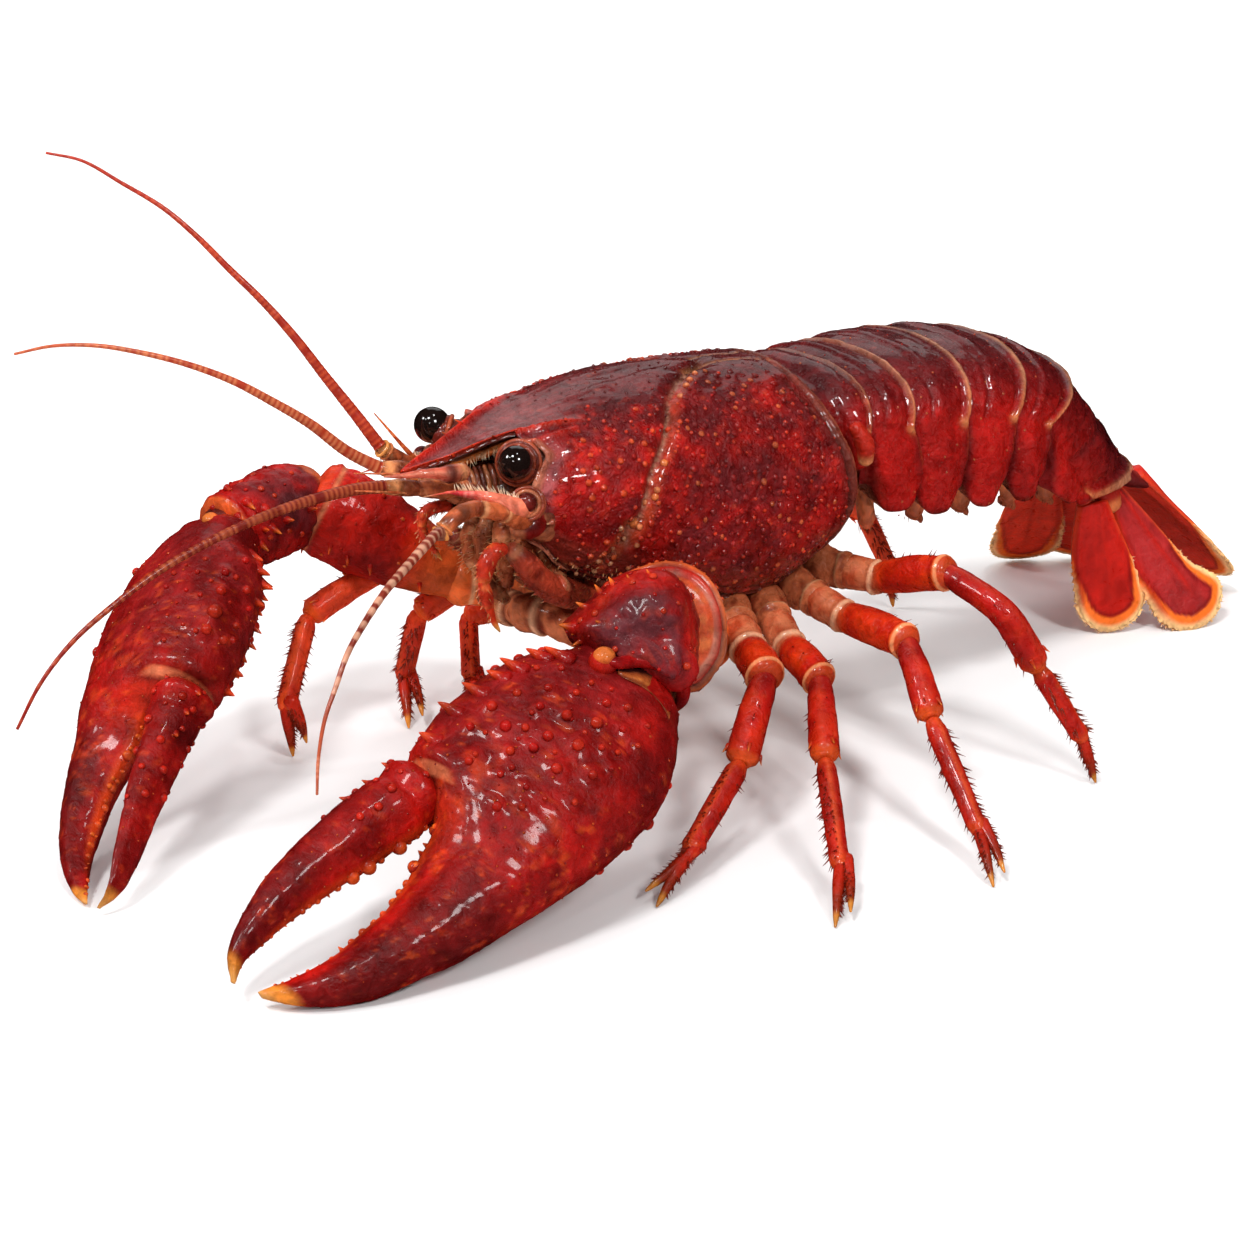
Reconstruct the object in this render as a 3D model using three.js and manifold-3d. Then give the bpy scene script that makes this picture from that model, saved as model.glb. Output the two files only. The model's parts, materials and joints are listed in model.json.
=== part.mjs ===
// Cooked crayfish, whole, lying on its legs, claws and tail fan.
// Millimetres, +Z up, z = 0 is the surface it rests on. The head faces -Y and
// the animal's left side is +X.  Every piece is a closed, rounded form: a
// sphere's grid of points is carried onto a curved centre line with a width,
// a height and a section shape given along it.  Neighbouring pieces meet with
// a small gap, cut by the neighbour's own shape grown by that gap.
import * as THREE from 'three';
import { mergeVertices } from 'three/addons/utils/BufferGeometryUtils.js';
import Module from 'manifold-3d';

const wasm = await Module();
wasm.setup();

// ---------------------------------------------------------------- sizes (mm)
const GAP = 0.3;                 // clearance between neighbouring pieces
const CENTRE_SHIFT = [-9.62, -6.11, 0];  // moves the middle of the footprint to the origin

// trunk shell, front to rear: y, half width, top z, lower edge z
const CARAPACE = [
  [-26.6, 0.0, 33.6, 33.6],
  [-25.2, 0.9, 34.4, 33.0],
  [-22.0, 2.3, 35.3, 32.9],
  [-19.0, 3.7, 36.2, 32.8],
  [-17.4, 5.2, 36.7, 31.6],
  [-16.4, 8.2, 37.0, 26.8],
  [-13.5, 9.9, 37.6, 24.0],
  [-10.0, 11.1, 38.2, 22.0],
  [-5.0, 12.2, 38.7, 19.2],
  [0.0, 12.9, 38.8, 17.0],
  [5.0, 13.4, 38.7, 15.6],
  [10.0, 13.6, 38.4, 15.3],
  [14.5, 13.5, 37.9, 16.2],
  [18.0, 13.1, 37.3, 18.2],
  [19.6, 12.4, 36.7, 20.0],
  [20.0, 0.0, 28.0, 28.0],
];
// soft underside of the trunk, with the mouth in front
const UNDERSIDE = [
  [-17.2, 0.0, 27.5, 27.5],
  [-16.4, 4.0, 29.5, 25.0],
  [-13.0, 6.6, 28.0, 20.5],
  [-8.0, 7.6, 26.0, 16.5],
  [-2.0, 8.0, 22.5, 14.2],
  [5.0, 8.2, 20.5, 13.4],
  [12.0, 8.0, 20.5, 13.9],
  [18.0, 7.0, 21.5, 15.6],
  [20.6, 0.0, 19.0, 19.0],
];
// tail: the planes between the rings.  Each leans back from the side hinges to
// the top of the back: x, hinge y, hinge z, top y, top z, half width, yaw degrees
const TAIL = [
  [0.0, 20.3, 31.0, 20.4, 35.8, 10.0, 0],
  [0.0, 22.4, 31.0, 24.2, 35.7, 10.5, 0],
  [0.0, 27.8, 30.4, 29.6, 35.8, 11.2, 0],
  [0.2, 35.4, 30.0, 37.8, 35.8, 11.5, 2],
  [0.9, 42.8, 29.2, 47.2, 34.3, 11.3, 6],
  [1.9, 48.6, 27.4, 56.0, 30.2, 10.6, 11],
  [4.4, 58.8, 16.2, 67.8, 16.2, 5.8, 24],
];
// lowest point of the side plates of each ring: y, z
const PLATE_TIP = [[21.8, 27.0], [27.6, 21.6], [33.0, 20.6], [39.2, 20.2], [45.6, 19.7], [53.6, 17.2]];
const TELSON = { base: [4.9, 66.9, 15.4], tip: [8.9, 80.3, 0.75], width: 4.7, thick: 1.1 };
const TAIL_FAN = [
  // name, base, tip, half width, thickness, side direction
  ['uropod_left_inner', [7.4, 62.6, 15.0], [16.2, 69.6, 0.9], 5.0, 0.95, [0.0, 0.86, 0.5]],
  ['uropod_left_outer', [8.6, 58.6, 14.9], [11.2, 59.6, 0.6], 4.5, 0.95, [0.45, 0.88, 0.1]],
  ['uropod_right_inner', [2.0, 64.6, 14.8], [-7.6, 72.6, 1.0], 4.4, 0.95, [0.75, 0.6, 0.0]],
  ['uropod_right_outer', [0.4, 61.6, 14.8], [-11.2, 68.4, 0.6], 4.7, 0.95, [0.5, 0.85, -0.05]],
];
const EYE = { x: 6.6, y: -18.3, z: 35.1, r: 1.6, stalkR: 1.15, inner: [3.7, -16.7, 33.2] };

// claw arm joints: start, end of the short first joint, elbow, wrist, finger tip
const CLAW = {
  left: { joints: [[8.6, 0.6, 14.0], [12.4, 0.2, 14.2], [20.3, -7.4, 20.1], [20.2, -16.75, 18.65], [26.7, -59.6, 2.5]],
          inner: [-0.815, -0.299, 0.497] },
  right: { joints: [[-8.6, 0.2, 14.0], [-14.0, -10.4, 15.4], [-25.0, -22.0, 23.6], [-23.0, -32.6, 22.6], [-0.9, -62.9, 0.9]],
           inner: [0.855, 0.315, 0.411] },
};
const PALM = {                  // along the claw: distance, outer edge, inner edge, half thickness
  rows: [[-3.2, -1.5, 1.5, 0.0], [-2.4, -3.6, 1.8, 2.4], [0.0, -6.4, 3.8, 3.6], [3.5, -8.8, 5.6, 4.6], [8.0, -10.9, 7.2, 5.3],
         [13.0, -11.9, 7.9, 5.6], [18.0, -11.8, 7.7, 5.3], [21.5, -11.3, 6.6, 4.7], [24.6, -10.8, 0.6, 3.9],
         [28.0, -10.2, -0.6, 3.4], [32.0, -9.2, -1.4, 3.0], [36.5, -7.9, -1.8, 2.5],
         [41.0, -5.9, -1.4, 1.8], [44.2, -3.3, -0.4, 1.0], [46.0, -0.6, 0.2, 0.0]],
};
const DACTYL = {
  rows: [[21.6, 3.2, 4.2, 0.0], [22.4, 1.4, 6.2, 2.2], [25.3, 1.2, 7.2, 2.9], [29.5, 1.9, 7.6, 2.9], [34.0, 2.5, 7.7, 2.6],
         [38.5, 3.0, 7.2, 2.2], [42.5, 3.3, 6.2, 1.6], [45.6, 3.2, 4.6, 0.9], [47.2, 2.7, 2.9, 0.0]],
};

// walking legs: hip, thigh end, knee, shin end, foot joint, tip
const LEGS = {
  leg_left_1: [[9.6, 5.2, 15.6], [16.4, 2.3, 14.1], [21.1, 0.3, 13.6], [25.6, -6.4, 8.0], [29.4, -15.6, 3.1], [31.9, -21.5, 0.25]],
  leg_left_2: [[9.8, 9.6, 15.6], [17.3, 6.7, 13.7], [23.4, 5.2, 12.7], [31.0, -0.7, 8.8], [40.2, -6.8, 3.1], [44.8, -11.4, 0.25]],
  leg_left_3: [[9.4, 14.0, 16.0], [16.6, 14.5, 14.8], [26.4, 13.6, 15.5], [33.2, 10.7, 10.7], [42.9, 8.0, 3.3], [47.8, 5.3, 0.25]],
  leg_left_4: [[8.6, 18.6, 16.9], [14.9, 20.4, 17.0], [23.7, 21.3, 20.0], [30.7, 22.2, 17.8], [33.0, 25.2, 11.9], [36.7, 28.0, 5.0], [37.8, 29.2, 0.25]],
  leg_right_1: [[-9.6, 4.6, 15.6], [-15.1, -4.8, 15.9], [-20.5, -14.0, 16.3], [-21.5, -24.3, 12.5], [-15.5, -31.0, 6.3], [-16.4, -29.9, 0.25]],
  leg_right_2: [[-9.8, 8.8, 15.6], [-12.6, 2.0, 14.2], [-14.6, -6.6, 15.0], [-17.4, -13.6, 11.5], [-19.3, -14.4, 4.0], [-15.0, -16.8, 0.25]],
  leg_right_3: [[-9.4, 13.6, 16.0], [-13.2, 6.6, 13.0], [-15.8, -1.4, 9.6], [-20.6, -5.2, 8.2], [-17.4, -7.2, 2.6], [-15.0, -9.0, 0.25]],
  leg_right_4: [[-8.6, 18.6, 16.9], [-10.4, 25.2, 18.2], [-11.4, 33.8, 17.6], [-9.4, 40.6, 12.8], [-8.2, 43.4, 6.4], [-9.3, 45.6, 0.25]],
};
const LEG_R = [1.7, 1.65, 1.6, 1.35, 0.95, 0.22];   // leg half thickness at those points

// long feelers: from the head to the free tip
const FEELERS = {
  feeler_right_upper: [[-7.0, -24.4, 34.4], [-10.3, -28.1, 41.2], [-16.2, -34.5, 51.5], [-22.6, -41.7, 59.5], [-27.3, -46.8, 62.2]],
  feeler_right_lower: [[-4.7, -25.9, 33.1], [-7.3, -31.9, 38.1], [-11.6, -42.0, 44.7], [-14.8, -49.4, 47.1], [-17.7, -56.3, 46.9]],
  feeler_left_upper: [[2.2, -30.1, 34.1], [2.2, -38.0, 34.5], [2.2, -48.3, 33.0], [2.2, -58.0, 29.5], [2.2, -68.5, 20.2]],
  feeler_left_lower: [[8.8, -28.4, 30.9], [13.6, -35.2, 31.0], [17.2, -42.5, 28.1], [19.8, -47.4, 23.6], [21.1, -50.2, 15.7]],
};
const FEELER_R = [0.75, 0.16];

// ------------------------------------------------------------- basic helpers
const V = (a) => new THREE.Vector3(a[0], a[1], a[2]);
const mix = (a, b, t) => a + (b - a) * t;
const spow = (v, e) => Math.sign(v) * Math.pow(Math.abs(v), e);

// value from a table of rows at fractional row position p
function row(table, p) {
  const i = Math.min(Math.floor(p), table.length - 2);
  const t = p - i;
  return table[i].map((v, k) => mix(v, table[i + 1][k], t));
}
// closed form: the points of a sphere's grid placed by place(rowIndex, angle)
function closed(around, rows, place) {
  const g = new THREE.SphereGeometry(1, around, rows);
  const pos = g.attributes.position;
  for (let i = 0; i <= rows; i++) {
    for (let j = 0; j <= around; j++) {
      const a = ((j % around) / around) * Math.PI * 2;
      const p = place(i, a);
      pos.setXYZ(i * (around + 1) + j, p.x, p.y, p.z);
    }
  }
  g.deleteAttribute('normal');
  g.deleteAttribute('uv');
  return solidOf(mergeVertices(g, 1e-4));
}
function solidOf(g) {
  const p = new Float32Array(g.attributes.position.array);
  let idx = Array.from(g.index.array);
  const tri = [];
  for (let i = 0; i < idx.length; i += 3) {
    const [a, b, c] = [idx[i], idx[i + 1], idx[i + 2]];
    if (a !== b && b !== c && a !== c) tri.push(a, b, c);
  }
  let vol = 0;
  for (let i = 0; i < tri.length; i += 3) {
    const [a, b, c] = [tri[i] * 3, tri[i + 1] * 3, tri[i + 2] * 3];
    vol += p[a] * (p[b + 1] * p[c + 2] - p[b + 2] * p[c + 1])
         - p[a + 1] * (p[b] * p[c + 2] - p[b + 2] * p[c])
         + p[a + 2] * (p[b] * p[c + 1] - p[b + 1] * p[c]);
  }
  if (vol < 0) for (let i = 0; i < tri.length; i += 3) [tri[i + 1], tri[i + 2]] = [tri[i + 2], tri[i + 1]];
  return new wasm.Manifold(new wasm.Mesh({ numProp: 3, vertProperties: p, triVerts: new Uint32Array(tri) }));
}
// rounded limb along points with half widths a (sideways) and b (along 'up')
function limb(points, a, b, { around = 8, per = 2, up = null, grow = 0, blunt = 0.9 } = {}) {
  const pts = points.map(V);
  const curve = new THREE.CatmullRomCurve3(pts, false, 'centripetal');
  const n = (pts.length - 1) * per;
  const len = curve.getLength();
  const stations = [];
  for (let i = 0; i <= n; i++) {
    const t = i / n;
    const q = t * (pts.length - 1);
    const k = Math.min(Math.floor(q), pts.length - 2);
    stations.push({ p: curve.getPoint(t), d: curve.getTangent(t), a: mix(a[k], a[k + 1], q - k) + grow, b: mix(b[k], b[k + 1], q - k) + grow });
  }
  // round the two ends
  const first = stations[0], last = stations[n];
  const ends = (s, dir) => [
    { p: s.p.clone().addScaledVector(s.d, dir * Math.min(s.a, s.b) * blunt), d: s.d, a: 0, b: 0 },
    { p: s.p.clone().addScaledVector(s.d, dir * Math.min(s.a, s.b) * blunt * 0.72), d: s.d, a: s.a * 0.68, b: s.b * 0.68 },
  ];
  const [f0, f1] = ends(first, -1);
  const [l0, l1] = ends(last, 1);
  const all = [f0, f1, ...stations, l1, l0];
  // the cross direction is carried along the line, so that the form never twists
  const ref = up ? V(up) : new THREE.Vector3(0, 0, 1);
  let side = null;
  for (const s of all) {
    side = (side ? side.clone().addScaledVector(s.d, -side.dot(s.d)) : new THREE.Vector3().crossVectors(s.d, ref)).normalize();
    s.side = side;
    s.nor = new THREE.Vector3().crossVectors(side, s.d).normalize();
  }
  return closed(around, all.length - 1, (i, ang) => {
    const s = all[i];
    return s.p.clone().addScaledVector(s.side, s.a * Math.cos(ang)).addScaledVector(s.nor, s.b * Math.sin(ang));
  });
}
// trunk-like form from a table of y, half width, top z, lower z
function trunk(table, around, grow, eTop, eLow, waist) {
  return closed(around, table.length - 1, (i, ang) => {
    const [y, w, zt, zb] = table[i];
    const h = zt - zb;
    const zm = zb + h * waist;
    const flat = w === 0;
    const c = Math.cos(ang), s = Math.sin(ang);
    const x = flat ? 0 : (w + grow) * spow(c, s > 0 ? 2 / eTop : 2 / eLow);
    const z = flat ? zt : s > 0 ? zm + (zt + grow - zm) * spow(s, 2 / eTop) : zm + (zm - zb + grow) * spow(s, 2 / eLow);
    const gy = i === 0 ? -grow : i === table.length - 1 ? grow : 0;
    return new THREE.Vector3(x, y + gy, z);
  });
}
// tail ring: an arched back on side hinges, with a side plate hanging down at
// each side; t runs from the front plane (0) to the rear plane (1)
function tailPoint(k, t, ang, grow, shrink) {
  const A = TAIL[k], B = TAIL[k + 1];
  const v = A.map((q, n) => mix(q, B[n], t));
  const w = v[5] + Math.sin(Math.PI * t) * 0.3;
  const yw = THREE.MathUtils.degToRad(v[6]);
  const side = new THREE.Vector3(Math.cos(yw), -Math.sin(yw), 0);
  const hinge = new THREE.Vector3(v[0], v[1], v[2]);
  const rise = new THREE.Vector3(0, v[3] - v[1], v[4] - v[2] + Math.sin(Math.PI * t) * 0.45);
  const c = Math.cos(ang), s = Math.sin(ang);
  if (s > -1e-6) {
    return hinge.addScaledVector(side, (w * shrink + grow) * spow(c, 0.86))
      .addScaledVector(rise, (shrink + grow / rise.length()) * spow(Math.max(s, 0), 0.9));
  }
  const q = -s, sg = Math.sign(Math.abs(c) < 1e-9 ? 0 : c);
  const last = k === 5;
  const span = last ? 7.0 : 2.6;
  const ty = PLATE_TIP[k][0] + (t - 0.5) * span;
  const tz = PLATE_TIP[k][1] + (last ? (0.5 - t) * 3.2 : 3.0 * (t - 0.5) * (t - 0.5)) - grow;
  if (q < 0.55) {
    const f = Math.min(1, q / 0.5);
    return hinge.addScaledVector(side, sg * (w * shrink * (1 - 0.03 * f) + grow)).lerp(
      new THREE.Vector3(v[0] + side.x * sg * (w * 0.97 + grow), ty + side.y * sg * w * 0.97, tz), f);
  }
  if (q < 0.8) return new THREE.Vector3(v[0] + side.x * sg * w * 0.84, ty + side.y * sg * w * 0.84, tz + 0.4);
  const bz = tz + (last ? 1.0 : 4.2);
  const out = w * 0.74 * (Math.abs(c) / 0.5);
  return new THREE.Vector3(v[0] + side.x * sg * out, mix(ty, v[1], 0.6) + side.y * sg * out, bz);
}
function tailRing(k, grow) {
  const ts = [0, 0.45, 1];
  const len = Math.max(1, TAIL[k + 1][1] - TAIL[k][1]);
  const off = (GAP / 2 - grow) / len;
  const at = (i) => (i === 0 ? off : i === ts.length - 1 ? 1 - off : ts[i]);
  const rows = ts.length + 2;
  return closed(24, rows - 1, (i, ang) => {
    if (i === 0 || i === rows - 1) {
      const t = at(i === 0 ? 0 : ts.length - 1);
      return tailPoint(k, t, Math.PI / 2, 0, 1).lerp(tailPoint(k, t, -Math.PI / 2, 0, 1), 0.5);
    }
    return tailPoint(k, at(i - 1), ang, grow, i === 1 ? 0.975 : 1);
  });
}
// thin rounded plate from base to tip, broad towards its end
function plate(base, tip, width, thick, side, grow, shape) {
  const b = V(base), t = V(tip);
  const d = t.clone().sub(b);
  const L = d.length(); d.normalize();
  const s = V(side); s.addScaledVector(d, -s.dot(d)).normalize();
  const n = new THREE.Vector3().crossVectors(d, s);
  const rows = [0, 0.02, 0.14, 0.32, 0.52, 0.72, 0.87, 0.96, 1];
  return closed(8, rows.length - 1, (i, ang) => {
    const u = rows[i];
    const w = i === 0 || i === rows.length - 1 ? 0 : width * shape(u) + grow;
    const th = (thick / 2) * (u > 0.9 ? 0.7 : 1) + grow;
    const c = Math.cos(ang), q = Math.sin(ang);
    const cup = -0.6 * (w / width) * (w / width) * c * c;
    return b.clone().addScaledVector(d, L * u + (i === 0 ? -grow : i === rows.length - 1 ? grow : 0))
      .addScaledVector(s, w * c).addScaledVector(n, (w === 0 ? 0 : th * spow(q, 0.7)) + cup);
  });
}
// claw piece from rows of distance, outer edge, inner edge, half thickness
function clawForm(side, rows, around, grow) {
  const { joints, inner } = CLAW[side];
  const w = V(joints[3]), t = V(joints[4]);
  const d = t.clone().sub(w);
  const scale = d.length() / 46.0;
  d.normalize();
  const e = V(inner); e.addScaledVector(d, -e.dot(d)).normalize();
  const n = new THREE.Vector3().crossVectors(d, e);
  if (n.z < 0) n.negate();
  return closed(around, rows.length - 1, (i, ang) => {
    let [s, o, q, h] = rows[i];
    if (side === 'left') o *= rows === PALM.rows ? 1.05 : 1;
    const end = i === 0 || i === rows.length - 1;
    if (side === 'right') {                 // the right hand is a little slimmer, its finger straighter
      const shift = 1.0 - (rows === DACTYL.rows ? 2.2 * Math.sin(Math.PI * Math.min(1, Math.max(0, (s - 21.6) / 25.6))) : 0);
      o = o * 0.88 + shift; q = q * 0.88 + shift;
    }
    const mid = (o + q) / 2 * scale, half = end ? 0 : (q - o) / 2 * scale + grow;
    const c = Math.cos(ang), z = Math.sin(ang);
    const bow = s > 24 ? -0.012 * (s - 24) * (s - 24) * 0.15 : 0;
    return w.clone().addScaledVector(d, s * scale + (i === 0 ? -grow : end ? grow : 0))
      .addScaledVector(e, mid + half * spow(c, 0.85))
      .addScaledVector(n, (end ? 0 : (h * scale + grow) * spow(z, 0.9)) + bow);
  });
}

// ---------------------------------------------------------------- the pieces
const build = {};
build.carapace = (g) => trunk(CARAPACE, 20, g, 2.15, 2.3, 0.42);
build.underside = (g) => trunk(UNDERSIDE, 8, g, 2.2, 2.2, 0.5);
for (let k = 0; k < 6; k++) build[`tail_ring_${k + 1}`] = (g) => tailRing(k, g);
build.telson = (g) => plate(TELSON.base, TELSON.tip, TELSON.width, TELSON.thick, [0.906, -0.42, 0.0], g, (u) => 0.78 + 0.22 * Math.sin(Math.PI * Math.min(1, u * 1.1)) - (u > 0.9 ? (u - 0.9) * 3.4 : 0));
const fan = (u) => Math.pow(Math.sin(Math.PI * Math.pow(0.08 + 0.90 * u, 1.35)), 0.55);
for (const [name, b, t, w, th, s] of TAIL_FAN) build[name] = (g) => plate(b, t, w, th, s, g, fan);
for (const [nm, sx] of [['left', 1], ['right', -1]]) {
  build[`eye_${nm}`] = (g) => {
    const inner = V([EYE.inner[0] * sx, EYE.inner[1], EYE.inner[2]]), out = V([EYE.x * sx, EYE.y, EYE.z]);
    const d = out.clone().sub(inner); const L = d.length(); d.normalize();
    const prof = [[0, 0], [0.1, EYE.stalkR], [L - EYE.r * 0.75, EYE.stalkR], [L - EYE.r * 0.62, EYE.r * 0.80], [L - EYE.r * 0.2, EYE.r * 0.99],
      [L + EYE.r * 0.35, EYE.r * 0.93], [L + EYE.r * 0.8, EYE.r * 0.58], [L + EYE.r, 0]];
    const ref = new THREE.Vector3(0, 0, 1);
    const a = new THREE.Vector3().crossVectors(d, ref).normalize(), b = new THREE.Vector3().crossVectors(a, d);
    return closed(8, prof.length - 1, (i, ang) => {
      const r = prof[i][1] > 0 ? prof[i][1] + g : 0;
      return inner.clone().addScaledVector(d, prof[i][0] + (i === 0 ? -g : i === prof.length - 1 ? g : 0)).addScaledVector(a, r * Math.cos(ang)).addScaledVector(b, r * Math.sin(ang));
    });
  };
}
for (const [name, pts] of Object.entries(FEELERS)) {
  const r = pts.map((_, i) => mix(FEELER_R[0], FEELER_R[1], Math.pow(i / (pts.length - 1), 0.75)));
  build[name] = (g) => limb(pts, r, r, { around: 4, per: 3, grow: g });
}
// thick jointed roots of the two outer feelers, each with its flat side blade
build.feeler_root_left = (g) => limb([[6.6, -16.6, 29.6], [7.9, -21.0, 30.4], [8.6, -27.4, 30.8]], [1.7, 1.35, 0.95], [1.6, 1.3, 0.95], { around: 6, grow: g })
  .add(limb([[7.2, -17.2, 31.0], [7.2, -20.6, 31.9], [5.8, -25.4, 33.2]], [1.1, 1.2, 0.3], [0.5, 0.5, 0.3], { around: 6, grow: g }));
build.feeler_root_right = (g) => limb([[-6.2, -16.6, 29.6], [-6.4, -20.4, 31.0], [-6.8, -23.8, 33.6]], [1.6, 1.3, 0.9], [1.5, 1.3, 0.9], { around: 6, grow: g })
  .add(limb([[-7.0, -17.2, 31.0], [-7.6, -20.6, 31.4], [-7.6, -24.6, 31.8]], [1.1, 1.2, 0.3], [0.5, 0.5, 0.3], { around: 6, grow: g }));
build.small_feelers_left = (g) => limb([[2.4, -17.6, 31.6], [2.4, -23.0, 32.0], [2.2, -29.2, 33.9]], [1.1, 1.0, 0.85], [0.9, 0.9, 0.8], { around: 6, grow: g })
  .add(limb([[2.6, -23.6, 31.9], [2.9, -28.6, 32.0], [2.8, -33.6, 33.0]], [0.4, 0.3, 0.14], [0.4, 0.3, 0.14], { around: 4, grow: g }));
build.small_feelers_right = (g) => limb([[-2.4, -17.6, 31.0], [-3.6, -21.0, 32.0], [-4.5, -25.0, 32.9]], [1.0, 1.0, 0.85], [0.9, 0.9, 0.8], { around: 6, grow: g })
  .add(limb([[-3.6, -21.6, 32.4], [-3.4, -24.2, 35.4], [-4.4, -26.6, 38.6]], [0.4, 0.3, 0.14], [0.4, 0.3, 0.14], { around: 4, grow: g }));
build.jaw_leg_left = (g) => limb([[5.6, -9.0, 20.0], [7.4, -13.8, 21.6], [7.4, -18.6, 25.4], [7.2, -21.2, 25.6], [7.0, -21.0, 19.0]], [1.3, 1.4, 1.2, 1.0, 0.35], [1.3, 1.4, 1.2, 1.0, 0.35], { around: 6, per: 2, up: [1, 0, 0], grow: g });
build.jaw_leg_right = (g) => limb([[-5.0, -9.0, 20.0], [-6.2, -13.8, 21.6], [-6.0, -18.4, 25.4], [-5.4, -21.0, 25.2], [-4.6, -20.6, 18.8]], [1.3, 1.4, 1.2, 1.0, 0.35], [1.3, 1.4, 1.2, 1.0, 0.35], { around: 6, per: 2, up: [1, 0, 0], grow: g });

for (const side of ['left', 'right']) {
  const J = CLAW[side].joints;
  const m = (a, b, t) => a.map((v, i) => mix(v, b[i], t));
  build[`claw_${side}_base`] = (g) => limb([J[0], m(J[0], J[1], 0.5), J[1]], [2.6, 2.8, 2.7], [2.4, 2.6, 2.6], { around: 6, per: 1, grow: g });
  build[`claw_${side}_upper_arm`] = (g) => limb([m(J[1], J[2], 0.08), m(J[1], J[2], 0.5), m(J[1], J[2], 0.94)], [2.8, 4.0, 4.6], [2.7, 4.0, 4.9], { around: 8, per: 2, grow: g });
  build[`claw_${side}_wrist`] = (g) => side === 'left'
    ? limb([m(J[2], J[3], 0.30), m(J[2], J[3], 0.60), m(J[2], J[3], 0.86)], [4.6, 5.2, 4.8], [5.6, 6.1, 5.2], { around: 10, per: 2, grow: g, blunt: 0.7 })
    : limb([m(J[2], J[3], 0.05), m(J[2], J[3], 0.5), m(J[2], J[3], 0.95)], [3.9, 4.4, 3.8], [4.0, 4.3, 3.8], { around: 10, per: 2, grow: g, blunt: 0.7 });
  build[`claw_${side}_hand`] = (g) => clawForm(side, PALM.rows, 12, g);
  build[`claw_${side}_finger`] = (g) => clawForm(side, DACTYL.rows, 8, g);
}
for (const [name, pts] of Object.entries(LEGS)) {
  const n = pts.length;
  const fat = name === 'leg_left_1' ? 1.15 : 1;
  const r = (n === 7 ? [...LEG_R.slice(0, 4), 1.25, 0.95, 0.22] : LEG_R).map((v) => v * fat);
  const cut = n === 7 ? [2, 4] : [2, 3];
  build[`${name}_thigh`] = (g) => limb(pts.slice(0, cut[0] + 1), r.slice(0, 3).map((v) => v * 1.05), r.slice(0, 3).map((v) => v * 0.95), { around: 6, per: 1, grow: g });
  build[`${name}_shin`] = (g) => limb(pts.slice(cut[0], cut[1] + 1), r.slice(cut[0], cut[1] + 1).map((v) => v * 0.95), r.slice(cut[0], cut[1] + 1), { around: 6, per: 1, grow: g, blunt: 0.8 });
  build[`${name}_foot`] = (g) => {
    const p = pts.slice(cut[1]);
    const rr = r.slice(cut[1]);
    let s = limb(p, rr.map((v) => v * 0.92), rr, { around: 6, per: 1, grow: g, blunt: 0.8 });
    if (!name.endsWith('4')) {              // small fixed finger beside the tip
      const a = p[p.length - 2], b = p[p.length - 1];
      const dx = name.includes('left') ? 0.9 : 1.4;
      const f = [mix(a[0], b[0], 0.80) + dx, mix(a[1], b[1], 0.80) + 0.9, mix(a[2], b[2], 0.72) + 0.35];
      s = s.add(limb([[a[0], a[1], a[2]], f], [0.55 + g * 0.5, 0.16], [0.55 + g * 0.5, 0.16], { around: 4, per: 1, grow: g }));
    }
    return s;
  };
}

// each piece is cut by the grown shape of the pieces that overlap it from above
const LOOKS = {
  carapace: ['#6a1519', 0.30], underside: ['#a5522f', 0.5], tail_ring: ['#6e1418', 0.28], telson: ['#7c2328', 0.34], uropod: ['#9c1f1d', 0.34],
  eye: ['#140d0b', 0.12], feeler: ['#8a2413', 0.45], small: ['#a8442a', 0.45], jaw: ['#a3321a', 0.42], claw: ['#8e120d', 0.26], leg: ['#a82d13', 0.33],
};
const look = (name) => {
  const key = Object.keys(LOOKS).find((k) => name.startsWith(k));
  return LOOKS[key];
};
const order = [
  'carapace', ...[1, 2, 3, 4, 5, 6].map((k) => `tail_ring_${k}`), 'telson', 'uropod_left_inner', 'uropod_right_inner', 'uropod_left_outer', 'uropod_right_outer',
  'claw_left_finger', 'claw_right_finger', 'claw_left_wrist', 'claw_right_wrist', 'claw_left_hand', 'claw_right_hand',
  'claw_left_upper_arm', 'claw_right_upper_arm', 'claw_left_base', 'claw_right_base',
  ...Object.keys(LEGS).flatMap((n) => [`${n}_shin`, `${n}_foot`, `${n}_thigh`]),
  'eye_left', 'eye_right', 'feeler_root_left', 'feeler_root_right', ...Object.keys(FEELERS), 'small_feelers_left', 'small_feelers_right',
  'jaw_leg_left', 'jaw_leg_right', 'underside',
];
const boxOf = (m) => m.boundingBox();
const meet = (a, b) => [0, 1, 2].every((i) => a.min[i] < b.max[i] && b.min[i] < a.max[i]);
const group = new THREE.Group();
group.position.set(...CENTRE_SHIFT);
const grown = [];
for (const name of order) {
  let s = build[name](0);
  const box = boxOf(s);
  const cutters = grown.filter((o) => meet(box, o.box));
  for (const c of cutters) s = s.subtract(c.solid);
  const bits = s.decompose();
  if (bits.length > 1) s = bits.sort((p, q) => q.volume() - p.volume())[0];
  const g = build[name](GAP);
  grown.push({ solid: g, box: boxOf(g), name });
  const mesh = s.getMesh();
  const geo = new THREE.BufferGeometry();
  geo.setAttribute('position', new THREE.BufferAttribute(new Float32Array(mesh.vertProperties), 3));
  geo.setIndex(new THREE.BufferAttribute(new Uint32Array(mesh.triVerts), 1));
  const [colour, rough] = look(name);
  const out = new THREE.Mesh(geo, new THREE.MeshStandardMaterial({ color: colour, roughness: rough, metalness: 0 }));
  out.name = name;
  group.add(out);
}
export default group;
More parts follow.
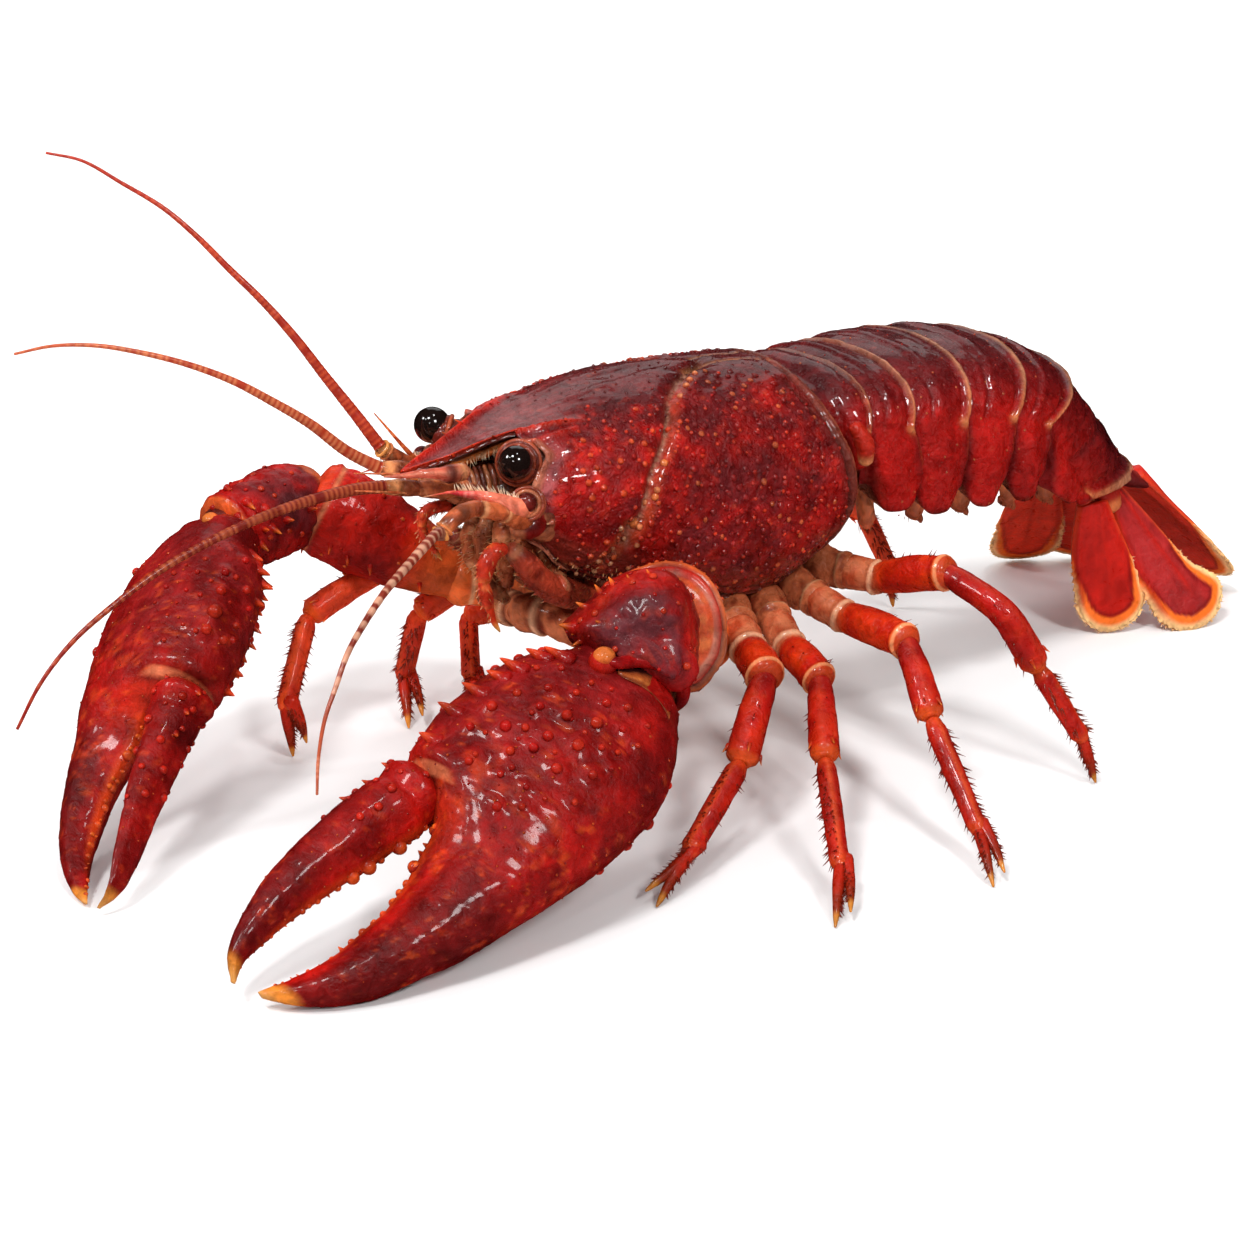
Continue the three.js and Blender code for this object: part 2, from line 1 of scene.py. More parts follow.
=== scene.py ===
# Cooked crayfish: the shown model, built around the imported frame.
# Shapes are worked out in the millimetre layout of the solids (head towards -Y, left side +X,
# z = 0 the surface) and moved to the frame by SHIFT at the end.
import json
import math
import bpy
import numpy as np
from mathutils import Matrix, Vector
from mathutils.bvhtree import BVHTree

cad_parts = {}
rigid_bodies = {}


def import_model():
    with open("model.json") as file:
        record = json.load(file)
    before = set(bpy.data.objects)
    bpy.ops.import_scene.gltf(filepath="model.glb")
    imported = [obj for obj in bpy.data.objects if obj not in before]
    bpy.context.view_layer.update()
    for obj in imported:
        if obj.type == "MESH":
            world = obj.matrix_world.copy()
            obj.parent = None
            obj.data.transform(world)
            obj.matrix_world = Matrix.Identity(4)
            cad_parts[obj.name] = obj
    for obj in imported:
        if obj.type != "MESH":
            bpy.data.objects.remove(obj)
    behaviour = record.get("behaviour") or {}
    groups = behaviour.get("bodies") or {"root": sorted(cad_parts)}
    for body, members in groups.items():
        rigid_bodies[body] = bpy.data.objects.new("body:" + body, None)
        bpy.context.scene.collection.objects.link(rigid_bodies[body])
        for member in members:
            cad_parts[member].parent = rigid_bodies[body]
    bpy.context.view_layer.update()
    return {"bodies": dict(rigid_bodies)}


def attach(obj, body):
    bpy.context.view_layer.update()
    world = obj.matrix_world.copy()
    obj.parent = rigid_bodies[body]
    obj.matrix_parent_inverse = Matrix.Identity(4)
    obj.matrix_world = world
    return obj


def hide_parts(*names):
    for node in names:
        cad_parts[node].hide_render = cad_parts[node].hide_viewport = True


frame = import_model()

SHIFT = np.array([-9.62, -6.11, 0.0])
BODY = "root" if "root" in frame["bodies"] else list(frame["bodies"])[0]

# ------------------------------------------------------------------ small maths


def lin(r, g, b, a=1.0):
    v = np.array([r, g, b], float) / 255.0
    v = np.where(v <= 0.04045, v / 12.92, ((v + 0.055) / 1.055) ** 2.4)
    return np.array([v[0], v[1], v[2], a])


def unit(v):
    v = np.asarray(v, float)
    return v / np.maximum(np.linalg.norm(v, axis=-1, keepdims=True), 1e-12)


def smooth(a, b, x):
    t = np.clip((np.asarray(x, float) - a) / (b - a), 0, 1)
    return t * t * (3 - 2 * t)


def bell(x, w):
    return np.exp(-(np.asarray(x, float) / w) ** 2)


def mixc(a, b, t):
    t = np.asarray(t, float)[..., None]
    return a * (1 - t) + b * t


def pchip(x, y, q):
    x = np.asarray(x, float)
    y = np.asarray(y, float)
    q = np.clip(np.asarray(q, float), x[0], x[-1])
    h = np.diff(x)
    d = np.diff(y) / h
    m = np.zeros_like(y)
    m[0], m[-1] = d[0], d[-1]
    for i in range(1, len(x) - 1):
        if d[i - 1] * d[i] > 0:
            w1, w2 = 2 * h[i] + h[i - 1], h[i] + 2 * h[i - 1]
            m[i] = (w1 + w2) / (w1 / d[i - 1] + w2 / d[i])
    k = np.clip(np.searchsorted(x, q, side="right") - 1, 0, len(x) - 2)
    t = (q - x[k]) / h[k]
    return ((1 + 2 * t) * (1 - t) ** 2 * y[k] + t * (1 - t) ** 2 * h[k] * m[k]
            + t * t * (3 - 2 * t) * y[k + 1] + t * t * (t - 1) * h[k] * m[k + 1])


def table(rows, col, q):
    r = np.array(rows, float)
    return pchip(r[:, 0], r[:, col], q)


def lattice(ix, iy, iz, seed):
    h = (ix * 73856093) ^ (iy * 19349663) ^ (iz * 83492791) ^ (seed * 26544357)
    h = ((h ^ (h >> 13)) * 1274126177) & 0x7FFFFFFF
    h = ((h ^ (h >> 15)) * 668265263) & 0x7FFFFFFF
    return ((h ^ (h >> 12)) & 0xFFFF) / 65535.0


def noise(P, freq, seed=1):
    Q = np.asarray(P, float) * freq + 512.37
    i = np.floor(Q).astype(np.int64)
    f = Q - i
    f = f * f * (3 - 2 * f)
    out = 0.0
    for dx in (0, 1):
        wx = f[..., 0] if dx else 1 - f[..., 0]
        for dy in (0, 1):
            wy = f[..., 1] if dy else 1 - f[..., 1]
            for dz in (0, 1):
                wz = f[..., 2] if dz else 1 - f[..., 2]
                out = out + wx * wy * wz * lattice(i[..., 0] + dx, i[..., 1] + dy, i[..., 2] + dz, seed)
    return out * 2 - 1


def fbm(P, freq, seed=1, octaves=3):
    s, a, n = 0.0, 1.0, 0.0
    for k in range(octaves):
        s = s + a * noise(P, freq * 2 ** k, seed + 17 * k)
        n += a
        a *= 0.5
    return s / n


def herm(u, y, q):
    h = np.diff(u)
    d = np.diff(y) / h
    m = np.empty_like(y)
    m[0], m[-1] = d[0], d[-1]
    m[1:-1] = (d[:-1] * h[1:] + d[1:] * h[:-1]) / (h[1:] + h[:-1])
    k = np.clip(np.searchsorted(u, q, side="right") - 1, 0, len(u) - 2)
    t = (q - u[k]) / h[k]
    return ((1 + 2 * t) * (1 - t) ** 2 * y[k] + t * (1 - t) ** 2 * h[k] * m[k]
            + t * t * (3 - 2 * t) * y[k + 1] + t * t * (t - 1) * h[k] * m[k + 1])


class Line:
    """A smooth line through points, read by distance along it."""

    def __init__(self, points):
        p = np.array(points, float)
        u = np.r_[0, np.cumsum(np.sqrt(np.linalg.norm(np.diff(p, axis=0), axis=1)))]
        q = np.linspace(0, u[-1], 900)
        self.c = np.stack([herm(u, p[:, k], q) for k in range(3)], 1)
        self.s = np.r_[0, np.cumsum(np.linalg.norm(np.diff(self.c, axis=0), axis=1))]
        self.length = self.s[-1]

    def at(self, s):
        return np.stack([np.interp(s, self.s, self.c[:, k]) for k in range(3)], -1)

    def dirs(self, s):
        e = self.length * 0.004
        return unit(self.at(np.clip(s + e, 0, self.length)) - self.at(np.clip(s - e, 0, self.length)))


# ------------------------------------------------------------------ mesh gathering


class Piece:
    def __init__(self, name):
        self.name, self.v, self.q, self.t, self.c, self.n = name, [], [], [], [], 0

    def add(self, P, quads, tris, col):
        P = np.asarray(P, float).reshape(-1, 3)
        col = np.broadcast_to(np.asarray(col, float), (len(P), 4))
        self.v.append(P)
        self.c.append(col)
        if len(quads):
            self.q.append(np.asarray(quads, np.int64) + self.n)
        if len(tris):
            self.t.append(np.asarray(tris, np.int64) + self.n)
        self.n += len(P)

    def make(self, nodes, slot, material):
        V = np.concatenate(self.v)
        V = np.array([V[:, 0], V[:, 1], np.maximum(V[:, 2], 0.02)]).T
        V = (V + SHIFT) * 0.001
        C = np.clip(np.concatenate(self.c), 0, 1)
        Q = np.concatenate(self.q) if self.q else np.zeros((0, 4), np.int64)
        T = np.concatenate(self.t) if self.t else np.zeros((0, 3), np.int64)
        me = bpy.data.meshes.new(self.name)
        me.vertices.add(len(V))
        me.vertices.foreach_set("co", V.ravel())
        loops = np.concatenate([Q.ravel(), T.ravel()]).astype(np.int32)
        me.loops.add(len(loops))
        me.loops.foreach_set("vertex_index", loops)
        start = np.concatenate([np.arange(len(Q)) * 4, len(Q) * 4 + np.arange(len(T)) * 3]).astype(np.int32)
        me.polygons.add(len(start))
        me.polygons.foreach_set("loop_start", start)
        me.update(calc_edges=True)
        me.validate()
        me.polygons.foreach_set("use_smooth", np.ones(len(me.polygons), bool))
        at = me.color_attributes.new("tint", "FLOAT_COLOR", "POINT")
        at.data.foreach_set("color", C.astype(np.float32).ravel())
        me.materials.append(material)
        me.update()
        ob = bpy.data.objects.new(self.name, me)
        bpy.context.scene.collection.objects.link(ob)
        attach(ob, BODY)
        if nodes:
            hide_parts(*nodes)
        return ob


def grid_faces(R, C, wrap):
    i = np.arange(R * C).reshape(R, C)
    if wrap:
        j = np.roll(i, -1, axis=1)
        return np.stack([i[:-1], j[:-1], j[1:], i[1:]], -1).reshape(-1, 4)
    return np.stack([i[:-1, :-1], i[:-1, 1:], i[1:, 1:], i[1:, :-1]], -1).reshape(-1, 4)


def normals(P, wrap):
    du = np.empty_like(P)
    du[1:-1] = P[2:] - P[:-2]
    du[0], du[-1] = P[1] - P[0], P[-1] - P[-2]
    if wrap:
        dv = np.roll(P, -1, 1) - np.roll(P, 1, 1)
    else:
        dv = np.empty_like(P)
        dv[:, 1:-1] = P[:, 2:] - P[:, :-2]
        dv[:, 0], dv[:, -1] = P[:, 1] - P[:, 0], P[:, -1] - P[:, -2]
    N = unit(np.cross(dv, du))
    mid = P.mean(axis=1, keepdims=True)
    if np.sum(N * (P - mid)) < 0:
        N = -N
    return N


ROW_STEP, COLUMN_STEP = 0.27, 0.42     # mm: rows and columns nearer than this are thinned out


def fewer(n, share, ends):
    """Which of n rows stay when this share of them is enough; those at both ends all stay."""
    if share > 0.96 or n <= 2 * ends + 6:
        return np.arange(n)
    m = max(4, int(round((n - 2 * ends) * share)))
    return np.concatenate([np.arange(ends), np.unique(np.linspace(ends, n - 1 - ends, m).round().astype(int)), np.arange(n - ends, n)])


def thinned(P, col, wrap):
    R, C = P.shape[:2]
    dr = np.linalg.norm(P[1:] - P[:-1], axis=-1).mean()
    dc = np.linalg.norm(P[:, 1:] - P[:, :-1], axis=-1)[R // 4:R - R // 4].mean()
    i = fewer(R, float(np.clip(dr / ROW_STEP, 0.38, 1)), 6 if wrap else 9)
    k = float(np.clip(dc / COLUMN_STEP, 0.38, 1))
    if wrap:
        m = max(10, int(round(C * k)))
        j = np.arange(C) if k > 0.96 or m >= C else (np.arange(m) * C / m).astype(int)
    else:
        j = fewer(C, k, 9)
    return P[i][:, j], np.broadcast_to(col, (R, C, 4))[i][:, j], i, j


def add_tube(piece, P, col, cap=(True, True)):
    """A grid closed around its columns, with its end rings closed by a middle point."""
    P, col = thinned(P, col, True)[:2]
    R, C = P.shape[:2]
    quads = grid_faces(R, C, True)
    V = [P.reshape(-1, 3)]
    K = [np.broadcast_to(col, (R, C, 4)).reshape(-1, 4)]
    tris = []
    n = R * C
    for end in (0, 1):
        if cap[end]:
            ring = (0 if end == 0 else R - 1)
            V.append(P[ring].mean(0)[None])
            K.append(K[0].reshape(R, C, 4)[ring].mean(0)[None])
            a = ring * C + np.arange(C)
            b = ring * C + (np.arange(C) + 1) % C
            m = np.full(C, n)
            tris.append(np.stack([b, a, m], 1) if end == 0 else np.stack([a, b, m], 1))
            n += 1
    tris = np.concatenate(tris) if tris else np.zeros((0, 3), np.int64)
    Vv = np.concatenate(V)
    a, b, c = Vv[quads[:, 0]], Vv[quads[:, 1]], Vv[quads[:, 2]]
    ctr = Vv.mean(0)
    if np.sum(np.cross(b - a, c - a) * (a - ctr)) < 0:
        quads = quads[:, ::-1]
        tris = tris[:, ::-1]
    piece.add(Vv, quads, tris, np.concatenate(K))


def add_sheet(piece, P, col, N):
    P, col, i, j = thinned(P, col, False)
    N = N[i][:, j]
    R, C = P.shape[:2]
    quads = grid_faces(R, C, False)
    V = P.reshape(-1, 3)
    a, b, c = V[quads[:, 0]], V[quads[:, 1]], V[quads[:, 2]]
    if np.sum(np.cross(b - a, c - a) * N.reshape(-1, 3)[quads[:, 0]]) < 0:
        quads = quads[:, ::-1]
    piece.add(V, quads, [], np.broadcast_to(col, (R, C, 4)).reshape(-1, 4))


def bvh_of(P, wrap):
    q = grid_faces(P.shape[0], P.shape[1], wrap)
    return BVHTree.FromPolygons(P.reshape(-1, 3).tolist(), q.tolist())


def side_frames(N):
    ref = np.where(np.abs(N[:, 2:3]) > 0.9, np.array([[1.0, 0, 0]]), np.array([[0, 0, 1.0]]))
    X = unit(np.cross(N, ref))
    return X, np.cross(N, X)


def add_domes(piece, C, N, r, h, base, tip, seg=9, rings=3, lean=None):
    """Round knobs: half balls sunk a little into the shell."""
    C, N = np.atleast_2d(C).astype(float), unit(np.atleast_2d(N))
    K = len(C)
    if K == 0:
        return
    r = np.broadcast_to(np.asarray(r, float), (K,))
    h = np.broadcast_to(np.asarray(h, float), (K,))
    X, Y = side_frames(N)
    lv = np.zeros((K, 3)) if lean is None else np.broadcast_to(np.asarray(lean, float), (K, 3))
    th = np.linspace(0, 2 * np.pi, seg, endpoint=False)
    prof = [(1.0, -0.45)] + [(math.cos(a), math.sin(a)) for a in np.linspace(0.12, math.pi / 2 * 0.86, rings)]
    verts, cols = [], []
    base = np.broadcast_to(base, (K, 4))
    tip = np.broadcast_to(tip, (K, 4))
    for pr, pz in prof:
        ring = (C[:, None] + (r * pr)[:, None, None] * (np.cos(th)[None, :, None] * X[:, None] + np.sin(th)[None, :, None] * Y[:, None])
                + ((h * pz)[:, None] * N)[:, None] + (lv * max(pz, 0) ** 2)[:, None])
        verts.append(ring)
        t = min(max(pz, 0) * 1.5, 1)
        cols.append(np.repeat((base * (1 - t) + tip * t)[:, None], seg, 1))
    verts.append((C + h[:, None] * N + lv)[:, None])
    cols.append(tip[:, None])
    verts.append((C - (h * 0.45)[:, None] * N)[:, None])
    cols.append(base[:, None])
    V = np.concatenate(verts, 1)
    KC = np.concatenate(cols, 1)
    per = V.shape[1]
    L = len(prof)
    q, t = [], []
    for k in range(L - 1):
        for j in range(seg):
            a, b = k * seg + j, k * seg + (j + 1) % seg
            q.append((a, b, b + seg, a + seg))
    for j in range(seg):
        t.append(((L - 1) * seg + j, (L - 1) * seg + (j + 1) % seg, L * seg))
        t.append((j, L * seg + 1, (j + 1) % seg))
    off = (np.arange(K) * per)[:, None, None]
    piece.add(V.reshape(-1, 3), (np.array(q)[None] + off).reshape(-1, 4), (np.array(t)[None] + off).reshape(-1, 3), KC.reshape(-1, 4))


def add_horns(piece, C, D, r, L, base, tip, seg=7, rings=5, bend=None, start=0.35, sink=0.25):
    """Spines, teeth and bristles: cones that narrow to a point and may bend."""
    C, D = np.atleast_2d(C).astype(float), unit(np.atleast_2d(D))
    K = len(C)
    if K == 0:
        return
    r = np.broadcast_to(np.asarray(r, float), (K,))
    L = np.broadcast_to(np.asarray(L, float), (K,))
    X, Y = side_frames(D)
    bv = np.zeros((K, 3)) if bend is None else np.broadcast_to(np.asarray(bend, float), (K, 3))
    th = np.linspace(0, 2 * np.pi, seg, endpoint=False)
    base = np.broadcast_to(base, (K, 4))
    tip = np.broadcast_to(tip, (K, 4))
    verts, cols = [], []
    ts = [-sink] + list(np.linspace(0.02, 0.9, rings))
    for t in ts:
        tt = max(t, 0)
        rad = r * (1.06 if t < 0 else (1 - tt) ** 0.8 * (1 - 0.25 * math.sin(math.pi * tt)))
        ring = (C[:, None] + rad[:, None, None] * (np.cos(th)[None, :, None] * X[:, None] + np.sin(th)[None, :, None] * Y[:, None])
                + ((L * t)[:, None] * D + bv * tt * tt)[:, None])
        verts.append(ring)
        k = float(smooth(start, 0.85, tt))
        cols.append(np.repeat((base * (1 - k) + tip * k)[:, None], seg, 1))
    verts.append((C + L[:, None] * D + bv)[:, None])
    cols.append(tip[:, None])
    verts.append((C - (L * sink)[:, None] * D)[:, None])
    cols.append(base[:, None])
    V = np.concatenate(verts, 1)
    KC = np.concatenate(cols, 1)
    per = V.shape[1]
    n = len(ts)
    q, t = [], []
    for k in range(n - 1):
        for j in range(seg):
            a, b = k * seg + j, k * seg + (j + 1) % seg
            q.append((a, b, b + seg, a + seg))
    for j in range(seg):
        t.append(((n - 1) * seg + j, (n - 1) * seg + (j + 1) % seg, n * seg))
        t.append((j, n * seg + 1, (j + 1) % seg))
    off = (np.arange(K) * per)[:, None, None]
    piece.add(V.reshape(-1, 3), (np.array(q)[None] + off).reshape(-1, 4), (np.array(t)[None] + off).reshape(-1, 3), KC.reshape(-1, 4))


def scatter(P, N, weight, gap, seed, tries=9000):
    """Points spread evenly at random over a grid surface, at least gap apart."""
    R, C = P.shape[:2]
    rng = np.random.default_rng(seed)
    du = np.linalg.norm(np.diff(P, axis=0), axis=2)[:, :-1]
    dv = np.linalg.norm(np.diff(P, axis=1), axis=2)[:-1]
    w = (du * dv * weight[:-1, :-1]).ravel()
    if w.sum() <= 0:
        return np.zeros((0, 3)), np.zeros((0, 3)), np.zeros(0)
    pick = rng.choice(len(w), size=tries, p=w / w.sum())
    i, j = np.unravel_index(pick, (R - 1, C - 1))
    pts, nor = P[i, j], N[i, j]
    g = np.broadcast_to(gap, (R, C))[i, j]
    size = float(np.max(g))
    cells, keep = {}, []
    for n in range(tries):
        k = tuple(np.floor(pts[n] / size).astype(int))
        ok = True
        for dx in (-1, 0, 1):
            for dy in (-1, 0, 1):
                for dz in (-1, 0, 1):
                    for m in cells.get((k[0] + dx, k[1] + dy, k[2] + dz), ()):
                        d = pts[n] - pts[m]
                        if d @ d < g[n] * g[n]:
                            ok = False
                            break
                    if not ok:
                        break
                if not ok:
                    break
            if not ok:
                break
        if ok:
            cells.setdefault(k, []).append(n)
            keep.append(n)
    keep = np.array(keep, int)
    scatter.at = (i[keep], j[keep])
    return pts[keep], nor[keep], rng.random(len(keep))


def swell(P, N, centres, radius, height):
    """Raises the surface in soft mounds round some points; gives the mound amount too."""
    m = np.zeros(P.shape[:2])
    radius = np.broadcast_to(np.asarray(radius, float), (len(centres),))
    height = np.broadcast_to(np.asarray(height, float), (len(centres),))
    flat = P.reshape(-1, 3)
    out = np.zeros(len(flat))
    mm = np.zeros(len(flat))
    for c, r, h in zip(centres, radius, height):
        near = np.nonzero(np.abs(flat[:, 0] - c[0]) < r)[0]
        d2 = ((flat[near] - c) ** 2).sum(1) / (r * r)
        f = np.clip(1 - d2, 0, 1) ** 2
        out[near] += h * f
        mm[near] = np.maximum(mm[near], f)
    m = mm.reshape(P.shape[:2])
    return P + N * out.reshape(P.shape[:2])[..., None], m


# ------------------------------------------------------------------ the view, for the camera and
# for putting knobs and spines on the surface that carries them
AZ, EL, FAR, FOCAL, FRAME = math.radians(52), math.radians(22), 300.0, 2970.0, 1254.0
AIM = np.array([0, 0, 12.0])
BACK = np.array([math.sin(AZ) * math.cos(EL), -math.cos(AZ) * math.cos(EL), math.sin(EL)])
RIGHT = np.array([math.cos(AZ), math.sin(AZ), 0.0])
UP = np.cross(BACK, RIGHT)
EYE_POINT = AIM + FAR * BACK


def on_surface(tree, px, py):
    d = unit(-BACK * FOCAL + RIGHT * (px - FRAME / 2) + UP * (FRAME / 2 - py))
    loc, nor, _, _ = tree.ray_cast(Vector(EYE_POINT), Vector(d))
    if loc is None:
        loc, nor, _, _ = tree.find_nearest(Vector(EYE_POINT + d * float((AIM - EYE_POINT) @ d)))
    n = np.array(nor)
    if n @ BACK < 0:
        n = -n
    return np.array(loc), n


def many_on_surface(tree, pixels):
    got = [on_surface(tree, p[0], p[1]) for p in pixels]
    return np.array([g[0] for g in got]), np.array([g[1] for g in got])


# ------------------------------------------------------------------ colours (the eye's values, 0-255)
MAROON = lin(84, 14, 16)
MAUVE = lin(104, 34, 38)
DARKRED = lin(92, 7, 7)
CRIMSON = lin(140, 10, 8)
RED = lin(172, 14, 8)
BRIGHT = lin(200, 26, 10)
ORANGE = lin(222, 84, 22)
AMBER = lin(226, 132, 44)
TAN = lin(196, 118, 70)
PALE = lin(226, 176, 128)
PINK = lin(206, 104, 78)
LEGRED = lin(178, 26, 8)
LEGORANGE = lin(196, 58, 18)
BROWN = lin(92, 38, 20)
DARKBROWN = lin(48, 18, 12)
FLESH = lin(150, 72, 44)
BLACK = lin(10, 6, 6)

# ------------------------------------------------------------------ materials


def node(nt, kind, **kw):
    n = nt.nodes.new(kind)
    for k, v in kw.items():
        setattr(n, k, v)
    return n


def material(name, rough=0.3, coat=0.3, coat_rough=0.12, bump=0.35, fine=2600.0, blotch=0.35, mottle=0.2,
             fleck=0.0, fleck_colour=(0.75, 0.30, 0.10), sub=0.0, spec=0.10, gain=1.0):
    m = bpy.data.materials.new(name)
    m.use_nodes = True
    nt = m.node_tree
    nt.nodes.clear()
    out = node(nt, "ShaderNodeOutputMaterial")
    b = node(nt, "ShaderNodeBsdfPrincipled")
    nt.links.new(b.outputs[0], out.inputs[0])
    b.inputs["Coat Weight"].default_value = coat
    b.inputs["Coat Roughness"].default_value = coat_rough
    b.inputs["Specular IOR Level"].default_value = spec
    if sub > 0:
        b.inputs["Subsurface Weight"].default_value = sub
        b.inputs["Subsurface Radius"].default_value = (1.0, 0.25, 0.12)
        b.inputs["Subsurface Scale"].default_value = 0.0012
    tc = node(nt, "ShaderNodeTexCoord")
    at = node(nt, "ShaderNodeAttribute", attribute_name="tint")

    def tex(scale, detail, distort=0.0, rough_=0.55):
        n = node(nt, "ShaderNodeTexNoise")
        n.inputs["Scale"].default_value = scale
        n.inputs["Detail"].default_value = detail
        n.inputs["Roughness"].default_value = rough_
        n.inputs["Distortion"].default_value = distort
        nt.links.new(tc.outputs["Object"], n.inputs["Vector"])
        return n.outputs["Fac"]

    def ranged(src, a, b_, c, d):
        n = node(nt, "ShaderNodeMapRange")
        for i, v in zip((1, 2, 3, 4), (a, b_, c, d)):
            n.inputs[i].default_value = v
        nt.links.new(src, n.inputs[0])
        return n.outputs[0]

    def times(x, y):
        n = node(nt, "ShaderNodeMath", operation="MULTIPLY")
        nt.links.new(x, n.inputs[0])
        nt.links.new(y, n.inputs[1])
        return n.outputs[0]

    n1, n2, n3 = tex(210.0, 4.0, 0.7), tex(900.0, 4.0, 0.9), tex(fine, 5.0, 1.2)
    v = times(ranged(n1, 0.32, 0.68, (1 - blotch) * gain, (1 + blotch * 0.8) * gain), ranged(n2, 0.3, 0.7, 1 - mottle, 1 + mottle))
    sc = node(nt, "ShaderNodeVectorMath", operation="SCALE")
    nt.links.new(at.outputs["Color"], sc.inputs[0])
    nt.links.new(v, sc.inputs["Scale"])
    colour = sc.outputs[0]
    if fleck > 0:
        vo = node(nt, "ShaderNodeTexVoronoi")
        vo.inputs["Scale"].default_value = 620.0
        nt.links.new(tc.outputs["Object"], vo.inputs["Vector"])
        f = times(ranged(vo.outputs["Distance"], 0.10, 0.24, 1.0, 0.0), ranged(n1, 0.45, 0.6, 0.0, fleck))
        mx = node(nt, "ShaderNodeMix", data_type="RGBA")
        nt.links.new(f, mx.inputs[0])
        nt.links.new(colour, mx.inputs[6])
        mx.inputs[7].default_value = (*fleck_colour, 1.0)
        colour = mx.outputs[2]
    nt.links.new(colour, b.inputs["Base Color"])
    nt.links.new(ranged(n2, 0.3, 0.7, max(rough - 0.07, 0.04), rough + 0.12), b.inputs["Roughness"])
    b1 = node(nt, "ShaderNodeBump")
    b1.inputs["Strength"].default_value = bump
    b1.inputs["Distance"].default_value = 0.00016
    nt.links.new(n3, b1.inputs["Height"])
    b2 = node(nt, "ShaderNodeBump")
    b2.inputs["Strength"].default_value = bump * 0.9
    b2.inputs["Distance"].default_value = 0.0005
    nt.links.new(n2, b2.inputs["Height"])
    nt.links.new(b1.outputs[0], b2.inputs["Normal"])
    nt.links.new(b2.outputs[0], b.inputs["Normal"])
    return m


M_TRUNK = material("shell_trunk", gain=0.92, rough=0.25, coat=0.55, coat_rough=0.05, bump=1.0, blotch=0.42, mottle=0.30, fleck=0.35, fleck_colour=(0.50, 0.07, 0.03), spec=0.22)
M_TAIL = material("shell_tail", gain=0.95, rough=0.25, coat=0.55, coat_rough=0.05, bump=0.80, blotch=0.36, mottle=0.26, fleck=0.25, fleck_colour=(0.45, 0.06, 0.03), spec=0.22)
M_CLAW = material("shell_claw", gain=0.78, rough=0.34, coat=0.20, coat_rough=0.11, bump=0.48, blotch=0.42, mottle=0.26, fleck=0.3, fleck_colour=(0.50, 0.03, 0.012), spec=0.12)
M_LEG = material("shell_leg", gain=0.90, rough=0.28, coat=0.32, coat_rough=0.08, bump=0.50, blotch=0.26, mottle=0.20, fleck=0.12, fleck_colour=(0.7, 0.2, 0.06), sub=0.06, spec=0.18)
M_FAN = material("shell_fan", rough=0.32, coat=0.20, bump=0.30, blotch=0.18, mottle=0.14, sub=0.06, spec=0.16)
M_EYE = material("eye_gloss", rough=0.10, coat=0.9, coat_rough=0.03, bump=0.02, blotch=0.08, mottle=0.04)
M_FEEL = material("feeler", rough=0.34, coat=0.20, bump=0.15, blotch=0.16, mottle=0.12, spec=0.25)
M_MOUTH = material("mouthparts", rough=0.28, coat=0.45, coat_rough=0.07, bump=0.6, blotch=0.42, mottle=0.34, sub=0.05, spec=0.22)
M_SKIN = material("underside_skin", rough=0.32, coat=0.30, bump=0.5, blotch=0.45, mottle=0.34, sub=0.05, spec=0.30)

# ================================================================== carapace
WIDE = [[-27, 6.4], [-17.5, 7.9], [-16.4, 8.5], [-13.5, 9.9], [-10, 11.1], [-5, 12.2], [0, 12.9], [5, 13.4], [10, 13.6], [14.5, 13.5], [18, 13.2], [20, 12.9]]
TOPZ = [[-27, 33.7], [-25.2, 34.3], [-22, 35.1], [-19, 36.1], [-17.4, 36.6], [-16.4, 36.9], [-13.5, 37.6], [-10, 38.2], [-5, 38.7], [0, 38.8], [5, 38.7], [10, 38.4], [14.5, 37.9], [18, 37.3], [20, 36.8]]
MIDZ = [[-27, 31.5], [-17.4, 31.6], [-16.4, 31.1], [-13.5, 29.6], [-10, 28.7], [-5, 27.4], [0, 26.2], [5, 25.3], [10, 25.0], [14.5, 25.3], [18, 26.2], [20, 27.0]]
EDGEZ = [[-27, 27.0], [-16.4, 26.2], [-13.5, 23.9], [-11.4, 22.8], [-7, 20.9], [0, 18.6], [5, 17.1], [9, 17.2], [12.2, 18.0], [14.2, 18.8], [18, 20.2], [20, 21]]
X_BLADE = 3.4                     # half width of the part of the back that runs on into the beak
BEAK = [[0.0, -26.7], [0.25, -26.3], [0.6, -25.3], [1.32, -23.2], [2.05, -20.3], [2.75, -17.9], [3.2, -16.5], [3.4, -16.0]]   # x, y of its outline
# front margin of the cheek, and rear margin, by the angle down from the top of the back
FRONT = [[-42, -13.8], [-38, -16.0], [-28, -17.7], [-14, -18.1], [4, -17.9], [20, -17.1], [32, -16.3], [44, -15.0], [54, -15.4], [60, -15.9], [75, -16.0]]
REAR = [[-42, 12.6], [-36, 15.2], [-28, 17.0], [-18, 18.3], [-3, 18.9], [15, 18.6], [30, 17.9], [46, 17.3], [65, 17.0], [80, 17.2], [90, 17.4]]
GROOVE = [[-42, -9.4], [-26, -9.0], [-6, -8.6], [4, -7.4], [14, -6.5], [25, -5.5], [36, -3.7], [55, -0.9], [62, 0.2], [72, 2.6], [80, 5.2], [86, 8.2], [90, 9.0]]
LOW_ANGLE = 42.0


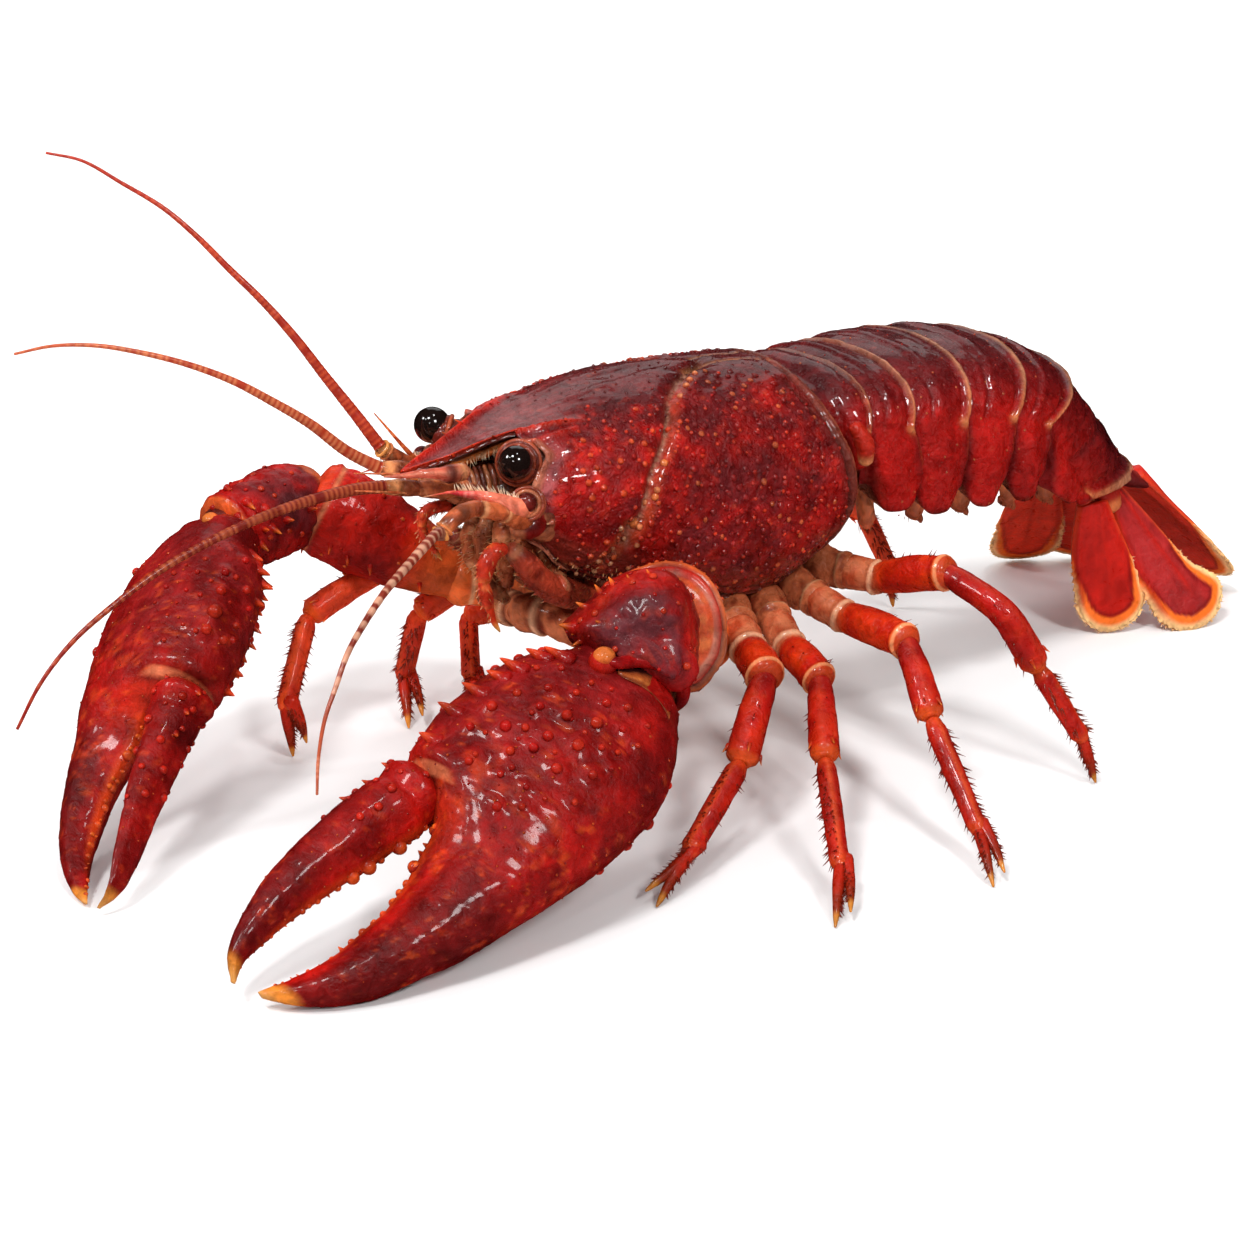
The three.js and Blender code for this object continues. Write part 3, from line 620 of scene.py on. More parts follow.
def trunk_point(y, p):
    """y and p, both arrays; p runs from -1, the right lower edge, over the back to 1."""
    s = np.abs(p)
    sg = np.where(p >= 0, 1.0, -1.0)
    w, zt, zm, ze = table(WIDE, 1, y), table(TOPZ, 1, y), table(MIDZ, 1, y), table(EDGEZ, 1, y)
    e = 2.15
    s0 = 0.145
    # back: constant x
    xb = X_BLADE * s / s0
    zb = zm + (zt - zm) * np.clip(1 - (xb / w) ** e, 0, 1) ** (1 / e)
    # flank: by angle
    a0 = np.arccos(np.clip((X_BLADE / w) ** (e / 2), 0, 1))
    f = np.clip((s - s0) / (1 - s0), 0, 1)
    low = -math.radians(LOW_ANGLE)
    # angle as a function of f, about even in arc length
    th = a0 + (low - a0) * (f ** 0.86)
    c, q = np.cos(th), np.sin(th)
    xf = w * np.abs(c) ** (2 / e)
    zup = zm + (zt - zm) * np.abs(q) ** (2 / e)
    hb = (zm - ze) / math.sin(math.radians(LOW_ANGLE)) ** 0.87
    zlo = zm - hb * np.abs(q) ** 0.87
    xlo = w * np.abs(c) ** 0.87
    x = np.where(s <= s0, xb, np.where(th >= 0, xf, xlo))
    z = np.where(s <= s0, zb, np.where(th >= 0, zup, zlo))
    deg = np.where(s <= s0, 90 - (90 - np.degrees(a0)) * s / s0, np.degrees(th))
    return np.stack([x * sg, y, z], -1), deg


def carapace():
    R, C = 236, 249
    pc = Piece("carapace_shell")
    p = np.linspace(-1, 1, C)
    s = np.abs(p)
    s0 = 0.145
    # front and rear margins for each column
    yb = pchip([b[0] for b in BEAK], [b[1] for b in BEAK], np.clip(X_BLADE * s / s0, 0, X_BLADE))
    deg0 = np.interp(s, [0, s0, 1], [90, 74, -LOW_ANGLE])
    # true angle of each column at the front and the rear
    _, dF = trunk_point(np.full(C, -15.5), p)
    _, dR = trunk_point(np.full(C, 17.5), p)
    yf = np.where(s <= s0, yb, pchip([f[0] for f in FRONT], [f[1] for f in FRONT], dF))
    yr = pchip([f[0] for f in REAR], [f[1] for f in REAR], dR)
    u = np.linspace(0, 1, R) ** 1.0
    # finer rows near the front, where the beak is
    Y = yf[None] + (yr - yf)[None] * (u[:, None] ** 1.08)
    PP = np.broadcast_to(p, (R, C))
    P, D = trunk_point(Y, PP)
    x, y, z = P[..., 0], P[..., 1], P[..., 2]
    ax = np.abs(x)
    N = normals(P, False)
    # N may point inwards: make it point out from the trunk's middle line
    mid = np.stack([np.zeros_like(y), y, np.full_like(y, 28.0)], -1)
    if np.sum(N * (P - mid)) < 0:
        N = -N
    h = np.zeros((R, C))
    # ---- beak: a trough between raised edges, ridges running back on to the cheeks
    bx = pchip([b[1] for b in BEAK], [b[0] for b in BEAK], np.clip(y, -26.7, -16.0))
    ridge_x = np.where(y < -16.0, bx, 3.4 + (np.clip(y, -16, -9.5) + 16.0) * 0.32)
    on = smooth(-8.5, -12.5, y)
    edge = bell(ax - ridge_x + 0.16, 0.34) * on
    beak = smooth(-12.0, -17.0, y)
    trough = np.clip(1 - (ax / np.maximum(ridge_x, 0.3)) ** 2, 0, 1) * smooth(-7.0, -14.0, y)
    h += 0.50 * edge - 0.62 * trough * np.clip(ridge_x / 2.2, 0.2, 1)
    keel = bell(ax, 0.3) * smooth(-14, -19, y)
    h += 0.14 * keel
    # second ridge behind the eye, starting in a small spine
    r2 = bell(ax - (5.35 + (y + 15.2) * 0.14), 0.36) * smooth(-9.6, -12.4, y) * smooth(-16.2, -15.0, y)
    h += 0.40 * r2
    # ---- the curved groove across the back
    yc = pchip([g[0] for g in GROOVE], [g[1] for g in GROOVE], D)
    slope = np.abs(np.gradient(pchip([g[0] for g in GROOVE], [g[1] for g in GROOVE], np.linspace(-42, 90, 133)))) * 4.6
    run = np.sqrt(1 + np.interp(D, np.linspace(-42, 90, 133), slope) ** 2)
    g = (y - yc) / run
    wav = 0.12 * noise(P, 0.9, 5)
    fade = smooth(-16, -8, D)
    groove = bell(g + wav, 0.20) * fade
    h += -0.46 * groove - 0.24 * bell(g + wav, 0.75) * fade + 0.20 * bell(g - 1.2, 0.8) * (D < 78) * fade
    # its lower part, which turns forward below the cheek
    low_pts, _ = many_on_surface(bvh_of(P, False), [(629, 527), (621, 541), (610, 555), (597, 565), (580, 569), (565, 566), (550, 558), (541, 550)])
    low_line = Line(low_pts)
    low_line = low_line.at(np.linspace(0, low_line.length, 80))
    Pm = (P * np.array([1, 1, 1])).reshape(-1, 3)
    Pm = np.stack([np.abs(Pm[:, 0]), Pm[:, 1], Pm[:, 2]], 1)
    gl = np.full(len(Pm), 9.0)
    for q0 in range(0, len(Pm), 6000):
        gl[q0:q0 + 6000] = np.sqrt(((Pm[q0:q0 + 6000, None] - low_line[None]) ** 2).sum(-1)).min(1)
    gl = gl.reshape(R, C)
    h += -0.42 * bell(gl, 0.20) - 0.20 * bell(gl, 0.7)
    # the front half swells up to the groove
    h += 0.30 * smooth(-7.5, -2.0, g) * smooth(0.2, -1.6, g)
    # ---- lines along the middle of the back, behind the groove
    lines = bell(ax - (1.15 + 0.9 * smooth(9.5, 5.0, y) + 0.9 * smooth(13.5, 17.0, y)), 0.22) * smooth(4.6, 6.2, y)
    h += -0.16 * lines
    # ---- rim behind the rear margin and along the lower edge
    back_run = (yr[None] - y)
    low_run = np.minimum(np.linalg.norm(P - P[:, :1], axis=2), np.linalg.norm(P - P[:, -1:], axis=2))
    ed = np.minimum(back_run, low_run)
    h += -0.36 * bell(ed - 1.05, 0.17) + 0.16 * bell(ed - 0.5, 0.35) + 0.12 * bell(ed - 1.55, 0.25) - 0.22 * bell(ed - 2.05, 0.15) * (D < 66)
    front_run = np.where((np.abs(PP) > s0), y - yf[None], 9.0)
    cheek = (D < 70)
    h += (0.24 * bell(front_run - 0.3, 0.35) - 0.20 * bell(front_run - 1.0, 0.3)) * cheek * smooth(72, 60, D)
    # ---- uneven surface
    rear = smooth(0.3, 1.6, g)
    h += 0.12 * fbm(P, 0.32, 3) * smooth(-18, -12, y) + 0.07 * fbm(P * np.array([1, 1, 0.6]), 1.1, 9) * (0.4 + 0.6 * rear)
    h += 0.045 * noise(P, 2.3, 14) + 0.05 * fbm(P * np.array([1, 1, 0.7]), 1.9, 15) * (0.5 + 0.5 * smooth(70, 40, D))
    # wavy creases behind, near the rear margin
    h += 0.045 * np.sin(y * 4.2 + 1.6 * noise(P, 0.45, 12)) * smooth(6, 2.0, back_run) * smooth(0.6, 1.8, back_run) * smooth(60, 40, D)
    P = P + N * h[..., None]
    N2 = normals(P, False)
    if np.sum(N2 * N) < 0:
        N2 = -N2
    # ---- colour
    n1, n2 = fbm(P, 0.22, 21), fbm(P, 0.75, 33)
    topness = smooth(20, 72, D + 10 * n1)
    col = mixc(CRIMSON, MAROON, topness * 0.9)
    low = smooth(-2, -34, D)
    col = mixc(col, lin(112, 26, 14), low * rear * 0.75)
    brightzone = smooth(0.1, 0.55, n1 + 0.25 * n2 + 0.45 * bell(D - 20, 34) * bell(y + 9.5, 5.5))
    col = mixc(col, RED, 0.75 * brightzone * smooth(75, 50, D))
    col = mixc(col, DARKRED, 0.55 * smooth(0.0, -0.5, n2) * rear)
    col = mixc(col, MAUVE, 0.55 * smooth(0.05, 0.5, -n1 + 0.5 * n2) * (0.35 + 0.65 * rear))
    n4, n5 = fbm(P, 0.55, 77), fbm(P, 1.3, 78)
    col = mixc(col, lin(196, 16, 10), (0.60 - 0.38 * rear) * smooth(0.02, 0.40, n4 + 0.3 * n5) * smooth(82, 58, D))
    col = mixc(col, lin(78, 16, 20), 0.45 * smooth(-0.02, -0.42, n4 + 0.4 * n5) * smooth(-30, 10, D))
    col = mixc(col, lin(208, 44, 22), (0.50 - 0.22 * rear) * smooth(0.22, 0.50, n5) * smooth(82, 55, D))
    # mauve-grey in the beak's trough and high on the front of the back: a painted sheen standing in for a reflection of
    # the bright backdrop
    col = mixc(col, lin(126, 58, 58), (trough * 0.8 + 0.25 * smooth(66, 80, D) * smooth(4, -8, y)) * smooth(2, -8, y))
    col = mixc(col, lin(190, 24, 10), np.clip(edge * 1.1, 0, 1))
    col = mixc(col, lin(206, 52, 16), np.clip(edge, 0, 1) * smooth(0.12, -0.25, ax - ridge_x + 0.0) * 0 + bell(ax - ridge_x, 0.2) * on * 0.55)
    col = mixc(col, lin(196, 28, 10), r2 * 0.85)
    gz = bell(g + wav, 0.14)
    band = bell(g - 0.55, 0.50) * smooth(86, 70, D) * (0.55 + 0.45 * smooth(40, 5, D))
    col = mixc(col, lin(178, 66, 30), band * fade * 0.62 * smooth(-0.7, 0.1, n2 + 0.3))
    col = mixc(col, lin(92, 34, 26), bell(g + 0.30, 0.30) * 0.6 * fade)
    col = mixc(col, lin(190, 140, 112), gz * 0.75 * fade)
    below = smooth(-10, -20, D) * smooth(-5.5, -9.0, y) * smooth(0.2, 0.9, gl)
    col = mixc(col, lin(120, 46, 34), below * 0.7)
    col = mixc(col, lin(176, 96, 56), bell(gl - 0.55, 0.30) * 0.5 * smooth(-0.4, 0.2, n2))
    col = mixc(col, lin(196, 146, 112), bell(gl, 0.14) * 0.8)
    col = mixc(col, lin(168, 104, 62), lines * 0.8)
    col = mixc(col, lin(92, 34, 26), smooth(2.4, 1.2, ed) * 0.45)
    col = mixc(col, lin(62, 24, 18), (bell(ed - 1.05, 0.16) + bell(ed - 2.05, 0.12) * (D < 66)) * 0.7)
    col = mixc(col, lin(124, 66, 50), bell(ed - 0.60, 0.28) * 0.5)
    col = mixc(col, lin(160, 92, 62), smooth(0.26, 0.08, ed) * 0.7)
    orbit = smooth(1.25, 0.45, front_run + 0.15 * n2) * cheek
    col = mixc(col, lin(226, 142, 108), orbit * smooth(64, 50, D) * (0.50 + 0.45 * bell(D - 2, 24)))
    # pinkish-mauve strip just behind the cheek's front margin: a painted highlight
    col = mixc(col, lin(170, 104, 106), bell(front_run - 1.5, 0.7) * bell(D - 24, 30) * 0.6)
    # ---- a hem that folds in under all four margins
    T = 0.42

    def hem_rows(Pg, Ng, cg, first):
        o = Pg[0] if first else Pg[-1]
        i = Pg[6] if first else Pg[-7]
        n = Ng[0] if first else Ng[-1]
        n_in = Ng[6] if first else Ng[-7]
        out = unit(o - i)
        a = o + out * 0.10 - n * T * 0.35
        b = o + out * 0.02 - n * T * 0.95
        d = i - n_in * T * 1.5
        k = [cg[0] if first else cg[-1]]
        dark = mixc(k[0], BROWN, np.full(k[0].shape[:-1], 0.5))
        rows = np.stack([a, b, d])
        nn = np.stack([unit(n * 0.3 + out), unit(out - n), -n_in])
        cc = np.stack([k[0], dark, np.broadcast_to(DARKBROWN, dark.shape)])
        if first:
            return np.concatenate([rows[::-1], Pg]), np.concatenate([nn[::-1], Ng]), np.concatenate([cc[::-1], cg])
        return np.concatenate([Pg, rows]), np.concatenate([Ng, nn]), np.concatenate([cg, cc])

    Pq, Nq, cq = P, N2, col
    Pq, Nq, cq = hem_rows(Pq, Nq, cq, True)
    Pq, Nq, cq = hem_rows(Pq, Nq, cq, False)
    Pq, Nq, cq = (a.swapaxes(0, 1) for a in (Pq, Nq, cq))
    Pq, Nq, cq = hem_rows(Pq, Nq, cq, True)
    Pq, Nq, cq = hem_rows(Pq, Nq, cq, False)
    add_sheet(pc, Pq, cq, Nq)
    # ---- small bumps: dense behind the groove, fewer and larger on the cheek
    clear = smooth(1.5, 2.2, ed)
    wr = rear * clear * smooth(78, 66, D) * (0.25 + 0.75 * smooth(-40, -10, D))
    pts, nor, rnd = scatter(P, N2, wr, 1.04, 41, 7000)
    r = 0.24 + 0.16 * rnd
    base = col[scatter.at[0], scatter.at[1]]
    hot = ((rnd * 37) % 1) > 0.84
    tip = mixc(base * np.array([1.25, 1.5, 1.4, 1]) + np.array([0.02, 0.003, 0.002, 0]), np.broadcast_to(lin(206, 96, 52), (len(pts), 4)), hot * 0.75)
    add_domes(pc, pts, nor, r, r * 0.62, base, tip, seg=8, rings=3, lean=np.array([0, -0.16, 0.02]))
    wc = smooth(0.0, -1.0, g) * smooth(1.4, 2.4, front_run) * cheek * smooth(66, 50, D) * smooth(-14, -11, y) * smooth(-38, -30, D)
    wc = wc * (0.25 + smooth(-7.5, -3.5, g) + 0.8 * smooth(-2, -26, D))
    pts, nor, rnd = scatter(P, N2, wc, 1.25, 43, 700)
    keep = rnd < 0.9
    pts, nor, rnd = pts[keep], nor[keep], rnd[keep]
    r = 0.20 + 0.20 * rnd
    base = col[scatter.at[0], scatter.at[1]][keep]
    tip = mixc(base * np.array([1.3, 1.8, 1.6, 1]) + np.array([0.05, 0.004, 0.002, 0]), np.broadcast_to(lin(218, 84, 34), (len(pts), 4)), (rnd > 0.55) * 0.6)
    add_domes(pc, pts, nor, r, r * 0.7, base, tip, seg=8, rings=3, lean=np.array([0, -0.10, 0]))
    # along the groove's rear border: larger orange ones
    wb = bell(g - 0.85, 0.30) * smooth(80, 70, D) * smooth(-41, -34, D)
    pts, nor, rnd = scatter(P, N2, wb, 1.2, 44, 500)
    r = 0.18 + 0.20 * rnd
    add_domes(pc, pts, nor, r, r * 0.85, lin(168, 52, 26), mixc(np.broadcast_to(lin(190, 62, 30), (len(pts), 4)), np.broadcast_to(lin(206, 124, 78), (len(pts), 4)), (rnd > 0.6) * 0.8), seg=8, rings=3)
    tree = bvh_of(P, False)
    for px, py, rr in ((634, 523, 0.55), (664, 463, 0.4), (655, 497, 0.38), (668, 430, 0.34), (583, 471, 0.33), (597, 468, 0.3), (604, 488, 0.34), (590, 510, 0.3)):
        for side in (1, -1):
            c, n = on_surface(tree, px, py)
            c, n = c * np.array([side, 1, 1]), n * np.array([side, 1, 1])
            add_domes(pc, c[None], n[None], rr, rr * 0.8, lin(170, 56, 26), lin(212, 112, 56) if rr > 0.36 else lin(196, 56, 24), seg=12, rings=4)
    # round beads with a wet shine on the flanks
    wg = smooth(78, 55, D) * smooth(-34, -20, D) * smooth(0.7, 1.6, np.abs(g)) * smooth(0.8, 2.2, ed) * (np.abs(PP) > s0) * smooth(1.0, 2.5, front_run)
    pts, nor, rnd = scatter(P, N2, wg, 0.95, 49, 1500)
    r = 0.13 + 0.13 * rnd
    add_domes(pc, pts, nor, r, r * 0.75, lin(120, 16, 12), mixc(np.broadcast_to(lin(158, 20, 14), (len(pts), 4)), np.broadcast_to(lin(204, 56, 30), (len(pts), 4)), (rnd > 0.55) * 0.8), seg=8, rings=3)
    wb = bell(gl - 0.55, 0.28)
    pts, nor, rnd = scatter(P, N2, wb, 0.75, 47, 500)
    r = 0.12 + 0.20 * rnd
    add_domes(pc, pts, nor, r, r * 0.8, lin(150, 62, 36), mixc(np.broadcast_to(lin(196, 84, 44), (len(pts), 4)), np.broadcast_to(lin(222, 160, 116), (len(pts), 4)), (rnd > 0.5) * 0.8), seg=9, rings=3)
    # on the back: fine dark points
    wt = smooth(70, 80, D) * smooth(9.0, 10.5, y) * clear * (1 - lines)
    wt = wt + 0.5 * smooth(40, 62, D) * smooth(-12, -8, y) * smooth(0.2, -0.5, g)
    pts, nor, rnd = scatter(P, N2, wt, 1.0, 45, 900)
    r = 0.10 + 0.10 * rnd
    add_domes(pc, pts, nor, r, r * 0.8, lin(84, 16, 16), lin(96, 24, 22), seg=7, rings=2)
    # tiny pale points under the front and along the lower edge of the cheek
    wl = bell(low_run - 1.6, 0.9) * smooth(-4, -12, y) * (D < 0)
    pts, nor, rnd = scatter(P, N2, wl, 0.55, 46, 600)
    add_horns(pc, pts, nor + np.array([0, -0.5, 0]), 0.09, 0.35 + 0.2 * rnd, TAN, PALE, seg=5, rings=2)
    # ---- spines on the beak's edges and behind the eye
    for side in (1, -1):
        for yy, L in ((-18.0, 0.75), (-20.0, 0.6), (-21.9, 0.55), (-23.4, 0.4)):
            bx_ = float(pchip([b[1] for b in BEAK], [b[0] for b in BEAK], yy))
            zz = float(table(TOPZ, 1, yy)) + 0.15
            add_horns(pc, np.array([[side * bx_, yy, zz]]), np.array([[side * 0.55, -0.65, 0.55]]), 0.17, L, lin(196, 40, 12), lin(232, 110, 30), rings=4)
        add_horns(pc, np.array([[side * 5.35, -14.7, 36.15]]), np.array([[side * 0.15, -1.0, 0.12]]), 0.34, 0.9, lin(190, 28, 10), ORANGE)
        add_horns(pc, np.array([[side * 9.0, -16.0, 29.4]]), np.array([[side * 0.2, -1.0, 0.0]]), 0.3, 0.7, PINK, PALE)
    add_horns(pc, np.array([[0.0, -26.1, 33.95]]), np.array([[0.0, -1.0, -0.03]]), 0.26, 1.5, lin(170, 40, 20), lin(226, 140, 70), rings=5)
    # the beak's underside: a thin closed blade
    ys = np.linspace(-26.6, -12.5, 60)
    bxx = pchip([b[1] for b in BEAK] + [-12.0], [b[0] for b in BEAK] + [4.4], ys)
    rows = []
    for yy, b_ in zip(ys, bxx):
        ang = np.linspace(0, 2 * np.pi, 24, endpoint=False)
        zt = float(table(TOPZ, 1, yy)) - 0.46 - 0.42 * min(b_ / 2.6, 1.0)
        deep = 0.35 + 0.35 * b_
        rows.append(np.stack([b_ * 0.97 * np.cos(ang), np.full(24, yy), zt - 0.30 + np.where(np.sin(ang) > 0, 0.12, deep) * np.sin(ang)], 1))
    rows = np.array(rows)
    cc = mixc(np.broadcast_to(lin(206, 104, 44), (60, 24, 4)), np.broadcast_to(lin(176, 84, 50), (60, 24, 4)), smooth(-20, -14, rows[..., 1]))
    add_tube(pc, rows, cc)
    return pc.make(["carapace"], "trunk_shell", M_TRUNK), tree


# ================================================================== trunk core with the mouth side


def tube_y(rows, cols, expo=2.0, n=90):
    """A closed form along y from rows of y, half width, top z, low z."""
    r = np.array(rows, float)
    ys = np.linspace(r[0, 0], r[-1, 0], n)
    w, zt, zl = (pchip(r[:, 0], r[:, k], ys) for k in (1, 2, 3))
    ang = np.linspace(0, 2 * np.pi, cols, endpoint=False)
    c, s = np.cos(ang), np.sin(ang)
    x = w[:, None] * (np.sign(c) * np.abs(c) ** (2 / expo))[None]
    zm = zl + 0.55 * (zt - zl)
    z = zm[:, None] + np.where(s > 0, (zt - zm)[:, None], (zm - zl)[:, None]) * (np.sign(s) * np.abs(s) ** (2 / expo))[None]
    return np.stack([x, np.broadcast_to(ys[:, None], x.shape), z], -1)


def limb_grid(points, prof, n=60, cols=28, up=(0, 0, 1), caps=(0.8, 0.8), power=1.0, side0=None):
    """A rounded limb; prof rows are (fraction of length, half width, half height)."""
    ln = points if isinstance(points, Line) else Line(points)
    pr = np.array(prof, float)
    L = ln.length
    f = np.linspace(0, 1, n)
    w = pchip(pr[:, 0], pr[:, 1], f)
    h = pchip(pr[:, 0], pr[:, 2], f)
    P, D = ln.at(f * L), ln.dirs(f * L)
    k = np.linspace(0, 1, 6)[:-1]
    rk = np.sqrt(np.clip(1 - (1 - k) ** 2, 0, 1))
    rk[0] = 0.02
    m0, m1 = min(w[0], h[0]) * caps[0], min(w[-1], h[-1]) * caps[1]
    P = np.concatenate([P[0] - D[0] * ((1 - k) * m0)[:, None], P, P[-1] + D[-1] * ((1 - k[::-1]) * m1)[:, None]])
    D = np.concatenate([np.repeat(D[:1], 5, 0), D, np.repeat(D[-1:], 5, 0)])
    w = np.concatenate([w[0] * rk, w, w[-1] * rk[::-1]])
    h = np.concatenate([h[0] * rk, h, h[-1] * rk[::-1]])
    F = np.concatenate([-(1 - k) * m0 / L, f, 1 + (1 - k[::-1]) * m1 / L])
    S = np.empty_like(D)
    s = np.cross(D[0], np.array(up, float)) if side0 is None else np.array(side0, float)
    for i in range(len(D)):
        s = s - (s @ D[i]) * D[i]
        s = s / np.linalg.norm(s)
        S[i] = s
    U = np.cross(S, D)
    ang = np.linspace(0, 2 * np.pi, cols, endpoint=False)
    c, q = np.cos(ang), np.sin(ang)
    if power != 1.0:
        c, q = np.sign(c) * np.abs(c) ** power, np.sign(q) * np.abs(q) ** power
    G = P[:, None] + (w[:, None] * c)[..., None] * S[:, None] + (h[:, None] * q)[..., None] * U[:, None]
    return G, F[:, None] + 0 * c[None], np.broadcast_to(ang, G.shape[:2]), dict(P=P, D=D, S=S, U=U, w=w, h=h, F=F)


def add_limb(pc, points, prof, colour, n=60, cols=28, rough=0.04, seed=1, **kw):
    """colour: a function of (fraction, angle, grid) giving colours, or one colour."""
    G, F, A, fr = limb_grid(points, prof, n, cols, **kw)
    N = normals(G, True)
    G = G + N * (rough * fbm(G, 0.9, seed) * smooth(0, 0.04, F) * smooth(1, 0.96, F))[..., None]
    col = colour(F, A, G) if callable(colour) else colour
    add_tube(pc, G, col)
    return G, N, F, A, fr


def core():
    pc = Piece("trunk_core")
    rows = [[-17.0, 1.5, 32.0, 26.0], [-16.6, 5.6, 34.6, 23.6], [-15.0, 7.6, 35.4, 21.6], [-12, 8.9, 36.0, 18.8], [-8, 10.2, 36.8, 16.6], [-2, 11.4, 37.2, 14.6],
            [5, 12.1, 37.2, 13.4], [12, 12.2, 36.8, 14.0], [16, 11.8, 36.2, 16.4], [17.6, 10.5, 35.0, 19.5], [18.2, 6.0, 33.0, 24.0]]
    P = tube_y(rows, 100, 1.75, 100)
    N = normals(P, True)
    x, y, z = P[..., 0], P[..., 1], P[..., 2]
    # belly plates between the legs
    belly = smooth(20, 15.5, z) * smooth(-13, -9, y)
    h = 0.35 * np.abs(np.sin((y - 1.0) * math.pi / 4.4)) * belly - 0.5 * bell(x, 0.8) * belly + 0.18 * fbm(P, 0.7, 6)
    front = smooth(-12, -15.5, y)
    h += 0.45 * fbm(P, 0.55, 8) * front
    P = P + N * h[..., None]
    n1 = fbm(P, 0.6, 3)
    col = mixc(np.broadcast_to(lin(122, 58, 38), P.shape[:2] + (4,)), np.broadcast_to(lin(168, 92, 58), P.shape[:2] + (4,)), smooth(-0.3, 0.5, n1))
    col = mixc(col, lin(58, 22, 14), smooth(0.1, 0.7, -n1 + 0.6 * front) * 0.8)
    col = mixc(col, lin(196, 128, 88), bell(np.sin((y - 1.0) * math.pi / 4.4), 0.25) * belly * 0.6)
    col = mixc(col, lin(60, 20, 14), smooth(20.5, 23, z) * smooth(-14, -10, y) * 0.6)
    add_tube(pc, P, col)
    return pc.make(["underside"], "underside_skin", M_SKIN)


# ================================================================== tail rings
TAIL = [[0.0, 20.3, 31.0, 20.4, 35.8, 10.0, 0], [0.0, 22.4, 31.0, 24.2, 35.7, 10.5, 0], [0.0, 27.8, 30.4, 29.6, 35.8, 11.2, 0], [0.2, 35.4, 30.0, 37.8, 35.8, 11.5, 2],
        [0.9, 42.8, 29.2, 47.2, 34.3, 11.3, 6], [1.9, 48.6, 27.4, 56.0, 30.2, 10.6, 11], [4.4, 58.8, 16.2, 67.8, 16.2, 5.8, 24]]
PLATE_TIP = [[21.8, 27.0], [27.6, 21.6], [33.0, 20.6], [39.2, 20.2], [45.6, 19.7], [53.6, 17.2]]


def ring_plane(k, t):
    """The leaning plane at fraction t of ring k; t below 0 reaches under the ring in front."""
    tab = np.array(TAIL, float)
    q = k + t
    i = np.arange(7)
    return [np.interp(q, i, tab[:, c]) if 0 <= q <= 6 else tab[0 if q < 0 else 6, c] + (tab[1 if q < 0 else 6, c] - tab[0 if q < 0 else 5, c]) * (q if q < 0 else q - 6) for c in range(7)]


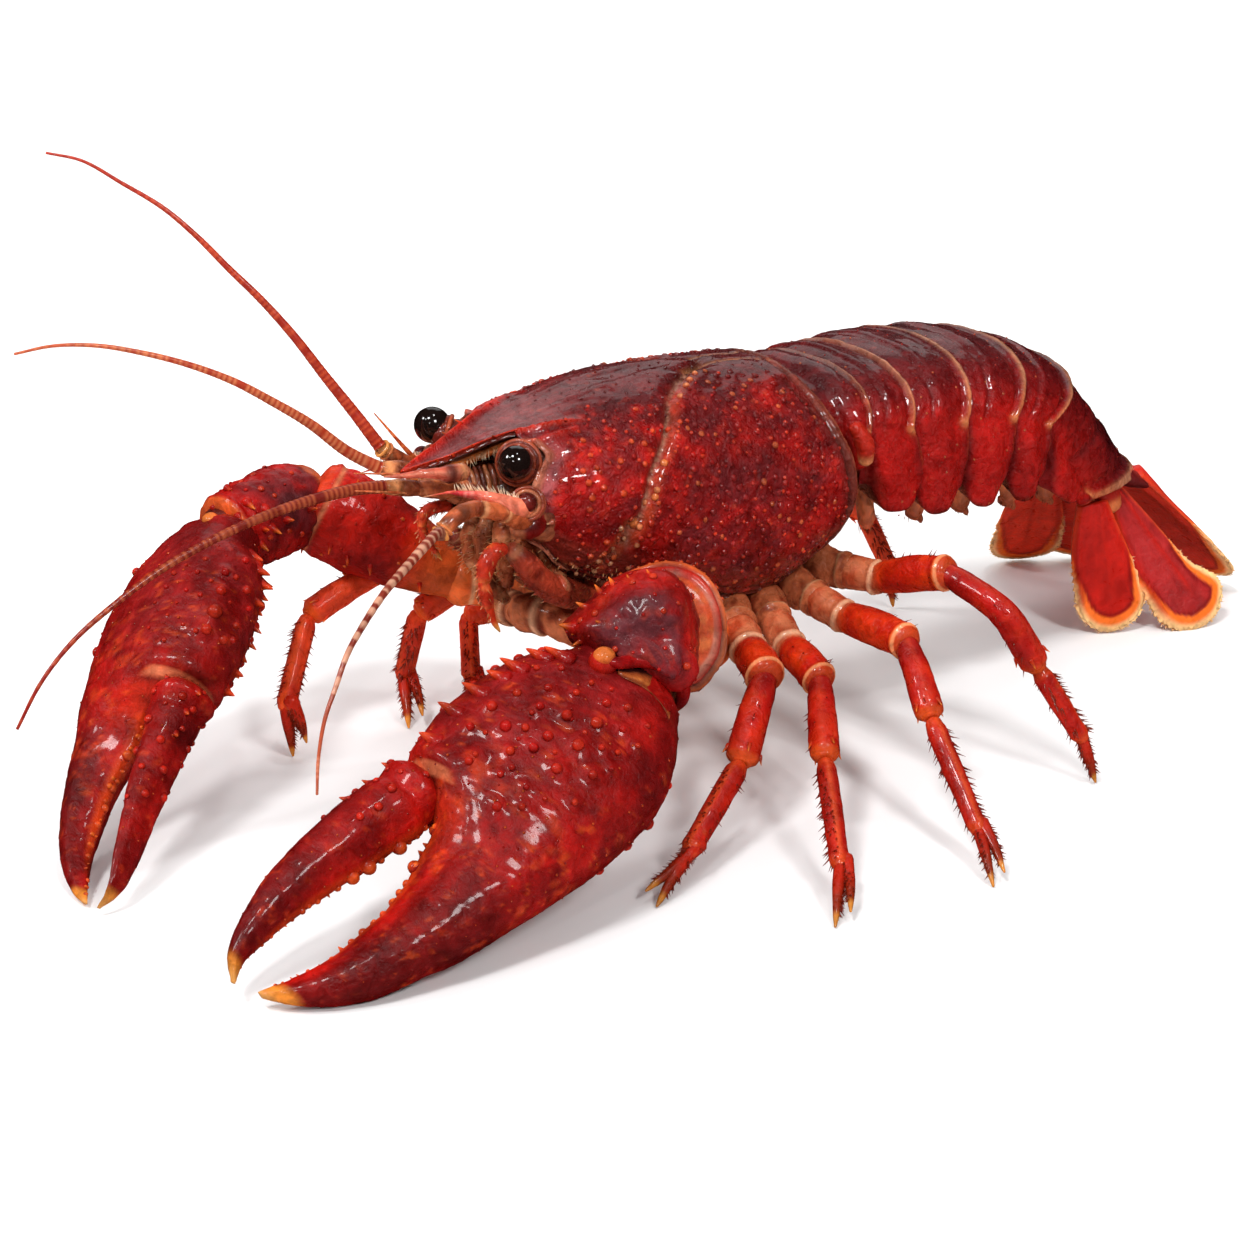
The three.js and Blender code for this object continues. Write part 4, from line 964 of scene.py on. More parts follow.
def tail_ring(k):
    """Columns run from the left plate's inner side over the back to the right plate's inner side."""
    first, last = k == 0, k == 5
    R, C = (40 if first else 70 if last else 56), 230
    ts = np.linspace(-0.16 if not first else -0.9, 1.0, R)
    if first:
        ts = np.linspace(-1.6, 1.0, R)
    a = np.linspace(-1, 1, C)          # -1 right inner, 1 left inner
    s = np.abs(a)
    sg = np.where(a >= 0, 1.0, -1.0)
    s_h, s_t = 0.52, 0.82              # hinge line, plate tip
    G = np.empty((R, C, 3))
    tt = np.empty((R, C))
    for i, t in enumerate(ts):
        v = ring_plane(k, t)
        tc = np.clip(t, 0, 1)
        # cross profile along the ring: tucked in front, full towards the rear
        tuck = 1 - 0.075 * smooth(0.10, -0.10, t) - 0.012 * smooth(0.5, 0.1, t)
        w = v[5] * tuck + 0.28 * math.sin(math.pi * tc) - 0.0
        yw = math.radians(v[6])
        side = np.array([math.cos(yw), -math.sin(yw), 0.0])
        hinge = np.array([v[0], v[1], v[2]])
        rise = np.array([0, v[3] - v[1], (v[4] - v[2]) * (1 - 0.09 * smooth(0.10, -0.10, t)) + 0.58 * math.sin(math.pi * tc)])
        ang = np.clip(s / s_h, 0, 1) * math.pi / 2
        c_, q_ = np.sin(ang), np.cos(ang)
        top = hinge + (sg * w * np.abs(c_) ** 0.88)[:, None] * side + (np.abs(q_) ** 0.92)[:, None] * rise
        # plate: from the hinge line down to its lower edge
        if first:
            span, tz0 = 3.4, PLATE_TIP[0][1]
            low_z = tz0 + 2.2 * abs(t - 0.2) ** 2
            low_y = PLATE_TIP[0][0] + (t - 0.35) * 2.2
        elif last:
            low_z = PLATE_TIP[5][1] + (0.5 - t) * 3.4 + 0.4
            low_y = PLATE_TIP[5][0] + (t - 0.5) * 7.4
        else:
            u_ = (tc - 0.52) / 0.52
            low_z = PLATE_TIP[k][1] + 4.2 * (abs(u_) ** 3.2) * (0.75 if u_ < 0 else 1.0) - 0.15
            low_y = PLATE_TIP[k][0] + (t - 0.50) * (6.3 if k < 4 else 6.0) - (0.7 if k < 3 else 0.2)
        edge = np.array([v[0], low_y, low_z]) + (sg * w * 0.955)[:, None] * np.array([side[0], side[1], 0])
        hl = hinge + (sg * w)[:, None] * side
        f = np.clip((s - s_h) / (s_t - s_h), 0, 1)
        bulge = 0.35 * np.sin(np.pi * f)
        pl = hl + (edge - hl) * f[:, None] + (sg * bulge)[:, None] * side
        # inner side: back up under the belly
        g = np.clip((s - s_t) / (1 - s_t), 0, 1)
        belly_z = low_z + (1.2 if last else 3.2 if not first else 2.0) * g + 0.0
        belly = np.stack([v[0] + sg * w * (0.955 - 0.10 * smooth(0, 0.15, g) - 0.845 * np.clip(g, 0, 1) ** 1.6) * side[0],
                          low_y + (v[1] - low_y) * g * 0.6 + sg * w * (0.955 - 0.10 * smooth(0, 0.15, g) - 0.845 * np.clip(g, 0, 1) ** 1.6) * side[1],
                          belly_z], 1)
        G[i] = np.where((s <= s_h)[:, None], top, np.where((s <= s_t)[:, None], pl, belly))
        tt[i] = t
    P = G
    N = normals(P, False)
    mid = P.mean(axis=(1), keepdims=True)
    if np.sum(N * (P - mid)) < 0:
        N = -N
    ss = np.broadcast_to(s, (R, C))
    onback = smooth(s_h + 0.02, s_h - 0.05, ss)
    plate = smooth(s_h - 0.01, s_h + 0.05, ss) * smooth(s_t + 0.02, s_t - 0.01, ss)
    out = smooth(s_t + 0.01, s_t - 0.01, ss)
    h = np.zeros((R, C))
    h += 0.36 * smooth(0.895, 0.945, tt) * out - 0.18 * bell(tt - 0.885, 0.02) * onback       # thick rear edge
    crease_t = 0.34 if k in (1, 2, 3, 4) else 0.5
    wav = 0.03 * noise(P, 0.5, 60 + k)
    if not first:
        h += -0.22 * bell(tt - crease_t + wav, 0.030) * onback + 0.14 * bell(tt - crease_t - 0.10, 0.07) * onback
    h += -0.14 * bell(tt - 0.86 + wav * 0.6, 0.030) * onback
    # plate: raised middle, lower front flap
    h += 0.20 * bell(tt - 0.55, 0.25) * plate + 0.06 * fbm(P, 1.0, 66 + k) * plate
    h += -0.06 * bell(ss - s_h, 0.020) * smooth(0.05, 0.2, tt) * (0 if last else 1)   # faint crease along the hinge line
    h += 0.30 * bell(ss - s_h - 0.005, 0.030) * bell(tt - 0.93, 0.09) * (0 if last else 1)   # knuckle at its rear end
    h += 0.34 * smooth(0.05, 0.30, tt) * smooth(0.98, 0.60, tt) * smooth(s_h, s_h + 0.16, ss) * out
    h += (0.14 * fbm(P, 0.35, 70 + k) + 0.09 * fbm(P, 1.1, 80 + k) + 0.03 * noise(P, 2.6, 85 + k)) * out
    if last:
        h += -0.18 * bell(tt - 0.30, 0.02) * onback * 1.0                     # line 6
    P = P + N * h[..., None]
    N2 = normals(P, False)
    if np.sum(N2 * N) < 0:
        N2 = -N2
    # colour
    n1, n2 = fbm(P, 0.25, 90), fbm(P, 0.9, 95)
    top = smooth(0.50, 0.12, ss + 0.05 * n1)
    col = mixc(lin(132, 12, 10), lin(78, 14, 17), top)
    col = mixc(col, lin(150, 16, 10), smooth(0.1, 0.5, n2) * 0.4 * (1 - top * 0.6))
    col = mixc(col, lin(60, 10, 14), smooth(0.0, 0.5, -n1) * 0.5 * top)
    col = mixc(col, lin(166, 14, 8), smooth(s_h - 0.16, s_h + 0.04, ss + 0.05 * n2) * smooth(s_t + 0.02, s_t - 0.01, ss) * smooth(0.05, 0.25, tt) * smooth(1.05, 0.88, tt))
    col = mixc(col, lin(110, 10, 10), smooth(s_h - 0.02, s_h + 0.06, ss) * smooth(0.88, 0.97, tt) * 0.7)
    col = mixc(col, lin(110, 10, 10), plate * smooth(0.16, 0.05, tt) * 0.8)
    col = mixc(col, lin(104, 16, 16), bell(ss - s_t, 0.018) * 0.6)
    col = mixc(col, lin(92, 24, 24), bell(tt - crease_t + wav, 0.03) * onback * 0.5 * (0 if first else 1))
    rim = smooth(0.925, 0.950, tt)
    rim_c = mixc(lin(186, 122, 90), lin(206, 112, 70), smooth(0.25, 0.5, ss))
    col = mixc(col, rim_c, rim * onback * 0.85)
    col = mixc(col, lin(190, 70, 40), smooth(0.96, 0.99, tt) * plate * 0.35)
    col = mixc(col, lin(214, 128, 76), bell(ss - s_h - 0.005, 0.020) * bell(tt - 0.94, 0.06) * 0.85)
    col = mixc(col, lin(128, 70, 46), smooth(s_t - 0.015, s_t + 0.02, ss) * 0.85)
    pc = Piece(f"tail_ring_{k + 1}_shell")
    # rear hem and side closing
    o, i_ = P[-1], P[-5]
    n_ = N2[-1]
    outv = unit(o - i_)
    rows = np.stack([o + outv * 0.07 - n_ * 0.12, o + outv * 0.02 - n_ * 0.38, i_ - N2[-5] * 0.75])
    nn = np.stack([unit(n_ + outv), unit(outv - n_), -N2[-5]])
    cr = np.stack([col[-1], mixc(col[-1], BROWN, np.full(C, 0.6)), np.broadcast_to(DARKBROWN, (C, 4))])
    P2, N3, c2 = np.concatenate([P, rows]), np.concatenate([N2, nn]), np.concatenate([col, cr])
    # close around: the two inner borders meet under the belly
    add_tube(pc, P2, c2, cap=(False, False))
    # small points and pale flecks
    w = out * smooth(0.06, 0.2, tt) * smooth(0.93, 0.85, tt) * (0.4 + 0.6 * (1 - top))
    pts, nor, rnd = scatter(P, N2, w, 1.5, 200 + k, 160)
    r = 0.07 + 0.08 * rnd
    add_domes(pc, pts, nor, r, r * 0.8, lin(132, 18, 12), mixc(np.broadcast_to(lin(170, 40, 20), (len(pts), 4)), np.broadcast_to(TAN, (len(pts), 4)), (rnd > 0.75) * 0.8), seg=7, rings=2)
    if first:                     # knob at each side
        for sd in (1, -1):
            add_limb(pc, [[sd * 10.4, 20.9, 31.6], [sd * 11.0, 21.6, 30.0], [sd * 10.9, 21.9, 28.2]], [[0, 0.9, 0.75], [0.5, 1.15, 1.0], [1, 0.9, 0.8]],
                     lambda F, A, G: mixc(np.broadcast_to(lin(178, 34, 18), F.shape + (4,)), np.broadcast_to(lin(214, 128, 80), F.shape + (4,)), smooth(0.70, 1.0, F)), n=20, cols=22, rough=0.06)
    return pc.make([f"tail_ring_{k + 1}"], "tail_shell", M_TAIL)


def tail_core():
    """The flesh of the tail, seen between and below the plates, with the small leaf limbs under it."""
    pc = Piece("tail_underside")
    L = Line([[0, 15.0, 29.0], [0, 21.0, 28.8], [0, 28, 27.6], [0.2, 35, 26.8], [0.9, 42, 26.2], [1.9, 49, 24.0], [3.4, 56.0, 19.0], [4.6, 61.0, 16.2]])
    G, F, A, fr = limb_grid(L, [[0, 9.0, 5.0], [0.15, 9.2, 4.6], [0.4, 9.6, 4.6], [0.7, 9.0, 4.4], [0.82, 7.4, 3.8], [0.90, 5.6, 3.0], [1, 3.8, 2.0]], 110, 60, up=(0, 0, 1), power=0.9)
    N = normals(G, True)
    G = G + N * (0.25 * np.abs(np.sin(F * 6.2 * math.pi)) + 0.12 * fbm(G, 0.8, 2))[..., None]
    n1 = fbm(G, 0.7, 5)
    col = mixc(np.broadcast_to(lin(140, 70, 44), G.shape[:2] + (4,)), np.broadcast_to(lin(100, 40, 26), G.shape[:2] + (4,)), smooth(-0.3, 0.4, n1))
    col = mixc(col, lin(186, 116, 78), bell(np.sin(F * 6.2 * math.pi), 0.2) * 0.6)
    add_tube(pc, G, col)
    rng = np.random.default_rng(5)
    for kk, (yy, zz) in enumerate(((26.2, 21.3), (33.2, 20.7), (39.8, 20.1), (46.6, 19.3), (52.0, 18.8))):
        for sd in (1, -1):
            x0 = sd * (6.2 - 0.15 * kk) + 0.08 * kk * kk
            tipz = zz - 2.4
            pts = [[x0 * 0.9, yy - 0.4, zz + 2.6], [x0, yy, zz + 0.4], [x0 * 1.02, yy + 0.5, tipz]]
            add_limb(pc, pts, [[0, 1.2, 1.0], [0.5, 1.25, 0.9], [0.85, 1.35, 0.9], [1, 0.9, 0.6]],
                     lambda F, A, G: mixc(np.broadcast_to(lin(206, 108, 62), F.shape + (4,)), np.broadcast_to(lin(176, 78, 44), F.shape + (4,)), smooth(0.5, 1.0, F)), n=26, cols=20, rough=0.1, seed=kk)
            for m in range(2):
                q = [[x0 + sd * (0.3 - 0.9 * m), yy + 0.4, tipz + 0.3], [x0 + sd * (0.5 - 1.4 * m), yy + 1.1, tipz - 1.3], [x0 + sd * (0.5 - 1.6 * m), yy + 1.9, tipz - 2.3]]
                if kk > 0:
                    add_limb(pc, [q[0], (np.array(q[0]) * 0.4 + np.array(q[1]) * 0.6).tolist()], [[0, 0.7, 0.4], [0.6, 0.8, 0.35], [1, 0.4, 0.2]], lin(166, 76, 40), n=14, cols=14, rough=0.05, seed=9)
            bc = np.array([[x0 + rng.uniform(-0.8, 0.8), yy + rng.uniform(-0.3, 0.9), tipz + rng.uniform(-0.5, 0.3)] for _ in range(9)])
            add_horns(pc, bc, np.array([0, 0.2, -1.0]) + rng.normal(0, 0.25, (9, 3)), 0.06, rng.uniform(0.4, 0.9, 9), lin(120, 50, 26), lin(150, 90, 50), seg=4, rings=2)
    return pc.make([], "underside_skin", M_SKIN)


# ================================================================== tail fan


def fan_plate(name, nodes, base, tip, outline, side, thick=0.5, cup=0.5, ribs=(), seed=1, centre_col=None, blade=None):
    """A thin blade with a raised rib or two, an orange band and a fringed rim.
    outline rows: fraction along, left half width, right half width."""
    pc = Piece(name)
    b, t = np.array(base, float), np.array(tip, float)
    d = t - b
    L = np.linalg.norm(d)
    d = d / L
    s = np.array(side, float)
    s = unit(s - (s @ d) * d)
    n = np.cross(d, s)
    if n[2] < 0 and abs(n[2]) > 0.05:
        n = -n
    o = np.array(outline, float)
    R, C = 120, 96
    u = 1 - (1 - np.linspace(0, 1, R)) ** 1.35
    wl, wr = pchip(o[:, 0], o[:, 1], u), pchip(o[:, 0], o[:, 2], u)
    round_ = np.sqrt(np.clip(1 - (np.clip(u - 0.74, 0, 1) / 0.26) ** 2.3, 0, 1))
    wl, wr = wl * round_ + 0.05, wr * round_ + 0.05
    v = np.sin(np.linspace(-1, 1, C) * math.pi / 2)          # finer towards the rims
    V, U = np.meshgrid(v, u)
    W = np.where(V >= 0, wl[:, None], wr[:, None])
    # fringe: fine teeth round the far rim
    rng = np.random.default_rng(seed)
    op = np.concatenate([np.stack([u * L, wl], 1), np.stack([u * L, -wr], 1)[::-1]])
    flat_ = np.stack([U * L, V * W], -1).reshape(-1, 2)
    rim_d = np.sqrt(((flat_[:, None] - op[None]) ** 2).sum(-1)).min(1).reshape(R, C)
    rim_d = np.minimum(rim_d, (1 - np.abs(V)) * np.abs(W) + 0.02)
    far = smooth(0.35, 0.62, U)
    X = b + d * (U * L)[..., None] + s * (V * W)[..., None]
    tang = np.arctan2((U - 0.6) * L, V * np.maximum(np.abs(W), 0.4))
    teeth = 0.16 * np.sign(np.sin(tang * 150)) * np.abs(np.sin(tang * 150)) ** 0.6 + 0.10 * noise(X, 3.0, seed)
    outd = unit(d * ((U - 0.45) * 1.6)[..., None] + s * V[..., None])
    edge_f = smooth(0.55, 0.05, rim_d)
    X = X + outd * (teeth * edge_f * far)[..., None]
    cupz = -cup * (V * W / max(wl.max(), wr.max())) ** 2
    X = X + n * cupz[..., None]
    h = np.zeros((R, C))
    rib_m = np.zeros((R, C))
    for vv, ww, hh, u1 in ribs:
        m = bell((V - vv * (1 - 0.0 * U)) * np.abs(W), ww) * smooth(u1 + 0.08, u1 - 0.10, U)
        h += hh * m
        rib_m = np.maximum(rib_m, m)
    rays = np.sin(np.arctan2(V * W, U * L + 3.0) * 46 + 0.6 * noise(X, 0.5, seed + 3))
    h += 0.035 * rays * smooth(0.1, 0.4, U) + 0.05 * fbm(X, 0.8, seed + 5)
    half = thick / 2 * (0.35 + 0.65 * smooth(0.0, 1.0, rim_d)) * (1 + 0.9 * smooth(0.35, 0.0, U))
    up, dn = X + n * (half + h)[..., None], X - n * (half * 0.9)[..., None]
    # colour, by distance from the rim
    n1 = fbm(X, 0.6, seed + 9)
    cc = lin(158, 16, 10) if centre_col is None else centre_col
    col = np.broadcast_to(cc, (R, C, 4)).copy()
    col = mixc(col, cc * np.array([0.62, 0.6, 0.6, 1]), smooth(-0.1, 0.5, n1) * 0.6)
    col = mixc(col, cc * np.array([1.25, 1.5, 1.3, 1]), smooth(0.2, 0.9, rays) * 0.22)
    wband = 0.14 + 1.45 * smooth(0.40, 0.86, U) + 0.10 * noise(X, 1.2, seed + 21)
    col = mixc(col, lin(112, 8, 8), bell(rim_d - wband - 0.22, 0.20) * far * 0.75)
    col = mixc(col, lin(244, 112, 34), smooth(wband + 0.06, wband - 0.22, rim_d) * smooth(0.25, 0.5, U))
    col = mixc(col, lin(255, 204, 140), smooth(wband * 0.60, wband * 0.20, rim_d) * smooth(0.4, 0.7, U) * 0.95)
    col = mixc(col, lin(176, 22, 12), rib_m * 0.75 * smooth(0.95, 0.7, U))
    col = mixc(col, lin(200, 60, 22), smooth(0.5, 0.1, rim_d) * smooth(0.5, 0.2, U) * 0.5)
    G = np.concatenate([up, dn[:, ::-1]], axis=1)
    K = np.concatenate([col, mixc(col, lin(190, 70, 40), np.full((R, C), 0.25))[:, ::-1]], axis=1)
    add_tube(pc, G, K)
    # hair fringe round the far rim
    sel = (edge_f > 0.6) & (U > 0.45)
    ii, jj = np.nonzero(sel)
    if len(ii):
        pick = rng.choice(len(ii), size=min(170, len(ii)), replace=False)
        c = X[ii[pick], jj[pick]]
        dd = outd[ii[pick], jj[pick]] + rng.normal(0, 0.12, (len(pick), 3))
        add_horns(pc, c, dd, 0.055, rng.uniform(0.25, 0.5, len(pick)), lin(246, 176, 104), lin(254, 226, 180), seg=4, rings=2)
    return pc


def tail_fan():
    out = []
    # the telson's bright centre colour is painted light lifting the shade it lies in
    tel = fan_plate("telson_blade", None, [4.9, 66.9, 15.6], [8.9, 80.1, 1.5],
                    [[0, 3.0, 3.2], [0.25, 3.7, 3.7], [0.55, 4.3, 4.1], [0.8, 4.2, 4.1], [1, 4.0, 4.0]], [0.80, -0.30, 0.52], thick=1.1, cup=0.6,
                    ribs=((0.55, 0.4, 0.22, 0.62), (-0.55, 0.4, 0.22, 0.62)), seed=11, centre_col=lin(212, 40, 30))
    out.append(tel.make(["telson"], "fan_blade", M_FAN))
    li = fan_plate("uropod_left_inner_blade", None, [7.4, 62.6, 15.2], [16.4, 69.9, 0.7],
                   [[0, 0.9, 1.3], [0.18, 1.3, 2.6], [0.33, 1.6, 3.5], [0.55, 1.95, 4.3], [0.66, 2.4, 4.6], [0.76, 3.4, 4.8], [0.82, 4.1, 4.8], [0.9, 4.6, 4.8], [1, 4.6, 4.8]], [0.0, 0.86, 0.5], thick=0.9, cup=0.5,
                   ribs=((-0.86, 0.42, 0.45, 0.85), (0.0, 0.30, 0.22, 0.8)), seed=12, centre_col=lin(160, 34, 34))
    out.append(li.make(["uropod_left_inner"], "fan_blade", M_FAN))
    lo = fan_plate("uropod_left_outer_blade", None, [8.6, 58.6, 15.0], [11.3, 59.8, 0.4],
                   [[0, 1.2, 2.1], [0.2, 2.0, 3.0], [0.36, 2.7, 3.45], [0.55, 3.4, 3.65], [0.72, 4.0, 3.7], [0.84, 4.3, 3.6], [1, 4.3, 3.4]], [0.45, 0.88, 0.1], thick=0.9, cup=0.45,
                   ribs=((-0.86, 0.38, 0.45, 0.8), (0.0, 0.28, 0.20, 0.8)), seed=13, centre_col=lin(182, 20, 9))
    out.append(lo.make(["uropod_left_outer"], "fan_blade", M_FAN))
    ri = fan_plate("uropod_right_inner_blade", None, [2.0, 64.6, 15.0], [-7.7, 72.8, 0.8],
                   [[0, 1.4, 1.4], [0.2, 2.4, 2.4], [0.45, 3.7, 3.6], [0.68, 4.3, 4.3], [0.84, 4.4, 4.4], [1, 4.3, 4.3]], [0.75, 0.6, 0.0], thick=0.9, cup=0.5,
                   ribs=((0.86, 0.38, 0.4, 0.8), (0.0, 0.28, 0.20, 0.8)), seed=14, centre_col=lin(214, 40, 28))
    out.append(ri.make(["uropod_right_inner"], "fan_blade", M_FAN))
    # this blade's bright centre colour is painted light lifting the shade it lies in
    ro = fan_plate("uropod_right_outer_blade", None, [-1.0, 59.6, 15.0], [-11.3, 67.9, 0.4],
                   [[0, 1.8, 1.8], [0.3, 3.2, 3.2], [0.6, 3.9, 3.8], [0.8, 4.1, 4.0], [1, 4.1, 4.0]], [0.5, 0.85, -0.05], thick=0.9, cup=0.5,
                   ribs=((0.86, 0.38, 0.4, 0.8), (0.0, 0.28, 0.20, 0.8)), seed=15, centre_col=lin(232, 54, 36))
    out.append(ro.make(["uropod_right_outer"], "fan_blade", M_FAN))
    # short stems that carry the blades
    pc = Piece("tail_fan_stems")
    red = lambda F, A, G: mixc(np.broadcast_to(lin(150, 24, 14), F.shape + (4,)), np.broadcast_to(lin(200, 110, 60), F.shape + (4,)), np.maximum(smooth(0.8, 1.0, F), smooth(0.15, 0.0, F)) * 0.8)
    add_limb(pc, [[5.6, 59.6, 17.2], [7.4, 60.8, 15.9], [8.4, 61.2, 14.0]], [[0, 1.8, 1.4], [0.5, 2.2, 1.6], [1, 1.9, 1.2]], red, n=30, cols=26, rough=0.1)
    add_limb(pc, [[3.4, 61.6, 17.0], [1.6, 63.2, 15.8], [0.2, 63.8, 14.4]], [[0, 1.8, 1.4], [0.5, 2.2, 1.6], [1, 1.9, 1.2]], red, n=30, cols=26, rough=0.1)
    add_limb(pc, [[4.2, 60.0, 17.0], [4.8, 64.2, 16.4], [5.2, 67.8, 14.9]], [[0, 3.8, 1.4], [0.6, 3.6, 1.3], [1, 3.2, 0.9]], lin(92, 20, 20), n=30, cols=30, rough=0.1)
    out.append(pc.make([], "fan_blade", M_FAN))
    return out


def at_pixel(px, py, depth):
    """The point seen at a place in the picture, at a distance along BACK."""
    d = unit(-BACK * FOCAL + RIGHT * (px - FRAME / 2) + UP * (FRAME / 2 - py))
    return EYE_POINT + d * ((depth - EYE_POINT @ BACK) / (d @ BACK))


def lump_grid(px, py, depth, outline, front, back, power, R=110, C=180):
    """A rounded body whose outline towards the viewer is given; power holds a number or (angle, power) rows."""
    c = at_pixel(px, py, depth)
    o = np.array([at_pixel(a, b, depth) for a, b in outline]) - c
    ra, rb = o @ RIGHT, o @ UP
    an, ro = np.degrees(np.arctan2(rb, ra)) % 360, np.hypot(ra, rb)
    k = np.argsort(an)
    an, ro = an[k], ro[k]
    an3, ro3 = np.r_[an - 360, an, an + 360], np.r_[ro, ro, ro]
    A = np.linspace(0, 360, C, endpoint=False)
    rho = herm(an3, ro3, A)
    if isinstance(power, (int, float)):
        pw = np.full(C, float(power))
    else:
        q = np.array(power, float)
        pw = np.interp(A, q[:, 0], q[:, 1], period=360)
    ph = np.linspace(-math.pi / 2 + 0.03, math.pi / 2 - 0.03, R)
    T = np.where(np.sin(ph) > 0, front, back)
    dirs = np.cos(np.radians(A))[:, None] * RIGHT + np.sin(np.radians(A))[:, None] * UP
    G = c + (T * np.sin(ph))[:, None, None] * BACK + (np.cos(ph)[:, None] ** pw * rho)[..., None] * dirs
    return G, np.broadcast_to(np.degrees(ph)[:, None], G.shape[:2]), np.broadcast_to(A, G.shape[:2])


# ================================================================== claws
CLAW = {
    "left": dict(J=[[8.6, 0.6, 14.0], [12.4, 0.2, 14.2], [20.3, -7.4, 20.1], [20.2, -16.75, 18.65], [26.7, -59.6, 2.5]], inner=[-0.815, -0.299, 0.497]),
    "right": dict(J=[[-8.6, 0.2, 14.0], [-14.0, -10.4, 15.4], [-25.0, -22.0, 23.6], [-23.0, -32.6, 22.6], [-0.9, -62.9, 0.9]], inner=[0.855, 0.315, 0.411]),
}
P_OUT = [[-3.2, -1.5], [-2.4, -3.8], [0, -6.6], [2.5, -8.9], [4.6, -10.2], [8.3, -11.8], [13, -12.3], [17.5, -12.0], [25.4, -10.8], [30.8, -9.7], [35.7, -8.2], [39.5, -6.8], [42.8, -4.7], [44.9, -2.6], [46.3, -0.3]]
P_IN = [[-3.2, 1.5], [-2.4, 2.4], [0, 3.4], [3.0, 4.3], [5.3, 6.0], [8, 7.1], [12.4, 7.7], [15.8, 7.8], [19.4, 7.2], [21.0, 6.4], [22.6, 3.4], [24.6, 0.5], [28.2, -0.9], [30.4, -1.6], [34.5, -2.1], [38.6, -2.0], [43.0, -1.0], [46.3, 0.35]]
P_H = [[-3.2, 0.5], [-2.4, 2.0], [0, 3.0], [3.5, 4.6], [8, 5.5], [13, 5.8], [18, 5.5], [22, 4.8], [25, 4.2], [28, 3.8], [32, 3.3], [36.5, 2.7], [41, 1.9], [44.2, 1.1], [46.3, 0.2]]
D_OUT = [[21.4, 5.2], [22.4, 6.7], [25, 7.3], [30.9, 7.7], [37.3, 7.4], [42.5, 6.1], [45.6, 4.6], [47.1, 2.7]]
D_IN = [[21.4, 3.4], [22.7, 1.7], [25.3, 0.8], [29, 1.3], [33.2, 2.0], [36.5, 2.6], [40, 3.0], [44.7, 3.2], [47.1, 2.3]]
D_H = [[21.4, 1.2], [22.4, 2.6], [25.3, 3.1], [29.5, 3.05], [34, 2.7], [38.5, 2.25], [42.5, 1.65], [45.6, 0.95], [47.1, 0.15]]


def claw_axes(side):
    J, e = CLAW[side]["J"], np.array(CLAW[side]["inner"], float)
    w, t = np.array(J[3], float), np.array(J[4], float)
    d = t - w
    k = np.linalg.norm(d) / 46.0
    d = unit(d)
    e = unit(e - (e @ d) * d)
    n = np.cross(d, e)
    if n[2] < 0:
        n = -n
    return w, d, e, n, k


def claw_grid(side, outer, inner, half, R, C, s_from, s_to, finger):
    w, d, e, n, k = claw_axes(side)
    x = np.linspace(0, 1, R)
    s = s_from + (s_to - s_from) * (x + 0.10 * np.sin(2 * np.pi * x) / (2 * np.pi) * 0)
    o, q, h = table(outer, 1, s), table(inner, 1, s), table(half, 1, s)
    if side == "right":
        part = np.sin(np.pi * np.clip((s - 23.0) / 23.5, 0, 1))
        o, q = o * 0.88 + 1.0, q * 0.88 + 1.0
        if finger:
            o, q = o - 1.9 * part, q - 1.35 * part
        else:
            q = q - 0.75 * part
    elif not finger:
        o = o * 1.03
    ang = np.linspace(0, 2 * np.pi, C, endpoint=False)
    c, z = np.cos(ang), np.sin(ang)
    # section: rounded outside, sharper along the cutting edge of the fingers
    fing = smooth(23.5, 28.0, s)[:, None]
    cin = np.sign(c) * np.abs(c) ** 0.85
    mid, hw = (o + q)[:, None] / 2, (q - o)[:, None] / 2
    zz = np.sign(z) * np.abs(z) ** 0.92
    pinch = 1 - 0.50 * fing * np.clip(cin, 0, 1) ** 1.5          # the cutting edge is sharper
    if side == "right":
        pinch = pinch * (1 - 0.16 * fing)
    E = mid + hw * cin
    H = h[:, None] * zz * pinch
    bow = np.where(s > 24, -0.0018 * (s - 24) ** 2, 0)[:, None]
    P = w + d * (s * k)[:, None, None] + e * (E * k)[..., None] + n * ((H + bow) * k)[..., None]
    return P, np.broadcast_to(s[:, None], E.shape), np.broadcast_to(ang, E.shape), (w, d, e, n, k)


NEAR_KNOBS = [(965, 500, 14), (1045, 527, 18), (1135, 550, 20), (990, 590, 18), (1080, 618, 20), (945, 625, 16), (1015, 688, 18), (875, 635, 15), (845, 705, 12), (920, 565, 14), (860, 560, 20),
              (820, 500, 18), (895, 460, 15), (990, 445, 14), (1075, 460, 12), (755, 562, 14), (750, 665, 14), (770, 645, 10), (835, 803, 16), (910, 803, 12), (925, 745, 10), (1125, 708, 16),
              (1070, 790, 12), (1165, 490, 15), (1230, 505, 14), (1215, 570, 12), (1150, 625, 12), (1260, 620, 10), (880, 685, 10), (800, 580, 9), (1180, 690, 10), (980, 780, 9), (1200, 640, 10),
              (1030, 385, 12), (955, 385, 11), (1060, 540, 8), (1290, 560, 9), (1120, 430, 10), (1180, 450, 9), (1010, 640, 9), (900, 600, 8), (940, 520, 9), (1100, 580, 9)]
FAR_KNOBS = [(625, 422, 16), (612, 482, 20), (592, 548, 28), (535, 422, 10), (565, 605, 20), (690, 385, 14), (695, 480, 18), (660, 595, 14), (545, 495, 10), (460, 425, 10), (435, 470, 10), (490, 590, 8),
             (620, 640, 18), (650, 640, 14), (530, 610, 10), (500, 480, 8), (400, 520, 7), (440, 560, 7), (380, 600, 7), (430, 640, 9), (350, 650, 6), (470, 520, 6), (560, 380, 9), (500, 400, 7),
             (660, 440, 12), (700, 540, 12), (640, 520, 8), (580, 450, 8)]
